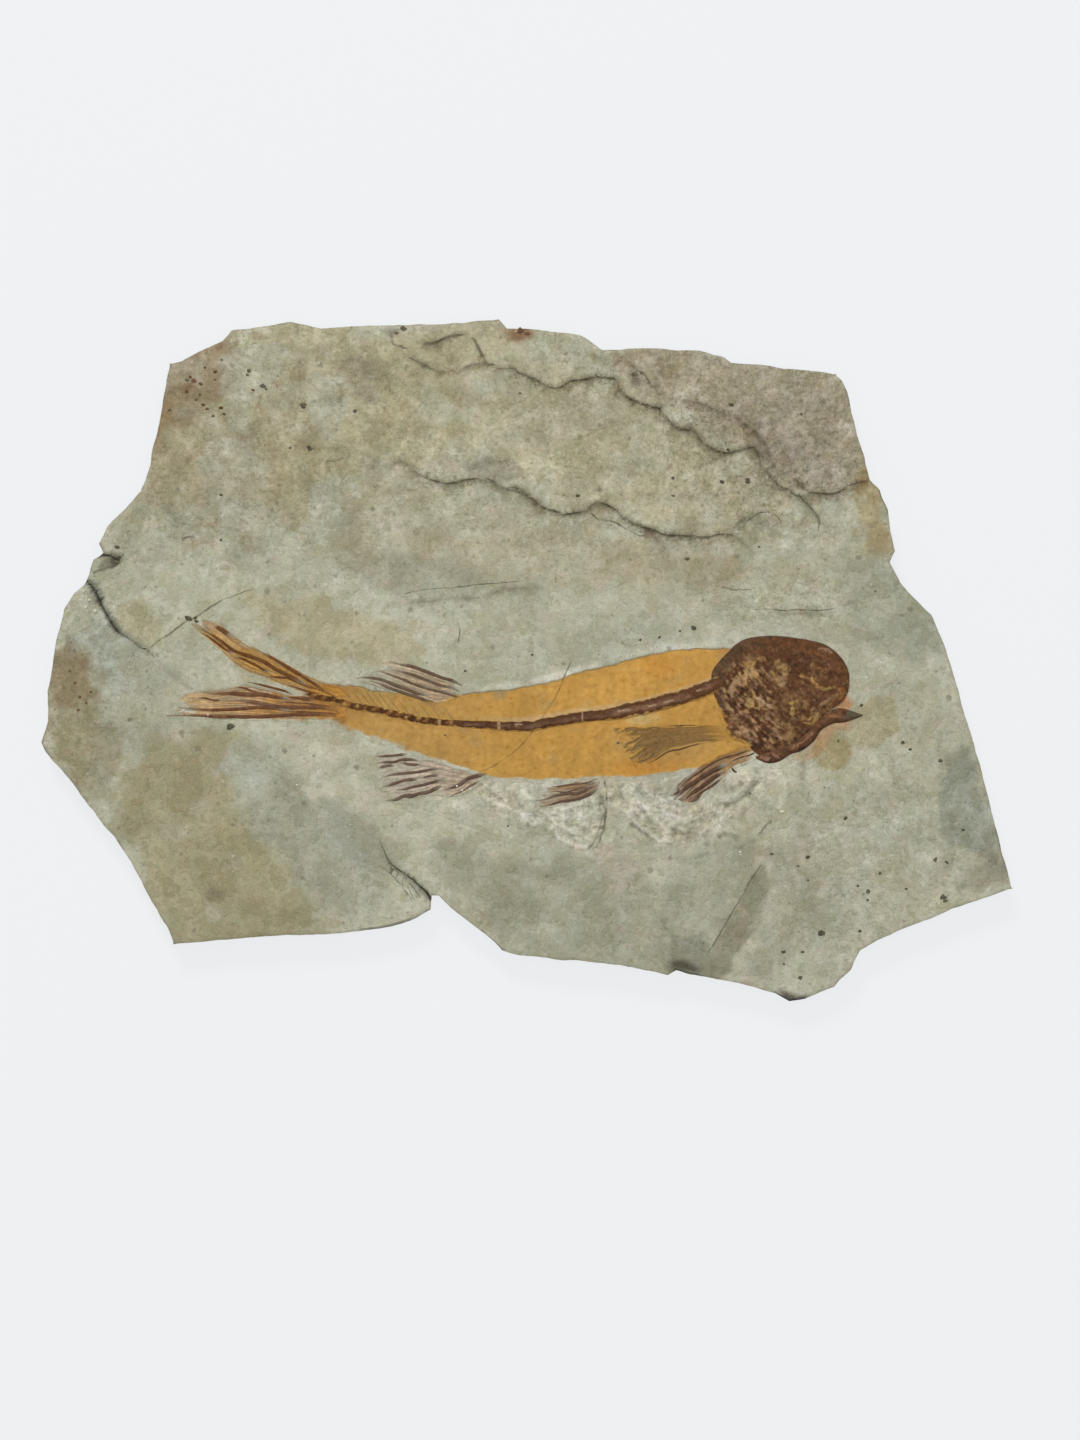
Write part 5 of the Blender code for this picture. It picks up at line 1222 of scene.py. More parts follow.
FINS = {
    "dorsal_fin": {
        "upper": [(-60.5, 1), (-54.5, -0.5), (-43.5, -3.5), (-35, -7), (-27.5, -11)],
        "lower": [(-73.5, -8.5), (-68, -9.5), (-58, -13), (-47, -16.5), (-40, -18.5), (-33, -17.5),
            (-27.5, -15)],
        "rays": [
            ([(-59, 0), (-54.5, -1.5), (-49, -2.5), (-43.5, -4.5), (-37, -7), (-32, -8.5),
                (-28, -10.5)], 1.15),
            ([(-59.5, -3), (-54.5, -4.5), (-49, -6), (-43.5, -8), (-37, -10.5), (-32, -11.5),
                (-29, -13)], 1.1),
            ([(-66.5, -5), (-63, -4.5), (-58.5, -6), (-54.5, -7.5), (-50, -9.5), (-46, -11),
                (-40.5, -12.5), (-35, -13.5), (-30.5, -14)], 0.8),
            ([(-58, -7), (-52.5, -8), (-48, -10), (-42.5, -11)], 0.7),
            ([(-73, -7.5), (-69.5, -7), (-65, -7.5), (-61, -8.5), (-56.5, -10.5), (-52, -12),
                (-46.5, -14), (-41.5, -14.5)], 1.2),
            ([(-67.5, -8.5), (-63, -10), (-58, -12), (-52, -14), (-47, -15.5), (-43, -17),
                (-40, -17.5)], 1.1),
            ([(-40.5, -13), (-35, -14), (-29.5, -15.5)], 0.7)]},
    "anal_fin": {
        "upper": [(-66.5, -40), (-56.5, -39.5), (-46, -41.5), (-35, -44), (-26.5, -47), (-17, -48.5)],
        "lower": [(-61.5, -60.5), (-55.5, -60), (-48, -59), (-40.5, -57.5), (-30.5, -58), (-22, -54.5),
            (-17, -49.5)],
        "rays": [
            ([(-65.5, -41), (-61, -41), (-55.5, -40.5), (-51.5, -40)], 0.9),
            ([(-64.5, -44), (-59.5, -43.5), (-57, -43.5), (-53.5, -42.5), (-49, -42.5),
                (-46.5, -43)], 1.0),
            ([(-64, -46), (-59.5, -45), (-57, -45)], 0.9),
            ([(-54.5, -43.5), (-50, -44.5), (-45.5, -44.5)], 0.9),
            ([(-63, -50.5), (-58.5, -49), (-54.5, -48.5), (-49, -48), (-45, -47.5), (-40, -46.5),
                (-35.5, -46)], 1.0),
            ([(-61.5, -54), (-57.5, -53), (-53, -51.5), (-49.5, -51), (-47, -51)], 1.0),
            ([(-46, -50.5), (-41.5, -49.5), (-37.5, -49)], 0.8),
            ([(-56, -55.5), (-52, -55), (-48, -54), (-45, -53.5), (-41.5, -52.5), (-36, -51)], 1.1),
            ([(-60.5, -60), (-56, -59.5), (-52.5, -58), (-49, -58), (-46, -57), (-42.5, -56.5),
                (-39.5, -55), (-36.5, -53.5)], 1.4),
            ([(-36, -55.5), (-32, -54.5), (-28.5, -53), (-25, -50.5), (-21, -49.5), (-17.5, -48.5)], 1.3),
            ([(-33, -58), (-28.5, -56.5), (-24.5, -54), (-20, -51.5)], 0.6)]},
    "pelvic_fin": {
        "upper": [(7.5, -54), (16.5, -52.5), (25, -51.5), (33.5, -50)],
        "lower": [(3.5, -61.5), (9, -63), (16.5, -61), (25, -58.5), (33.5, -53.5)],
        "rays": [
            ([(8.5, -54), (12.5, -54), (16.5, -53.5), (21, -53), (25.5, -52.5), (30.5, -50.5)], 0.6),
            ([(4, -60), (8, -59.5), (12.5, -58), (18, -57), (22, -57), (27.5, -54.5), (31.5, -52)], 1.0),
            ([(6, -62.5), (10, -62), (14.5, -60.5), (18.5, -60), (23, -59), (27.5, -57),
                (30.5, -54.5)], 1.0),
            ([(8.5, -56.5), (12.5, -56), (16.5, -56.5), (22, -55), (28, -53.5)], 0.5)]},
    "upper_pectoral_fin": {
        "upper": [(37, -28.5), (42.5, -28.2), (49, -28.5), (57.5, -28.2), (66, -28), (74.5, -27.5),
            (82.5, -27), (89, -27)],
        "lower": [(47, -46.5), (53, -43.5), (57.5, -41), (61.5, -38.5), (68, -37), (74.5, -35.5),
            (82.5, -35), (89, -34)],
        "rays": [
            ([(51, -44.5), (55.5, -42.5), (61, -39), (66, -38), (72.5, -36), (77.5, -35)], 0.7),
            ([(60, -27.9), (66, -27.8), (74, -27.6)], 0.5)]},
    "lower_pectoral_fin": {
        "upper": [(61.5, -57.5), (65, -52.5), (70, -48.5), (75, -45), (79.5, -42.3), (84, -40), (89, -38),
            (93.5, -36.2), (98.5, -34)],
        "lower": [(70, -62), (74.5, -60), (79, -55), (84, -50), (89.5, -46), (95, -44), (100.5, -41.5)],
        "rays": [
            ([(62.5, -57), (66, -54), (70.5, -50.5), (75.5, -47), (80, -44), (84, -42), (89.5, -40.5),
                (94, -39), (98.5, -37.5)], 0.8),
            ([(63.5, -59.5), (67.5, -55.5), (72.5, -52), (77, -49), (81.5, -46.5), (86, -44.5)], 2.2),
            ([(67, -60.5), (71, -57), (75.5, -54), (80, -50.5), (85, -47.5)], 1.7),
            ([(70.5, -60), (74.5, -57), (80, -53.5), (84, -50)], 1.0),
            ([(86, -44), (92, -41.5), (96, -40.5), (99.5, -38.5)], 0.8),
            ([(93, -50), (91, -48.5), (89, -47), (88, -45.5)], 0.9)]},
    "tail_upper_lobe": {
        "upper": [(-145.5, 19.5), (-138, 19), (-131, 16), (-125, 11.5), (-119, 7.5), (-113.5, 5),
            (-106, 1.5), (-97.5, -3.5), (-89, -8), (-78, -11.5)],
        "lower": [(-144.5, 14), (-139.5, 10), (-132.5, 4), (-126.5, -1.5), (-120, -6), (-113.5, -8),
            (-106, -11), (-97.5, -14), (-89, -16.5), (-78, -18.5)],
        "rays": [
            ([(-144, 16), (-140.5, 14), (-135, 11), (-130, 7.5), (-126, 4.5), (-119, 2), (-113.5, 0),
                (-108, -3.5), (-103, -6), (-97.5, -9), (-92, -11.5)], 1.25),
            ([(-117.5, 6), (-113.5, 3.5), (-108, 0.5), (-101.5, -3.5), (-95, -7.5), (-89.5, -11),
                (-85.5, -14)], 1.1),
            ([(-140.5, 12.5), (-137, 10.5), (-133.5, 8), (-129.5, 5), (-126, 3)], 0.9),
            ([(-135, 15), (-132, 14), (-127.5, 11)], 1.4),
            ([(-126.5, 1.5), (-122.5, 1), (-118, -1), (-113.5, -3.5), (-110.5, -5)], 0.9),
            ([(-113, -6.5), (-107.5, -7), (-102.5, -7.5), (-97.5, -9.5), (-92, -12)], 0.9),
            ([(-120, -9), (-115.5, -10), (-109.5, -11.5), (-104, -13), (-100.5, -14.5)], 0.7),
            ([(-104.5, -1.5), (-99, -5), (-93, -8.5), (-88, -11.5)], 0.6),
            ([(-106, -9), (-99, -11.5), (-91, -14), (-83, -16)], 0.6),
            ([(-100, -7), (-94, -10.5), (-88, -13), (-81, -15.5)], 0.45)]},
    "tail_lower_lobe": {
        "upper": [(-149, -12.5), (-140.5, -11.5), (-132, -11), (-121, -9.5), (-113.5, -10.5),
            (-104, -13.5), (-97.5, -14), (-89, -16), (-78, -18)],
        "lower": [(-156, -24.5), (-144.5, -25), (-132, -25), (-119, -25.5), (-106, -26), (-97.5, -26.5),
            (-89, -26.5), (-78, -26.5)],
        "rays": [
            ([(-139, -13.5), (-135, -14), (-131, -14), (-125.5, -14), (-120, -14.5), (-113.5, -14.5),
                (-108, -15.5), (-101.5, -16.5)], 1.2),
            ([(-126.5, -11.5), (-122, -11.5), (-118, -13), (-113.5, -14)], 0.6),
            ([(-142, -16), (-138, -16), (-134.5, -17), (-131, -17)], 0.6),
            ([(-132, -17), (-125.5, -17), (-119, -17.5), (-113.5, -18.5), (-108, -19.5), (-101, -20),
                (-93, -20), (-88, -20), (-81, -21.5)], 1.2),
            ([(-150, -20), (-144.5, -20.5), (-138, -21), (-129.5, -21), (-121, -20.5), (-115.5, -20),
                (-108, -20.5), (-101.5, -21)], 1.0),
            ([(-155, -23.5), (-149, -23.5), (-140.5, -23.5), (-132, -24), (-123, -24), (-114.5, -24),
                (-106, -23.5), (-97.5, -23), (-89, -23), (-82, -23.5)], 1.1),
            ([(-104, -15.5), (-98.5, -16), (-92, -17)], 0.8),
            ([(-110, -17.3), (-101, -17.8), (-92, -18.6), (-82, -20)], 0.6),
            ([(-107, -21.8), (-98, -21.8), (-89, -22.3), (-80, -22.8)], 0.5),
            ([(-100, -15), (-93, -16), (-86, -17.4)], 0.5)]}}
for fin in FINS.values():
    fin["upper"], fin["lower"] = curve(fin["upper"]), curve(fin["lower"])
    fin["outline"] = np.vstack([fin["upper"], fin["lower"][::-1]])[::2]
print(sum(len(fin["rays"]) for fin in FINS.values()), "rays in", len(FINS), "fins")

# %% [markdown]
# ## The scraped margin below the belly
#
# When the fish was uncovered, the shale below its belly was chipped away in small scallops that
# end in sharp pale ridges. The slab's grid is too coarse for them, so a finer sheet lies there,
# in the same stone, with its border sunk into the slab. Ridges and grooves are lines; each lifts
# or sinks the sheet and changes its colour, by an S-curve that falls from 1 on the line to 0 a
# little past its half width. The pale on a ridge is painted highlight and the dark in a groove
# is painted shade.

# %% Chips and ridges below the belly
# pale ridges carry painted highlight, dark grooves painted shade
PALE_RIDGE_HIGHLIGHT, DARK_GROOVE_SHADE = (0.720, 0.690, 0.580), (0.135, 0.120, 0.084)
SKIRT_DEPTH = 0.5
MARGIN_ROWS = 76
MARGIN_LINES = [
    # points, half width, height in mm, colour, strength
    ([(-17.5, -58.5), (-12.7, -61.1), (-7.1, -64.1), (-1.9, -66.2), (1.5, -71), (4.9, -69.2)], 1.1, 0.40,
        PALE_RIDGE_HIGHLIGHT, 0.9),
    ([(-0.6, -56.8), (3.7, -61.9), (8, -64.9), (12.3, -69.2), (17.8, -72.7), (21.7, -72.2)], 0.9, 0.35,
        PALE_RIDGE_HIGHLIGHT, 0.85),
    ([(11, -71.8), (14.4, -76.1), (19.6, -78.7), (25.2, -79.6)], 1.1, 0.45, PALE_RIDGE_HIGHLIGHT, 0.9),
    ([(30.7, -55.6), (33.3, -64.9), (32.9, -71.8), (30.3, -77.8), (27.3, -80.4)], 1.0, -0.45, DARK_GROOVE_SHADE,
        0.75),
    ([(39.3, -62.4), (44.5, -66.2), (48.8, -71), (54, -75.3), (59.1, -79.1)], 0.9, 0.35, PALE_RIDGE_HIGHLIGHT, 0.8),
    ([(45.4, -70.1), (49, -72.8), (52.2, -76.1)], 0.8, -0.35, DARK_GROOVE_SHADE, 0.7),
    ([(47.1, -59.8), (53.1, -64.9), (57.4, -70.1), (60.8, -73.5)], 1.0, 0.35, PALE_RIDGE_HIGHLIGHT, 0.85),
    ([(60, -66), (66, -67.5), (71, -70.5)], 0.8, 0.25, PALE_RIDGE_HIGHLIGHT, 0.7),
    ([(62, -72), (67, -74.5), (74, -74)], 0.8, -0.25, DARK_GROOVE_SHADE, 0.5),
    ([(85.4, -62.4), (92.7, -58.5), (99.1, -52.5)], 0.8, -0.30, DARK_GROOVE_SHADE, 0.65),
    ([(83, -60.5), (90, -56.8), (96, -51.5)], 0.9, 0.20, PALE_RIDGE_HIGHLIGHT, 0.5),
    ([(107.3, -47.7), (111.2, -52.5), (110.7, -57.6), (108.6, -63.6)], 0.8, 0.25, PALE_RIDGE_HIGHLIGHT, 0.7),
    ([(118, -43), (118.9, -50.3)], 1.4, -0.35, DARK_GROOVE_SHADE, 0.6),
    ([(105.6, -68.4), (100, -75.3)], 0.45, -0.15, DARK_GROOVE_SHADE, 0.8),
    ([(76.8, -74.8), (78, -79.6)], 1.0, -0.2, DARK_GROOVE_SHADE, 0.55),
    ([(82.3, -75.3), (86.6, -74.4), (90.5, -76.1)], 0.8, -0.2, DARK_GROOVE_SHADE, 0.6),
    ([(48, -56), (52, -58.5)], 1.4, -0.2, DARK_GROOVE_SHADE, 0.4),
    ([(-30.5, -61.5), (-27, -62.5)], 1.4, 0.2, PALE_RIDGE_HIGHLIGHT, 0.7),
    ([(-36, -57), (-33, -56)], 0.8, 0.1, PALE_RIDGE_HIGHLIGHT, 0.5)]


def ruled(lower, upper, rows):
    """The ruled grid (1 - v) lower(u) + v upper(u), with as many columns as the longer line."""
    columns = max(len(lower), len(upper))
    v = np.linspace(0, 1, rows)[:, None, None]
    return (1 - v) * evenly(lower, columns)[None] + v * evenly(upper, columns)[None]


def thin_sheet(grid, lift):
    """A closed thin solid on the rock: the grid at rock height + lift, its border repeated
    SKIRT_DEPTH under the rock's face, and one face below. Returns points, faces and border."""
    rows, columns = grid.shape[:2]
    x, y = grid.reshape(-1, 2).T
    z = rock_height(x, y)
    border = border_of(rows, columns)
    top = np.column_stack([x, y, z + lift])
    low = np.column_stack([x[border], y[border], z[border] - SKIRT_DEPTH])
    below = len(top) + np.arange(len(border))
    ahead, below_ahead = np.roll(border, -1), np.roll(below, -1)
    skirt = np.column_stack([border, below, below_ahead, ahead])
    return np.vstack([top, low]), [quads(rows, columns), skirt, below[::-1][None]], border


grid = ruled(MARGIN_LOWER, MARGIN_UPPER, MARGIN_ROWS)
rows, columns = np.indices(grid.shape[:2])
x, y = grid[..., 0], grid[..., 1]
margin_share = np.minimum(np.minimum(rows, grid.shape[0] - 1 - rows) * 0.5,
                          np.minimum(columns, grid.shape[1] - 1 - columns) * 0.5)
clear = np.min([ramp(0.3, 2.5, -inside(x, y, fin["outline"]))
                for fin in (FINS["pelvic_fin"], FINS["lower_pectoral_fin"], FINS["anal_fin"])], axis=0)
active = zone(x, y, ZONES["scraped"][0], 7, np.zeros(x.shape)) * clear
relief = active * (0.14 * rough(x, y, 6, 191, 3) + 0.45 * np.abs(rough(x, y, 4.0, 192, 4)) - 0.08)
fields = line_fields(x, y)
tint = rock_tint(x, y, fields)
tint = tint * (1 + active * (0.30 * rough(x, y, 3.0, 193, 4) + 0.20 * rough(x, y, 1.3, 194, 2)))[..., None]
# painted highlight on the thin crests of the chipped relief
crests = active * ramp(0.22, 0.02, np.abs(rough(x, y, 5.0, 199, 4)))
tint = towards(tint, PALE_RIDGE_HIGHLIGHT, 0.45 * crests)
relief = relief + 0.35 * crests
wx, wy = x + 0.8 * rough(x, y, 5, 195, 4), y + 0.8 * rough(x, y, 5, 196, 4)
# each ridge is lifted and painted pale as highlight, each groove sunk and painted dark as shade
for points, half_width, height, colour, strength in MARGIN_LINES:
    far = np.abs(beside(wx, wy, curve(points, 2.0))[0]) / half_width
    far = far * (1 + 0.5 * rough(x, y, 2.2, 197, 3)) / 1.5
    line = (1 - ramp(0.1, 1.2, far)) * clear
    relief = relief + height * line
    tint = towards(tint, colour, strength * line * (0.75 + 0.35 * rough(x, y, 1.8, 198, 2)))
lift = (-0.12 + 0.22 * ramp(0, 2.5, margin_share) + relief * ramp(0, 2.5, margin_share)) * clear
lift = lift - 0.15 * (1 - clear)
points, faces, border = thin_sheet(grid, lift.ravel())
again = np.concatenate([np.arange(lift.size), border])
make_piece("belly_margin", points, faces, bare_shale, [], {
    "rock_tint": tint.reshape(-1, 3)[again],
    "crumbly": crumble(x, y, fields).ravel()[again] * 0.6})

# %% [markdown]
# ## Skin, bone and ray finishes
#
# Every remain of the fish is stained mineral on the rock, so each finish is the same idea with
# other numbers: the piece's own colour is clouded at its own size and laid over the shale by a
# share that is worked out for each point. Where the share falls to nothing the rock shows, so
# the edges fade instead of stopping. Skin is satin; bone has a thin lacquer, as a preparator
# leaves it.

# %% Finish of the fish's remains
def fossil_finish(name, cloud_size, cloud_dark, cloud_pale, roughness, relief, lacquer):
    """A material: own_tint, darkened and paled by clouds, over shale by the share cover. relief
    is the bump of its clouds in mm, lacquer the weight of the coat."""
    material = bpy.data.materials.new(name)
    material.use_nodes = True
    tree = material.node_tree
    shader = tree.nodes["Principled BSDF"]
    place = wire(tree, "ShaderNodeTexCoord").outputs["Object"]
    rock = wire(tree, "ShaderNodeGroup", node_tree=SHALE)
    own = stored(tree, "own_tint", "Color")
    cover = stored(tree, "cover", "Fac")
    cloud = clouds(tree, place, cloud_size, detail=5.0, roughness=0.6, seed=0.25)
    fine = clouds(tree, place, 0.45, detail=2.0, roughness=0.7, seed=0.6)
    own = blend(tree, stretch(tree, cloud, 0.5, 0.72), own, cloud_dark, "MULTIPLY")
    own = blend(tree, stretch(tree, cloud, 0.5, 0.3), own, cloud_pale, "MULTIPLY")
    own = blend(tree, stretch(tree, fine, 0.35, 0.7), own, (0.90, 0.90, 0.90), "MULTIPLY")
    own = blend(tree, product(tree, rock.outputs["Cracks"], 0.7), own,
                (0.10, 0.06, 0.03))
    ragged = math_of(tree, "ADD", cover, product(tree, math_of(
        tree, "SUBTRACT", fine, 0.5), 0.5))
    share = stretch(tree, ragged, 0.12, 0.88)
    colour = blend(tree, share, rock.outputs["Color"], own)
    own_height = math_of(tree, "ADD", product(tree, cloud, relief),
                         product(tree, fine, 0.3 * relief))
    rock_left = math_of(tree, "SUBTRACT", 1.0, product(tree, share, 0.85))
    height = math_of(tree, "ADD", product(tree, own_height, share),
                     product(tree, rock.outputs["Height"], rock_left))
    bump = wire(tree, "ShaderNodeBump", {"Height": height, "Distance": MM, "Strength": 0.8})
    tree.links.new(colour, shader.inputs["Base Color"])
    tree.links.new(stretch(tree, share, 0.0, 1.0, 0.92, roughness), shader.inputs["Roughness"])
    tree.links.new(bump.outputs[0], shader.inputs["Normal"])
    shader.inputs["Specular IOR Level"].default_value = 0.08
    shader.inputs["Coat Weight"].default_value = lacquer
    shader.inputs["Coat Roughness"].default_value = 0.35
    return material


skin_finish = fossil_finish("ochre skin", 2.4, (0.80, 0.74, 0.62), (1.15, 1.17, 1.25), 0.62, 0.10, 0.0)
fin_finish = fossil_finish("fin rays", 1.6, (0.70, 0.66, 0.62), (1.25, 1.22, 1.2), 0.6, 0.12, 0.0)
bone_finish = fossil_finish("backbone bone", 1.1, (0.72, 0.65, 0.58), (1.28, 1.2, 1.15), 0.55, 0.22, 0.02)
skull_finish = fossil_finish("skull bone", 1.5, (0.55, 0.48, 0.42), (1.50, 1.40, 1.30), 0.50, 0.32, 0.03)
print("four finishes for the fish")

# %% [markdown]
# ## The skin
#
# The body is one smooth sheet, thin as paper. It is ruled from its lower edge to its upper edge:
# row by row, each point is part of the way from one to the other. Its height is the rock's
# height there plus a little, so it hugs the slab; its border is turned down into the stone and
# closed below, which makes it a real thin solid.

# %% The skin of the body
SKIN_COLOURS = {"front": (0.540, 0.292, 0.068), "middle": (0.508, 0.278, 0.064),
                "rear": (0.450, 0.262, 0.074), "tail": (0.345, 0.175, 0.046)}
SKIN_PATCHES = [
    # colour, strength, middle, half widths, turn in degrees
    ((0.545, 0.245, 0.045), 0.6, (52, -45), (20, 5), 8),
    ((0.545, 0.245, 0.040), 0.5, (57, -2), (9, 6), 0),
    ((0.600, 0.420, 0.160), 0.7, (50, -25), (9, 3), 4),
    ((0.300, 0.235, 0.120), 0.6, (-11.5, -14), (3.5, 3.5), 0),
    ((0.290, 0.200, 0.085), 0.5, (-42, -17), (5, 2.5), -20),
    ((0.340, 0.240, 0.090), 0.5, (-66, -14), (9, 2.5), -12),
    ((0.340, 0.220, 0.085), 0.45, (60, -36), (26, 9), 0),
    ((0.480, 0.230, 0.070), 0.6, (86, 3), (6, 4), 0)]
SKIN_ROWS, SKIN_LIFT = 84, 0.07
PALE_LINE, DARK_LINE, GREY_FILM = (0.555, 0.400, 0.215), (0.400, 0.210, 0.055), (0.335, 0.275, 0.130)


def skin_tint(x, y):
    """Ochre, paler towards the head and browner towards the tail, with soft blotches, faint
    upright folds, and a pale line above the backbone and a dark one below it."""
    tint = np.broadcast_to(np.array(SKIN_COLOURS["middle"]), x.shape + (3,)).copy()
    tint = towards(tint, SKIN_COLOURS["front"], ramp(0, 45, x) * ramp(-45, -20, y) * 0.9)
    tint = towards(tint, SKIN_COLOURS["rear"], ramp(0, -50, x))
    tint = towards(tint, SKIN_COLOURS["tail"], ramp(-62, -98, x))
    for colour, strength, middle, half_widths, turn in SKIN_PATCHES:
        tint = towards(tint, colour, strength * patch(x, y, middle, half_widths, turn))
    left, share = beside(x, y, BACKBONE[::8])
    line = ramp(1.4, 2.2, left) * (1 - ramp(3.0, 4.5, left)) * (share > 0) * (share < 1)
    tint = towards(tint, PALE_LINE, 0.6 * line * ramp(-30, 0, x))
    low = (left < 0) * (share > 0) * (share < 1) * (1 - ramp(2.2, 4.5, -left))
    tint = towards(tint, DARK_LINE, 0.4 * low)
    folds = rough(x - 0.2 * y, y * 0.12, 3.2, 125, 3)
    grey = ramp(0.3, 0.9, rough(x, y, 7, 126, 3))
    tint = towards(tint, GREY_FILM, 0.30 * grey)
    shade = 1 + 0.09 * rough(x, y, 16, 121, 3) + 0.11 * rough(x, y, 4.0, 122, 5) + 0.06 * folds
    return tint * shade[..., None]


def skin_cover(x, y):
    """How far skin covers the rock: full inside its outline, with a ragged edge about 1 mm wide,
    and thinning out between the lobes of the tail."""
    edge = inside(x, y, np.vstack([SKIN_LOWER, SKIN_UPPER[::-1]])[::2])
    soft = 1 + 1.6 * ramp(-20, -70, x) * ramp(-18, -26, y)
    share = ramp(-0.3, 1.5 * soft, edge + 0.7 * soft * rough(x, y, 4, 123, 5))
    return share * ramp(-102, -90, x + 4 * rough(x, y, 5, 124, 3))


def ground_tint(x, y):
    """What lies under fins and bones: the rock, with the skin laid over it."""
    bare = rock_tint(x, y)
    return bare + (skin_tint(x, y) - bare) * skin_cover(x, y)[..., None]


grid = ruled(SKIN_LOWER, SKIN_UPPER, SKIN_ROWS)
points, faces, _ = thin_sheet(grid, SKIN_LIFT)
x, y = points[:, :2].T
make_piece("body_skin", points, faces, skin_finish, ["body_film"], {
    "rock_tint": rock_tint(x, y), "cover": skin_cover(x, y), "own_tint": skin_tint(x, y)})

# %% [markdown]
# ## The fins
#
# A fin ray is a thin half-sunk rod: an oval carried along the ray's line, slender at the tip and
# full at the root, with a slightly uneven width. Between the rays lies a film of web, streaked
# along the rays. Each fin is one mesh of its web and its rays.

# %% Rays and webs
FIN_LOOKS = {
    # web colour at tip and root, how far it covers the rock at tip and root, number of fine rays,
    # the strong rays' colour and by how much they are widened
    "dorsal_fin": ((0.500, 0.390, 0.265), (0.430, 0.310, 0.190), 0.50, 0.85, 5,
        (0.128, 0.084, 0.052), 1.30),
    "anal_fin": ((0.510, 0.430, 0.345), (0.440, 0.340, 0.240), 0.45, 0.80, 5,
        (0.125, 0.078, 0.053), 1.35),
    "pelvic_fin": ((0.365, 0.232, 0.125), (0.280, 0.155, 0.070), 0.50, 0.85, 6,
        (0.120, 0.072, 0.048), 1.35),
    "upper_pectoral_fin": ((0.205, 0.125, 0.050), (0.320, 0.180, 0.066), 0.92, 0.72, 22,
        (0.120, 0.066, 0.028), 0.9),
    "lower_pectoral_fin": ((0.205, 0.128, 0.074), (0.360, 0.205, 0.085), 1.0, 0.95, 10,
        (0.098, 0.054, 0.033), 0.95),
    "tail_upper_lobe": ((0.450, 0.285, 0.105), (0.450, 0.220, 0.042), 0.76, 0.98, 13,
        (0.135, 0.054, 0.016), 1.40),
    "tail_lower_lobe": ((0.440, 0.300, 0.150), (0.430, 0.205, 0.050), 0.66, 0.97, 13,
        (0.135, 0.058, 0.028), 1.50)}
WEB_ROWS, WEB_LIFT = 38, 0.12
STATIONS = 24                          # places along a fin where a fine ray can start or end
ROD_LIFT, ROD_BELLY = 0.08, 0.3        # how high a rod's middle lies, and how deep it reaches
RAY_HEIGHT = 0.24                      # for each mm of a strong ray's width
FINE_RAY = (0.45, 0.10, 0.75)          # width and height in mm, and how dark it is
WEB_MARKS = {
    # points, half width, colour, strength
    "tail_upper_lobe": [
        ([(-122, 3), (-112, -2), (-104, -6), (-97, -9)], 5.0, (0.500, 0.265, 0.052), 0.8),
        ([(-141, 16), (-135, 14.5), (-129, 11)], 1.6, (0.430, 0.240, 0.160), 0.6),
        ([(-118, -6), (-110, -8.5)], 1.2, (0.560, 0.380, 0.130), 0.7)],
    "tail_lower_lobe": [
        # these two pale streaks are painted highlights on the web
        ([(-123, -11), (-117, -11.8), (-110, -13.4)], 0.9, (0.620, 0.520, 0.430), 0.8),
        ([(-149, -21.6), (-146, -21.6), (-143, -22)], 0.6, (0.700, 0.640, 0.580), 0.8),
        ([(-135, -15.3), (-124, -15.8), (-112, -16.6)], 0.8, (0.480, 0.350, 0.230), 0.6),
        ([(-140, -18.8), (-125, -19.0), (-110, -19.2)], 0.7, (0.450, 0.300, 0.200), 0.6)],
    "lower_pectoral_fin": [
        ([(66, -54.5), (68, -56.5), (66.5, -58.5)], 0.9, (0.420, 0.290, 0.220), 0.8),
        ([(72, -53), (76, -50.5)], 0.7, (0.330, 0.205, 0.130), 0.6),
        ([(76, -55.5), (80, -52), (84, -48.5)], 0.8, (0.310, 0.190, 0.100), 0.6),
        ([(84, -46), (88, -43.6)], 0.7, (0.340, 0.195, 0.085), 0.6)],
    "upper_pectoral_fin": [
        ([(66, -30), (75, -29.6), (84, -29.5)], 0.9, (0.330, 0.215, 0.100), 0.6),
        ([(56, -33), (68, -32), (80, -31.5)], 0.8, (0.320, 0.210, 0.095), 0.6),
        ([(45, -37.5), (52, -36), (60, -35)], 1.2, (0.150, 0.095, 0.045), 0.6)]}


def rod(line, width, height, seed, tip=0.35, sides=10):
    """An oval rod along a line, from its tip to its root. Round its section, at the angle a, a
    point lies w/2 cos a aside and h sin a up (ROD_BELLY down below); w and h grow from the tip by
    an S-curve and waver by a fifth. Returns points, faces and the share along for each point."""
    line = curve(line, 0.8)
    share = length_of(line) / length_of(line)[-1]
    along = np.gradient(line, axis=0)
    along /= np.linalg.norm(along, axis=1, keepdims=True)
    aside = np.column_stack([-along[:, 1], along[:, 0]])
    full = tip + (1 - tip) * ramp(0, 0.35, share)
    full = full * (1 - 0.35 * ramp(0.85, 1, share)) * (1 + 0.22 * rough(*line.T, 3.0, seed, 2))
    angle = np.linspace(0, 2 * np.pi, sides, endpoint=False)
    out = line[:, None] + aside[:, None] * (np.cos(angle)[None] * width / 2 * full[:, None])[..., None]
    z = rock_height(out[..., 0], out[..., 1]) + ROD_LIFT
    lift = np.sin(angle)[None] * np.ones((len(line), 1))
    z = z + np.where(lift > 0, lift * height * full[:, None], lift * ROD_BELLY)
    points = np.dstack([out, z]).reshape(-1, 3)
    ring = np.arange(sides)
    caps = np.stack([ring[::-1], (len(line) - 1) * sides + ring])
    return points, [quads(len(line), sides, closed=True), caps], np.repeat(share, sides)


def joined(parts):
    """Several (points, faces) as one: later faces are renumbered past earlier points."""
    points, faces, start = [], [], 0
    for part_points, part_faces in parts:
        faces += [group + start for group in part_faces]
        points.append(part_points)
        start += len(part_points)
    return np.vstack(points), faces


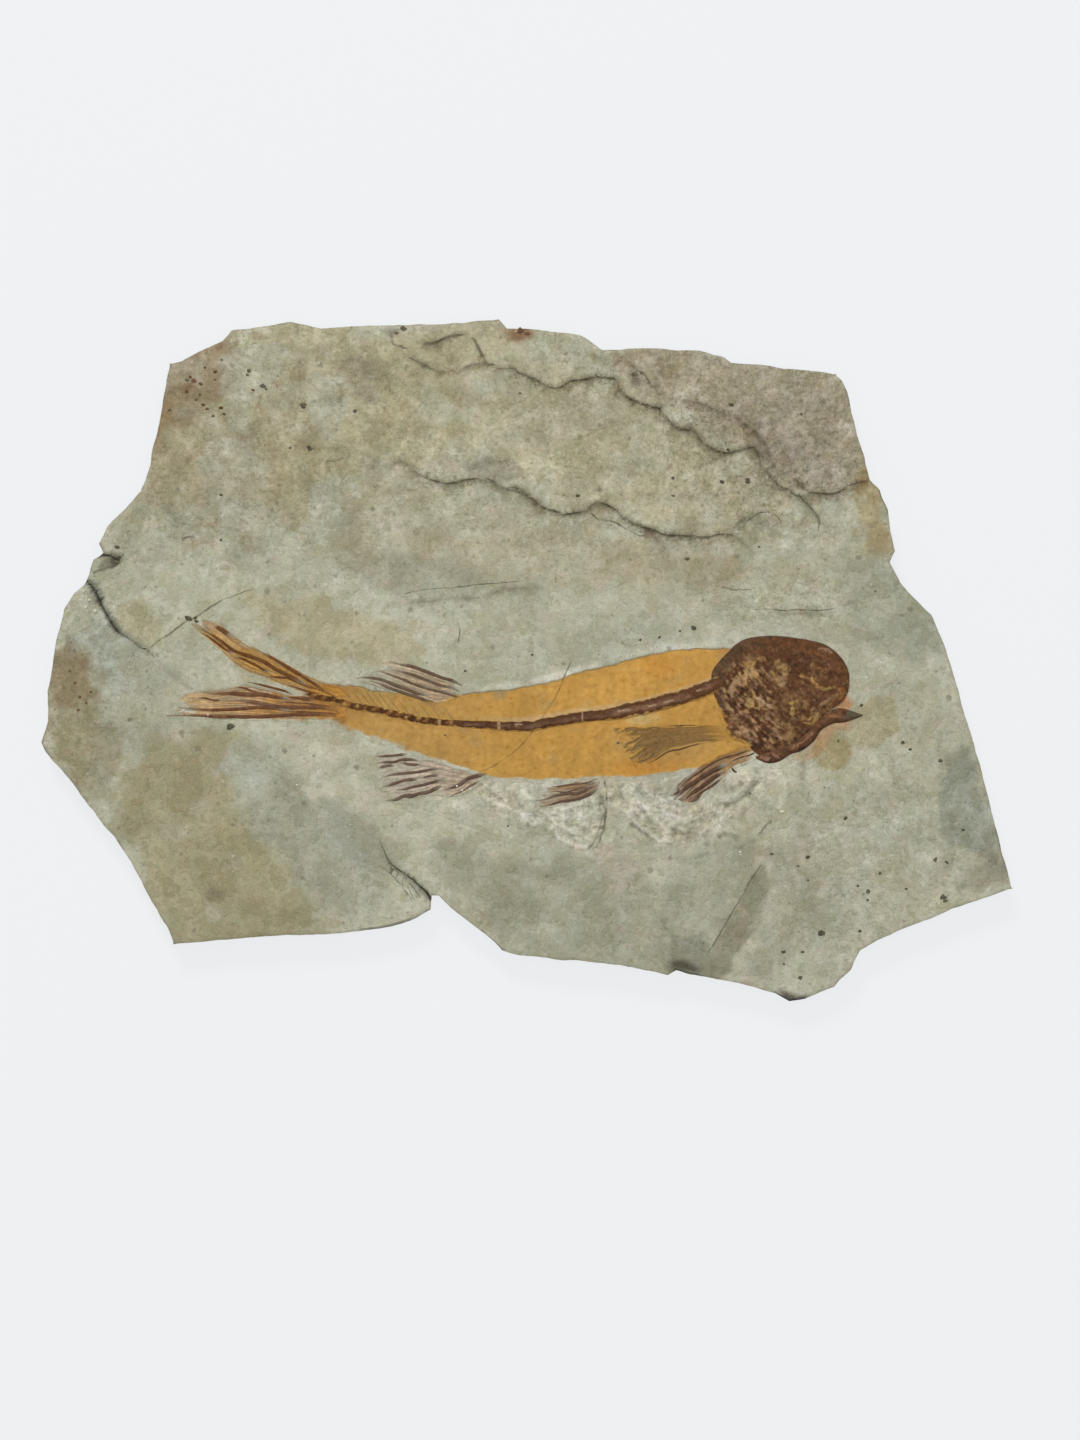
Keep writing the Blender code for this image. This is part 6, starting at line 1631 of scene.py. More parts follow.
def fine_rays(name, fin, count):
    """Faint rays spread evenly between a fin's two edges, each a share v of the way across, with
    uneven ends."""
    upper, lower = evenly(fin["upper"], STATIONS), evenly(fin["lower"], STATIONS)
    number = np.arange(count)
    seed = len(name)
    place = (number + 0.5 + 0.6 * (dice(number, 0, seed) - 0.5)) / count
    place = 0.09 + 0.82 * place
    starts = (dice(number, 1, seed) * 6).astype(int)
    stops = STATIONS - (dice(number, 2, seed) * 5).astype(int)
    return [((1 - v) * lower + v * upper)[a:b] for v, a, b in zip(place, starts, stops)]


def make_fin(name, fin):
    """One mesh of a fin's web and rays, each point with its own colour and cover."""
    web_tip, web_root, cover_tip, cover_root, fine_count, ray_colour, stout = FIN_LOOKS[name]
    pectoral = name == "upper_pectoral_fin"
    grid = ruled(fin["lower"], fin["upper"], WEB_ROWS)
    points, faces, border = thin_sheet(grid, WEB_LIFT)
    rows, columns = np.indices(grid.shape[:2])
    v, u = rows / (grid.shape[0] - 1), columns / (grid.shape[1] - 1)
    x, y = grid[..., 0], grid[..., 1]
    span = np.linalg.norm(grid[-1] - grid[0], axis=1)
    streaks = rough(u * len(fin["upper"]), v * span * 9, 8.0, 131 + len(name), 3)
    fine = rough(u * len(fin["upper"]), v * span * 9, 3.0, 171 + len(name), 3)
    tint = np.array(web_tip) + (np.array(web_root) - np.array(web_tip)) * ramp(0, 0.8, u)[..., None]
    lively = 1.7 if "pectoral" in name else 1.0
    tint = tint * (1 + lively * (0.34 * streaks + 0.30 * fine))[..., None]
    if name == "lower_pectoral_fin":
        tint = tint * (1 + 0.75 * rough(x, y, 3.0, 211, 4) * (1 - ramp(0.4, 0.8, u)))[..., None]
    for mark, half_width, colour, strength in WEB_MARKS.get(name, ()):
        far = np.abs(beside(x, y, curve(mark, 2.0))[0]) / half_width
        tint = towards(tint, colour, strength * (1 - ramp(0.1, 1.3, far + 0.4 * fine)))
    soft = 3.2 if name.startswith("tail") else 1.8
    edge = ramp(-0.2, soft, np.minimum(v, 1 - v) * span + 1.0 * rough(x, y, 4, 133, 4))
    blunt = 0.05 if name == "lower_pectoral_fin" else 0.12
    ends = ramp(0, blunt, u + (0.16 if pectoral else 0.07) * (streaks + 0.5 * fine))
    cover = cover_tip + (cover_root - cover_tip) * ramp(0, 0.7, u)
    cover = cover * edge * ends * (1 + 0.5 * streaks * (1 - ramp(0.4, 0.9, u)) * (cover_root < 1))
    cover = np.clip(cover, 0, 1)
    if not name.startswith("tail"):
        cover = cover * (1 - ramp(0.80, 1.0, u + 0.1 * streaks * pectoral))
    again = np.concatenate([np.arange(cover.size), border])
    parts = [(points, faces)]
    covers = [cover.ravel()[again]]
    tints = [tint.reshape(-1, 3)[again]]
    strong = [(line, stout * width, RAY_HEIGHT * width, 1.0) for line, width in fin["rays"]]
    faint = [(line, *FINE_RAY) for line in fine_rays(name, fin, fine_count)]
    for number, (line, width, height, darkness) in enumerate(strong + faint):
        points, faces, share = rod(line, width, height, 200 + number)
        parts.append((points, faces))
        x, y = points[:, :2].T
        chance = dice(number, 0, len(name))
        base = np.array(ray_colour) if darkness == 1 else (0.5 + 0.35 * chance) * np.array(web_root)
        wear = np.clip(0.55 * (1 - ramp(0, 0.5, share)) + 0.5 * rough(x, y, 3, 141 + number, 3), 0, 1)
        worn = base + (0.6 * np.array(web_tip) - base) * 0.5
        tints.append(towards(np.tile(base, (len(points), 1)), worn, wear))
        fading = 1 - (0.9 if pectoral else 0.5) * ramp(0.75, 1, share)
        covers.append(darkness * (0.50 + 0.50 * ramp(0, 0.3, share)) * fading * (0.8 + 0.2 * chance))
    points, faces = joined(parts)
    return make_piece(f"{name}_rays", points, faces, fin_finish, [name], {
        "rock_tint": ground_tint(*points[:, :2].T), "own_tint": np.vstack(tints),
        "cover": np.concatenate(covers)})


for name, fin in FINS.items():
    make_fin(name, fin)

# %% [markdown]
# ## The backbone
#
# Behind the head the vertebrae are pressed into one dark rod with darker edges; towards the tail
# they part into separate leaning beads over a thin continuous line. The rod is a flattened oval
# carried along the spine. Its colour depends on where a point lies along it and across it, as a
# share q from -1 at the lower edge to 1 at the upper edge. The neural spines are hair-thin ribs
# that rise from it towards the tail.

# %% The backbone with its neural spines
BACKBONE_WIDTHS = np.array([
    (-96, 1.3), (-88, 2.6), (-75, 3.0), (-60, 3.1), (-45, 3.2), (-30, 2.9), (-20, 3.4), (-3, 4.3),
    (14, 4.5), (32, 4.8), (40, 5.9), (48, 6.5), (60, 6.4), (75, 6.2), (84, 5.8)])
BEAD_PITCH = 4.6
BONE = {"gap": (0.215, 0.092, 0.024), "paler_by": (0.22, 0.15, 0.05), "bead": (0.050, 0.019, 0.005),
        "edge": (0.084, 0.034, 0.012), "middle": (0.205, 0.108, 0.060), "streak": (0.13, 0.052, 0.024),
        "joint": (0.44, 0.29, 0.15), "mark": (0.40, 0.28, 0.19), "spine": (0.31, 0.20, 0.075)}
PALE_JOINTS = ((-37.4, 0.9), (-11.9, 1.0), (24.0, 0.4))      # x and half width
PALE_MARKS = [
    ([(39.5, -21.6), (44.5, -21.0)], 0.8),
    ([(52.5, -19.8), (55.5, -18.9)], 0.6),
    ([(73.2, -12.8), (74.8, -12.3)], 0.6),
    ([(-4.5, -27.4), (-2.0, -27.2)], 0.7),
    ([(59, -18.2), (63, -16.8)], 0.5)]
NEURAL_SPINES = [(-97, 8), (-92.5, 8), (-88, 7.5), (-83, 7), (-78.5, 6.5), (-74, 7), (-70, 8), (-66.5, 9),
    (-63.5, 9.5), (-60.5, 9.5), (-57.5, 9), (-54, 8.5), (-50, 8), (-45.5, 7.5), (-41, 7),
    (-36.5, 6.5), (-31, 6)]


def backbone_tint(x, y, along, q):
    """Rear: dark leaning beads, one in each stretch of BEAD_PITCH with its own place, size and
    depth of colour, over a light ground with a dark lower line. Front: dark edges and a purplish
    middle, streaked along the rod."""
    uneven = rough(x, y, 3.0, 151, 3)
    turn = (along - q) / BEAD_PITCH + 0.25 * rough(x, y, 9, 152, 2)
    bead = np.floor(turn).astype(int)
    off = np.abs(turn - bead - 0.35 - 0.3 * dice(bead, 0, 9))
    half = 0.24 + 0.16 * dice(bead, 1, 9)
    off = off + 0.16 * rough(x, y, 1.3, 159, 3) + 0.08 * uneven
    dark = (1 - ramp(0.6 * half, 1.4 * half, off)) * (0.7 + 0.3 * dice(bead, 2, 9))
    dark = np.maximum(dark, ramp(-0.15, -0.7, q + 0.3 * uneven) * (0.65 + 0.5 * rough(x, y, 5, 157, 2)))
    gap = np.array(BONE["gap"]) + np.array(BONE["paler_by"]) * ramp(
        0.05, 0.6, rough(x, y, 2.2, 158, 3))[:, None]
    rear = gap + (np.array(BONE["bead"]) - gap) * np.clip(dark, 0, 1)[:, None]
    streak = rough(along, 5 * q, 4.0, 153, 3)
    middle = ramp(0.75, 0.1, np.abs(q + 0.05 + 0.35 * uneven))
    front = towards(np.tile(BONE["edge"], (len(x), 1)), BONE["middle"],
                    middle * ramp(-0.5, 0.5, streak))
    front = towards(front, BONE["streak"], 0.5 * ramp(0.1, 0.6, -streak))
    front = front * (0.86 + 0.20 * ramp(10, 50, x))[:, None]
    tint = rear + (front - rear) * ramp(-36, -27, x)[:, None]
    for place, half in PALE_JOINTS:
        tint = towards(tint, BONE["joint"], 0.75 * (1 - ramp(0.3, 1, np.abs(x - place) / half)))
    for mark, width in PALE_MARKS:
        far = np.abs(beside(x, y, np.array(mark, float))[0]) + 0.3 * uneven
        tint = towards(tint, BONE["mark"], 0.8 * (1 - ramp(0.2, 1, far / width)))
    return tint


sides = 26
along = length_of(BACKBONE)
direction = np.gradient(BACKBONE, axis=0)
direction /= np.linalg.norm(direction, axis=1, keepdims=True)
aside = np.column_stack([-direction[:, 1], direction[:, 0]])
angle = np.linspace(0, 2 * np.pi, sides, endpoint=False)
width = np.interp(BACKBONE[:, 0], *BACKBONE_WIDTHS.T)
on_line, on_section = np.broadcast_arrays(along[:, None], 20 * np.cos(angle))
q = np.cos(angle)[None] * (1 + 0.10 * rough(on_line, on_section, 3.0, 154, 2))
place = BACKBONE[:, None] + aside[:, None] * (q * width[:, None] / 2)[..., None]
x, y = place.reshape(-1, 2).T
flat_along, flat_q = np.repeat(along, sides), q.ravel()
tint = backbone_tint(x, y, flat_along, flat_q)
crown = (0.10 + 0.08 * ramp(-40, -15, BACKBONE[:, :1])) * width[:, None] * np.clip(np.sin(angle), 0, 1) ** 0.8
lump = 0.80 + 0.6 * np.clip(0.30 - tint.mean(1), -0.1, 0.2) + 0.12 * rough(x, y, 2.2, 155, 2)
z = rock_height(x, y) + 0.1 + crown.ravel() * lump - 0.35 * (np.sin(np.tile(angle, len(along))) < -0.01)
ring = np.arange(sides)
rod_faces = [quads(len(along), sides, closed=True),
             np.stack([ring[::-1], (len(along) - 1) * sides + ring])]
edge = ramp(1.05, 0.70, np.abs(flat_q) + (0.22 + 0.28 * ramp(-20, -40, x)) * rough(x, y, 1.8, 156, 3))
parts, tints, covers = [(np.column_stack([x, y, z]), rod_faces)], [tint], [edge * ramp(-97, -92, x)]
for number, (root, height) in enumerate(NEURAL_SPINES):
    start = np.array([root, np.interp(root, *BACKBONE.T) + 1.0])
    reach = height * (0.8 + 0.4 * dice(number, 0, 7))
    bend = start + reach * np.array([-0.42, 0.55])
    points, faces, share = rod([start + reach * np.array([-0.75, 1.0]), bend, start], 0.45, 0.10,
                               300 + number, 0.5, 8)
    parts.append((points, faces))
    tints.append(np.tile(BONE["spine"], (len(points), 1)))
    covers.append(0.30 + 0.55 * ramp(0.1, 0.9, share))
points, faces = joined(parts)
make_piece("backbone_rod", points, faces, bone_finish, ["backbone"], {
    "rock_tint": ground_tint(*points[:, :2].T), "own_tint": np.vstack(tints),
    "cover": np.concatenate(covers)})

# %% [markdown]
# ## The skull
#
# The skull burst under the weight of mud into a low dome of splinters: a smooth roof bone round
# the top, a mottled net of tan and dark behind the eye, golden flecks of soft tissue between.
# The surface is polar: spokes run from the middle to the outline, and z is a dome plus crushed
# ridges. The marks are lines; each paints its colour and lifts or sinks the bone.

# %% The crushed skull
SKULL_OUTLINE = curve([
    (97.5, 10.3), (107, 10.9), (120, 9.3), (129, 6.8), (135, 2), (138.5, -4), (139, -9), (138.2, -14),
    (135.5, -18), (131, -21.3), (127, -24.8), (123.5, -28.6), (119.3, -32.6), (113.5, -36.5),
    (107.5, -39), (101.5, -41), (97, -39), (93, -35.5), (86.5, -33), (83, -25.5), (81.2, -18),
    (79.3, -6.5), (82.5, -0.5), (88, 5.5), (92.5, 8.8)], 0.5, closed=True)
SKULL_MIDDLE = (109, -12)
SKULL_RISE = 2.2
GOLD, TAN, PINK, RED, DARK = ((0.44, 0.27, 0.085), (0.42, 0.27, 0.145), (0.38, 0.215, 0.130),
                              (0.23, 0.085, 0.028), (0.036, 0.016, 0.007))
SKULL_MARKS = [
    # points of the mark, half width, colour, strength, lift in mm
    ([(126, 5.6), (128.5, 5.0), (131, 4.1)], 0.55, (0.36, 0.25, 0.16), 0.8, 0.1),
    ([(118, 4.6), (123, 3.4), (128, 2.4)], 0.5, RED, 0.6, 0.1),
    ([(93.5, -1.3), (96.5, -0.6), (99.5, 0.6), (101.5, 0.4)], 0.9, GOLD, 0.85, 0.15),
    ([(97, -2.5), (98, -5), (98.5, -7)], 1.0, GOLD, 0.7, 0.1),
    ([(100.6, -1.5), (101.5, -3.5), (101, -5)], 0.7, (0.34, 0.22, 0.09), 0.7, 0.1),
    ([(108, -1.2), (109.2, -3.2), (111, -5)], 1.3, (0.43, 0.29, 0.11), 0.9, 0.25),
    ([(106, -5), (107.5, -7), (109.5, -9.5)], 0.9, GOLD, 0.75, 0.15),
    ([(109.5, -6.5), (110.5, -8), (110, -9.5)], 1.2, (0.38, 0.24, 0.14), 0.8, 0.15),
    ([(118.1, -6.6), (121, -7.4), (124, -9), (126.6, -11.2)], 0.75, GOLD, 0.9, 0.25),
    ([(127.5, -11.6), (130.6, -11.9), (133, -11.3)], 0.7, (0.36, 0.25, 0.07), 0.8, 0.15),
    ([(133.6, -14.4), (129.6, -16.9), (126.6, -19.4)], 0.55, (0.34, 0.215, 0.105), 0.75, 0.1),
    ([(99.4, -16.4), (101, -18), (103, -18.6), (104.6, -19.4)], 0.65, (0.47, 0.32, 0.21), 0.9, 0.2),
    ([(113, -18.2), (115.8, -18.4)], 0.5, (0.50, 0.35, 0.10), 0.9, 0.1),
    ([(114.4, -20.6), (114.8, -22.5)], 0.6, (0.52, 0.37, 0.12), 0.9, 0.1),
    ([(119.2, -24.6), (122, -24.2), (125.6, -23.2)], 0.8, (0.40, 0.27, 0.10), 0.8, 0.1),
    ([(120.3, -27), (122.5, -26.6), (125, -24.8)], 0.6, GOLD, 0.75, 0.1),
    ([(107.5, -27), (108, -29), (107.5, -31)], 0.8, (0.34, 0.22, 0.12), 0.7, 0.1),
    ([(111, -27.5), (113, -29.5), (112.5, -31)], 1.0, (0.34, 0.21, 0.085), 0.75, 0.1),
    ([(107, -32.6), (109.5, -33), (112.4, -34.2)], 0.6, (0.42, 0.26, 0.17), 0.8, 0.2),
    ([(118, -33.5), (120, -32.5)], 0.5, PINK, 0.7, 0.1),
    ([(90, -9), (88.6, -12), (88.5, -15)], 0.8, TAN, 0.7, 0.15),
    ([(92, -7), (93.5, -9), (93, -11.5)], 0.7, TAN, 0.6, 0.1),
    ([(95.5, -4), (95.8, -6.5)], 0.7, (0.36, 0.24, 0.12), 0.6, 0.1),
    ([(97, -11.5), (99.5, -9), (101, -9.5)], 0.9, PINK, 0.6, 0.1),
    ([(100, -8), (101.5, -11), (101.8, -14)], 1.0, (0.28, 0.18, 0.07), 0.6, 0.1),
    ([(91, -21), (93.5, -23.5), (96, -25)], 0.8, PINK, 0.6, 0.15),
    ([(88, -22), (91, -26), (95, -30)], 0.7, TAN, 0.5, 0.1),
    ([(98, -27.5), (100.5, -29.5)], 0.9, PINK, 0.6, 0.15),
    ([(92, -31), (94.5, -32)], 0.9, (0.36, 0.25, 0.15), 0.6, 0.1),
    ([(97.5, -33), (99, -34.5)], 0.7, PINK, 0.7, 0.1),
    ([(103, -36), (106, -37.5)], 0.7, PINK, 0.5, 0.1),
    ([(135.3, -12.5), (135.6, -14.5), (134.5, -16.2)], 0.8, (0.36, 0.16, 0.035), 0.8, 0.0),
    ([(81, -7), (82.5, -3), (86, 1.5)], 1.0, (0.115, 0.065, 0.030), 0.7, 0.0),
    ([(82.6, -5), (82.7, -12), (83.6, -20)], 1.2, (0.080, 0.044, 0.034), 0.85, -0.05),
    ([(103.5, 0.8), (104.5, -1.2)], 0.7, DARK, 0.85, -0.2),
    ([(112, 0.4), (114.5, -0.8), (116, -2.5)], 0.9, DARK, 0.7, -0.2),
    ([(93.1, -17.4), (93.3, -19)], 0.5, DARK, 0.95, -0.3),
    ([(87, -10), (86.3, -14), (86.8, -18)], 0.6, DARK, 0.7, -0.2),
    ([(94.5, -34.2), (96.5, -35.2), (98, -36.8)], 0.7, DARK, 0.85, -0.25),
    ([(95, -26), (100, -31), (104, -34)], 0.5, DARK, 0.6, -0.2),
    ([(104, -24), (109, -25.5), (116, -28)], 0.5, DARK, 0.4, -0.15),
    ([(112, -35), (116, -33), (119, -30)], 0.8, DARK, 0.5, -0.2)]


def skull_surface(x, y, share):
    """The skull's height over the rock and its colour. share is 0 in the middle and 1 at the
    outline; the dome is 1 - share^3, and the splinters are |rough| noise, sharp at its creases."""
    lumps = rough(x, y, 3.6, 161, 4)
    chips = rough(0.5 * (x - y), x + y, 1.6, 162, 4)
    mixed = 0.5 * lumps + 0.85 * chips
    net = np.maximum(patch(x, y, (94, -13), (16, 17), 0), patch(x, y, (100, -31), (18, 10), -10))
    net = np.maximum(net, 0.28 * patch(x, y, (127, -3), (11, 6), -25))
    net = np.maximum(net, 0.32 * patch(x, y, (112, -20), (22, 14), -20))
    net = net * ramp(0.5, 3.0, x - 80.5 + 1.2 * lumps)
    inward = inside(x, y, SKULL_OUTLINE)
    roof = (1 - ramp(3.5, 7.5, inward + 1.2 * rough(x, y, 6, 163, 2))) * ramp(-14, -2, y)
    net = net * (1 - 0.9 * roof)
    tint = np.tile((0.104, 0.042, 0.016), (len(x), 1))
    tint = towards(tint, (0.092, 0.048, 0.022), roof * ramp(112, 90, x))
    tint = towards(tint, (0.112, 0.049, 0.019), roof * ramp(112, 128, x))
    tint = towards(tint, (0.135, 0.062, 0.032), 0.5 * patch(x, y, (124, -15), (10, 4), -10))
    tint = tint * (1 + 0.30 * rough(x * 0.4, y + 0.25 * x, 3.0, 176, 3))[:, None]
    warm = towards(np.array((0.38, 0.235, 0.125)), (0.39, 0.25, 0.100),
                   ramp(-0.4, 0.4, rough(x, y, 6, 164, 2)))
    tint = towards(tint, warm, 0.88 * net * ramp(-0.08, 0.50, mixed))
    tint = towards(tint, DARK, 0.72 * net * ramp(0.10, 0.50, -mixed))
    flecks = (1 - roof) * ramp(0.25, 0.75, rough(x, y, 1.7, 168, 3))
    tint = towards(tint, 0.8 * warm, 0.40 * flecks)
    tint = towards(tint, DARK, 0.40 * (1 - 0.8 * roof) * ramp(0.30, 0.8, rough(x, y, 2.1, 169, 3)))
    z = 0.22 + SKULL_RISE * 0.66 * (1 - share ** 3)
    z = z + net * (0.30 * (1 - np.abs(lumps)) + 0.22 * mixed) + 0.10 * (1 - net) * lumps
    waver = 1.1 * rough(x, y, 1.5, 165, 3)
    broken = 0.45 + 0.55 * ramp(-0.5, 0.3, rough(x, y, 1.1, 177, 3))
    x, y = x + 1.0 * rough(x, y, 3.5, 170, 3), y + 1.0 * rough(x, y, 3.5, 174, 3)
    for points, half_width, colour, strength, lift in SKULL_MARKS:
        far = np.abs(beside(x, y, curve(points, 1.0))[0]) / half_width + waver
        mark = broken * (1 - ramp(0.1, 1.9, far))
        tint = towards(tint, colour, 0.8 * strength * mark)
        z = z + lift * mark
    tint = tint * (1 + 0.24 * rough(x, y, 1.0, 166, 2) + 0.08 * rough(x, y, 8, 167, 2))[:, None]
    rim = 1 - ramp(0.0, 1.2, inward)
    return z * (1 - 0.75 * rim), towards(tint, (0.075, 0.038, 0.018), 0.5 * rim)


def skull_cover(x, y):
    """Full, but thinning to skin over 5 mm at the lower left, where the bone is broken up."""
    inward = inside(x, y, SKULL_OUTLINE)
    torn = ramp(-14, -24, y) * ramp(100, 88, x)
    reach = inward + 2.4 * torn * rough(x, y, 2.6, 175, 3)
    return ramp(-0.3, 0.6 + 4.5 * torn, reach)


spokes, rings = 440, 92
out = evenly(np.vstack([SKULL_OUTLINE, SKULL_OUTLINE[:1]]), spokes + 1)[:-1][::-1]
share = 1 - (1 - np.linspace(0, 1, rings + 1)[1:]) ** 1.15
middle = np.array(SKULL_MIDDLE, float)
plan = (middle + share[:, None, None] * (out - middle)[None]).reshape(-1, 2)
plan = np.vstack([plan, middle])
skull_share = np.append(np.repeat(share, spokes), 0.0)
x, y = plan.T
rise, tint = skull_surface(x, y, skull_share)
top = np.column_stack([x, y, rock_height(x, y) + rise])
foot = np.column_stack([out, rock_height(*out.T) - SKIRT_DEPTH])
numbers = np.arange(spokes)
last = (rings - 1) * spokes + numbers
below = len(top) + numbers
hub = np.full(spokes, len(top) - 1)
skull_faces = [quads(rings, spokes, closed=True)[:, ::-1],
               np.column_stack([hub, numbers, np.roll(numbers, -1)]),
               np.column_stack([last, below, np.roll(below, -1), np.roll(last, -1)]),
               below[::-1][None]]
points = np.vstack([top, foot])
make_piece("crushed_skull", points, skull_faces, skull_finish, ["skull"], {
    "rock_tint": ground_tint(*points[:, :2].T), "own_tint": np.vstack([tint, tint[last]]),
    "cover": np.concatenate([skull_cover(x, y), np.full(spokes, 0.4)])}, crease=70.0)

# %% [markdown]
# ## The lower jaw
#
# A single curved bar, pointed in front, with a rounded back: ruled between its upper and lower
# edge like the skin, but crowned by (4 v (1 - v))^0.6, which gives it a round section.

# %% The jaw bar
JAW_UPPER = curve([
    (144.6, -23.2), (140.5, -21.7), (136, -20.4), (131.5, -21), (127.5, -23.8), (124, -27.6),
    (119.8, -32), (114, -35.5), (108, -37.5), (102, -39.7), (98.6, -41)], 0.4)
JAW_LOWER = curve([
    (144.6, -23.7), (137, -26.3), (131.5, -27), (126.5, -30), (123.5, -34.5), (118.5, -38.5),
    (113.5, -40.2), (109, -43), (104, -44), (98.6, -42)], 0.4)
JAW_ROWS = 26
JAW_MARKS = [
    # the first mark is a painted highlight along the bar
    ([(123, -31.2), (121, -32.8), (118.5, -35), (114.6, -37.2)], 0.6, (0.24, 0.125, 0.070)),
    ([(138, -23.6), (141, -23.2), (144, -23.3)], 1.8, (0.100, 0.085, 0.052)),
    ([(131, -23.5), (134, -24)], 0.7, (0.27, 0.13, 0.06)),
    ([(101, -41.5), (104, -42.5)], 0.8, (0.33, 0.19, 0.13)),
    ([(106, -40), (108.5, -41.8)], 0.7, (0.33, 0.20, 0.13)),
    ([(113, -38.8), (116, -38.6), (119, -37)], 0.6, DARK)]
grid = ruled(JAW_LOWER[::-1], JAW_UPPER[::-1], JAW_ROWS)
rows, columns = np.indices(grid.shape[:2])
v = rows / (grid.shape[0] - 1)
x, y = grid[..., 0], grid[..., 1]
span = np.linalg.norm(grid[-1] - grid[0], axis=1)
crown = 0.1 + np.minimum(0.9, 0.20 * span) * (4 * v * (1 - v)) ** 0.6
crown = crown * (1 + 0.22 * rough(x, y, 2.0, 171, 4))
points, faces, border = thin_sheet(grid, crown.ravel())
x, y = points[:, :2].T
tint = np.tile((0.130, 0.058, 0.026), (len(x), 1)) * (1 + 0.5 * rough(x, y, 2.0, 172, 4))[:, None]
for marks, half_width, colour in JAW_MARKS:
    far = np.abs(beside(x, y, curve(marks, 1.0))[0]) / half_width + 0.9 * rough(x, y, 1.0, 173, 3)
    tint = towards(tint, colour, 0.85 * (1 - ramp(0.3, 1.15, far)))
lower_side = np.concatenate([v.ravel(), v.ravel()[border]])
# painted shade along the bar's lower edge
tint = towards(tint, (0.06, 0.03, 0.018), 0.5 * (1 - ramp(0.05, 0.35, lower_side)))
make_piece("jaw_bar", points, faces, skull_finish, ["lower_jaw"], {
    "rock_tint": ground_tint(x, y), "own_tint": tint,
    "cover": np.concatenate([np.ones(v.size), np.full(len(border), 0.5)])})

# %% [markdown]
# ## Grains, crumbs and the lowest layer
#
# Dark grains of pyrite, rusty ones in the upper left corner and pale crumbs of chipped shale lie
# on the rock, larger than the finish's own specks. They are flat ragged domes of a few faces
# each, and each kind is one mesh. The last layer of shale lies under the slab, set
# back from its rim and resting on the table.

# %% Dark grains and the lowest lamina
DARK_GRAINS = [
    # x, y, radius
    (-120, 123, 1), (-112, 117, 0.9), (-134, 121, 0.7), (-96, 109, 1), (-93, 91, 1.2), (-74, 107, 0.7),
    (88, 110, 1.3), (84, 77, 1.2), (95, 78, 1), (63, 71, 0.9), (118, 106, 0.9), (-127, -28, 1.7),
    (178, -43, 1.3), (162, -35, 0.9), (165, -38, 0.9), (137, -68, 0.9), (147, -99, 1.2), (180, -103, 1.4),
    (127, -117, 1.6), (176, -85, 0.9), (181, -87, 0.7), (111, -125, 0.9), (119, -125, 0.7),
    (118, -136, 0.7), (72, 14, 1.2), (49, 9, 0.7), (57, 10, 0.7), (66, 13, 0.6), (-146, 18.5, 1.4),
    (-142, 17, 1.3), (-176, 49, 1.4), (144, -19, 1), (134, -34.5, 0.9), (22, 71, 1), (46, 123, 1.2),
    (-56, 141, 1.3), (-53, 143, 1.6), (100, 49, 0.7), (-35, -32, 0.6), (-8, -71, 0.7), (96, -57, 0.7),
    (150, 30, 0.7), (146.8, -102.8, 0.7), (152, -91.2, 1), (175.7, -85.6, 1), (180.4, -86.4, 0.9),
    (179.1, -101.5, 1.7), (163.2, -98, 0.8), (142.5, -96.8, 0.9), (126.6, -117, 1.9), (143.4, -116.1, 1),
    (110.3, -125.1, 1), (118.5, -125.1, 0.8), (110.7, -130.3, 0.7), (117.6, -136.3, 1.1),
    (121, -84.3, 1.3), (116.7, -88.2, 0.8), (105.6, -83, 0.9), (121, -94.2, 0.7), (187.7, -72.7, 0.8),
    (177.8, -42.6, 0.8), (161.5, -35.3, 0.9), (137.4, -67.5, 0.9), (146.8, -99.3, 1.1),
    (-119.3, 124.7, 1.2), (-113.3, 118.2, 1.5), (-96.1, 110.1, 1.6), (-73.7, 107.5, 1.1),
    (-93.5, 91.6, 1.4), (-131.4, 52, 0.8), (-106.9, 122.5, 0.6), (-131.4, 71.4, 0.9), (47.1, 123, 1.2),
    (49.2, 123.8, 0.9), (69, 43.9, 1.2), (63, 78.7, 0.9), (86.6, 90.7, 1.1), (95.2, 77, 1.2),
    (-127.5, -28.4, 2), (-144.7, 18.1, 1.6), (-142.5, 18.5, 1.1), (71.6, 14.6, 1), (57.4, 10.3, 0.6),
    (48.8, 9, 0.6), (66, 12.9, 0.6), (2.4, 2.6, 0.8), (-26.4, -4.3, 0.7), (39.3, -35.3, 0.8),
    (-176.5, 42.6, 1.6), (-175.2, 44.3, 1.1), (-146, 120.8, 1), (-153.3, 107.9, 1), (-101.7, 91.6, 0.8),
    (-2.8, 115.2, 0.7)]
RUST_GRAINS = [
    # x, y, radius
    (-143, 120.4, 1.7), (-140, 119.1, 1.2), (-144.7, 122.1, 1), (-139.1, 110.1, 1), (-142.1, 112.2, 0.8),
    (-137.4, 108.4, 0.9), (-131.4, 108.8, 1.2), (-130.1, 106.2, 0.8), (-133.9, 124.3, 1),
    (-117.6, 116.5, 0.9), (-2.8, 141.9, 1.8), (0.2, 140.6, 1.3), (-140.4, 114.4, 0.8), (-146, 115.7, 0.9),
    (-134.8, 105.3, 0.8), (-194.1, -9.5, 0.9), (-192, -15.5, 1), (-189.4, -18.1, 0.8),
    (-192.9, -21.1, 0.9), (-196.3, -4.3, 0.7), (-187.3, -13.3, 0.7), (-138.2, 126.1, 0.8),
    (-131, 129.5, 0.6)]
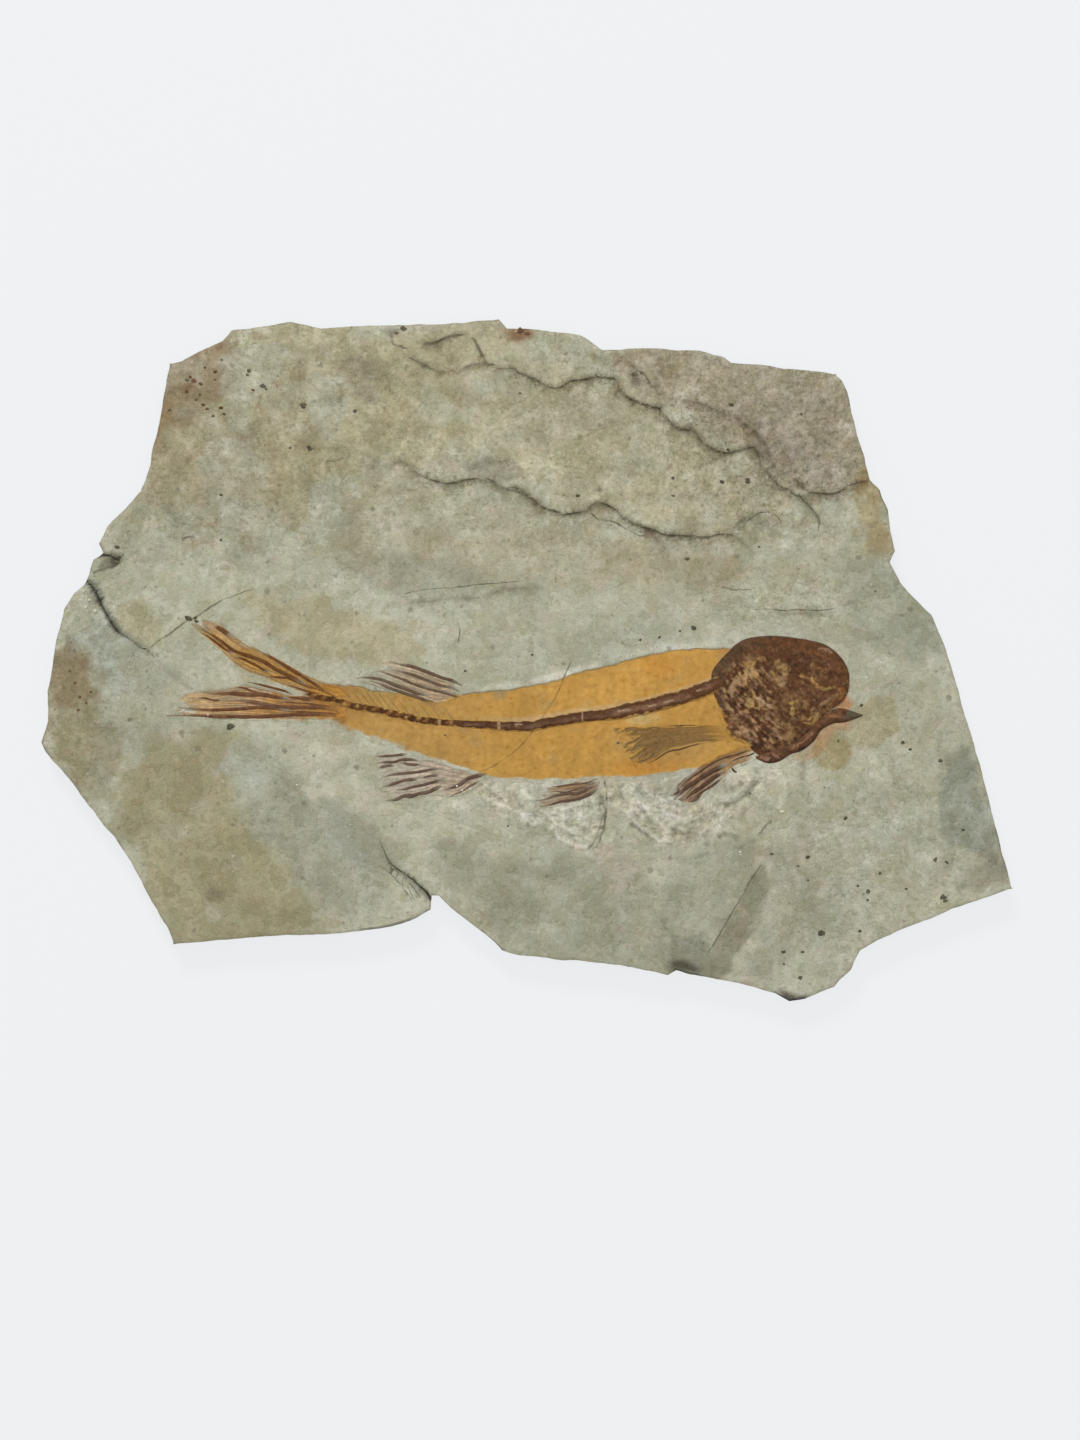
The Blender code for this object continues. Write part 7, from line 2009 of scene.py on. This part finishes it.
PALE_CRUMBS = [
    # x, y, radius
    (-29.9, -53.8, 1), (-27.7, -55.5, 0.8), (-24.3, -55, 0.9), (-20.9, -58.5, 0.8), (-17.4, -60.2, 1),
    (-14.4, -61.9, 0.8), (-37.2, -55.5, 0.8), (-137, -23.2, 0.7), (-75.9, -70.5, 0.6),
    (-98.7, -53.3, 0.6), (91.8, -82.1, 0.7), (109.9, -64.9, 1), (-26.4, -10.3, 0.6), (47.1, 7.3, 0.6),
    (-190.3, 29.7, 0.9), (-187.7, 26.2, 1.1), (-189.4, 23.2, 0.8), (-185.5, 21.5, 0.9), (-192, 26.2, 0.8),
    (-183.4, 18.1, 0.8), (-147.7, -21.5, 0.9), (92.2, -83.4, 0.7), (-68.6, -109.6, 0.7),
    (-59.6, -110.1, 0.7), (55.3, -64.9, 0.9), (59.1, -67.5, 0.8), (64.3, -64.9, 1), (70.3, -69.2, 0.8),
    (74.2, -72.2, 0.9), (48.8, -58, 0.7), (76.8, -62.4, 0.8), (83.2, -64.9, 0.7)]


def grains(name, places, colour, tall):
    """Flat ragged domes of sixteen side faces and a lid: three eight-sided rings of radius
    r level (0.65 + 0.6 dice), each ring at its own share of r above the rock."""
    centres = np.array(places)
    around = np.linspace(0, 2 * np.pi, 9)[:-1]
    levels = np.array([(1.0, -0.25), (0.85, 0.5 * tall), (0.5, tall)])
    number = np.arange(len(centres))
    reach = centres[:, 2, None, None] * levels[None, :, None, 0] * (
        0.65 + 0.6 * dice(number[:, None, None], np.arange(8)[None, None], len(name)))
    x = centres[:, 0, None, None] + reach * np.cos(around)
    y = centres[:, 1, None, None] + 0.8 * reach * np.sin(around)
    z = rock_height(x, y) + levels[None, :, None, 1] * centres[:, 2, None, None]
    block = np.arange(len(centres))[:, None] * 24
    points = np.stack([x, y, z], -1).reshape(-1, 3)
    faces = [(quads(3, 8, closed=True)[None] + block[..., None]).reshape(-1, 4),
             16 + np.arange(8)[None] + block, np.arange(8)[::-1][None] + block]
    deep = (0.75 + 0.5 * dice(number, 0, 3)).repeat(24)[:, None]
    cover = np.tile(np.repeat([0.35, 0.8, 0.95], 8), len(centres))
    return make_piece(name, points, faces, fin_finish, [], {
        "rock_tint": rock_tint(*points[:, :2].T), "own_tint": np.array(colour) * deep,
        "cover": cover})


grains("dark_grains", DARK_GRAINS, (0.105, 0.095, 0.062), 0.22)
grains("rust_grains", RUST_GRAINS, (0.118, 0.066, 0.034), 0.16)
grains("pale_crumbs", PALE_CRUMBS, (0.580, 0.550, 0.460), 0.45)

LAMINA = curve([
    (-146, -112), (-120, -110), (-80, -107), (-60, -98), (-50, -86), (-30, -92), (-8, -112), (18, -119),
    (60, -124), (95, -130), (118, -134), (130, -124), (140, -112), (165, -102), (192, -92), (190, -66),
    (180, -32), (170, 2), (158, 22), (147, 44), (144, 70), (134, 96), (122, 112), (90, 118), (40, 124),
    (-10, 132), (-60, 134), (-110, 134), (-138, 124), (-146, 100), (-150, 76), (-168, 50), (-176, 30),
    (-188, 10), (-196, -20), (-190, -46), (-170, -74), (-154, -96)], 2.5, closed=True)
inward = rim_normals(LAMINA[:-1])
x, y = LAMINA[:-1].T
lamina = [np.column_stack([LAMINA[:-1] + inward * (back + 1.2 * rough(x, y, 12, 181, 4))[:, None],
                           np.full(len(x), height)])
          for back, height in ((0.0, 0.9), (0.5, 0.45), (1.5, 0.0))]
numbers = np.arange(3 * len(x)).reshape(3, -1)
following = np.roll(numbers, -1, axis=1)
points = np.vstack(lamina)
make_piece("lowest_lamina", points, [
    np.stack([numbers[1:], following[1:], following[:-1], numbers[:-1]], -1).reshape(-1, 4),
    numbers[0][None], numbers[-1][::-1][None]], bare_shale, [], {
        # a darker grey than the slab: painted shade for this layer under the overhanging slab
        "rock_tint": np.tile((0.26, 0.24, 0.17), (len(points), 1)),
        "broken_edge": np.ones(len(points))})
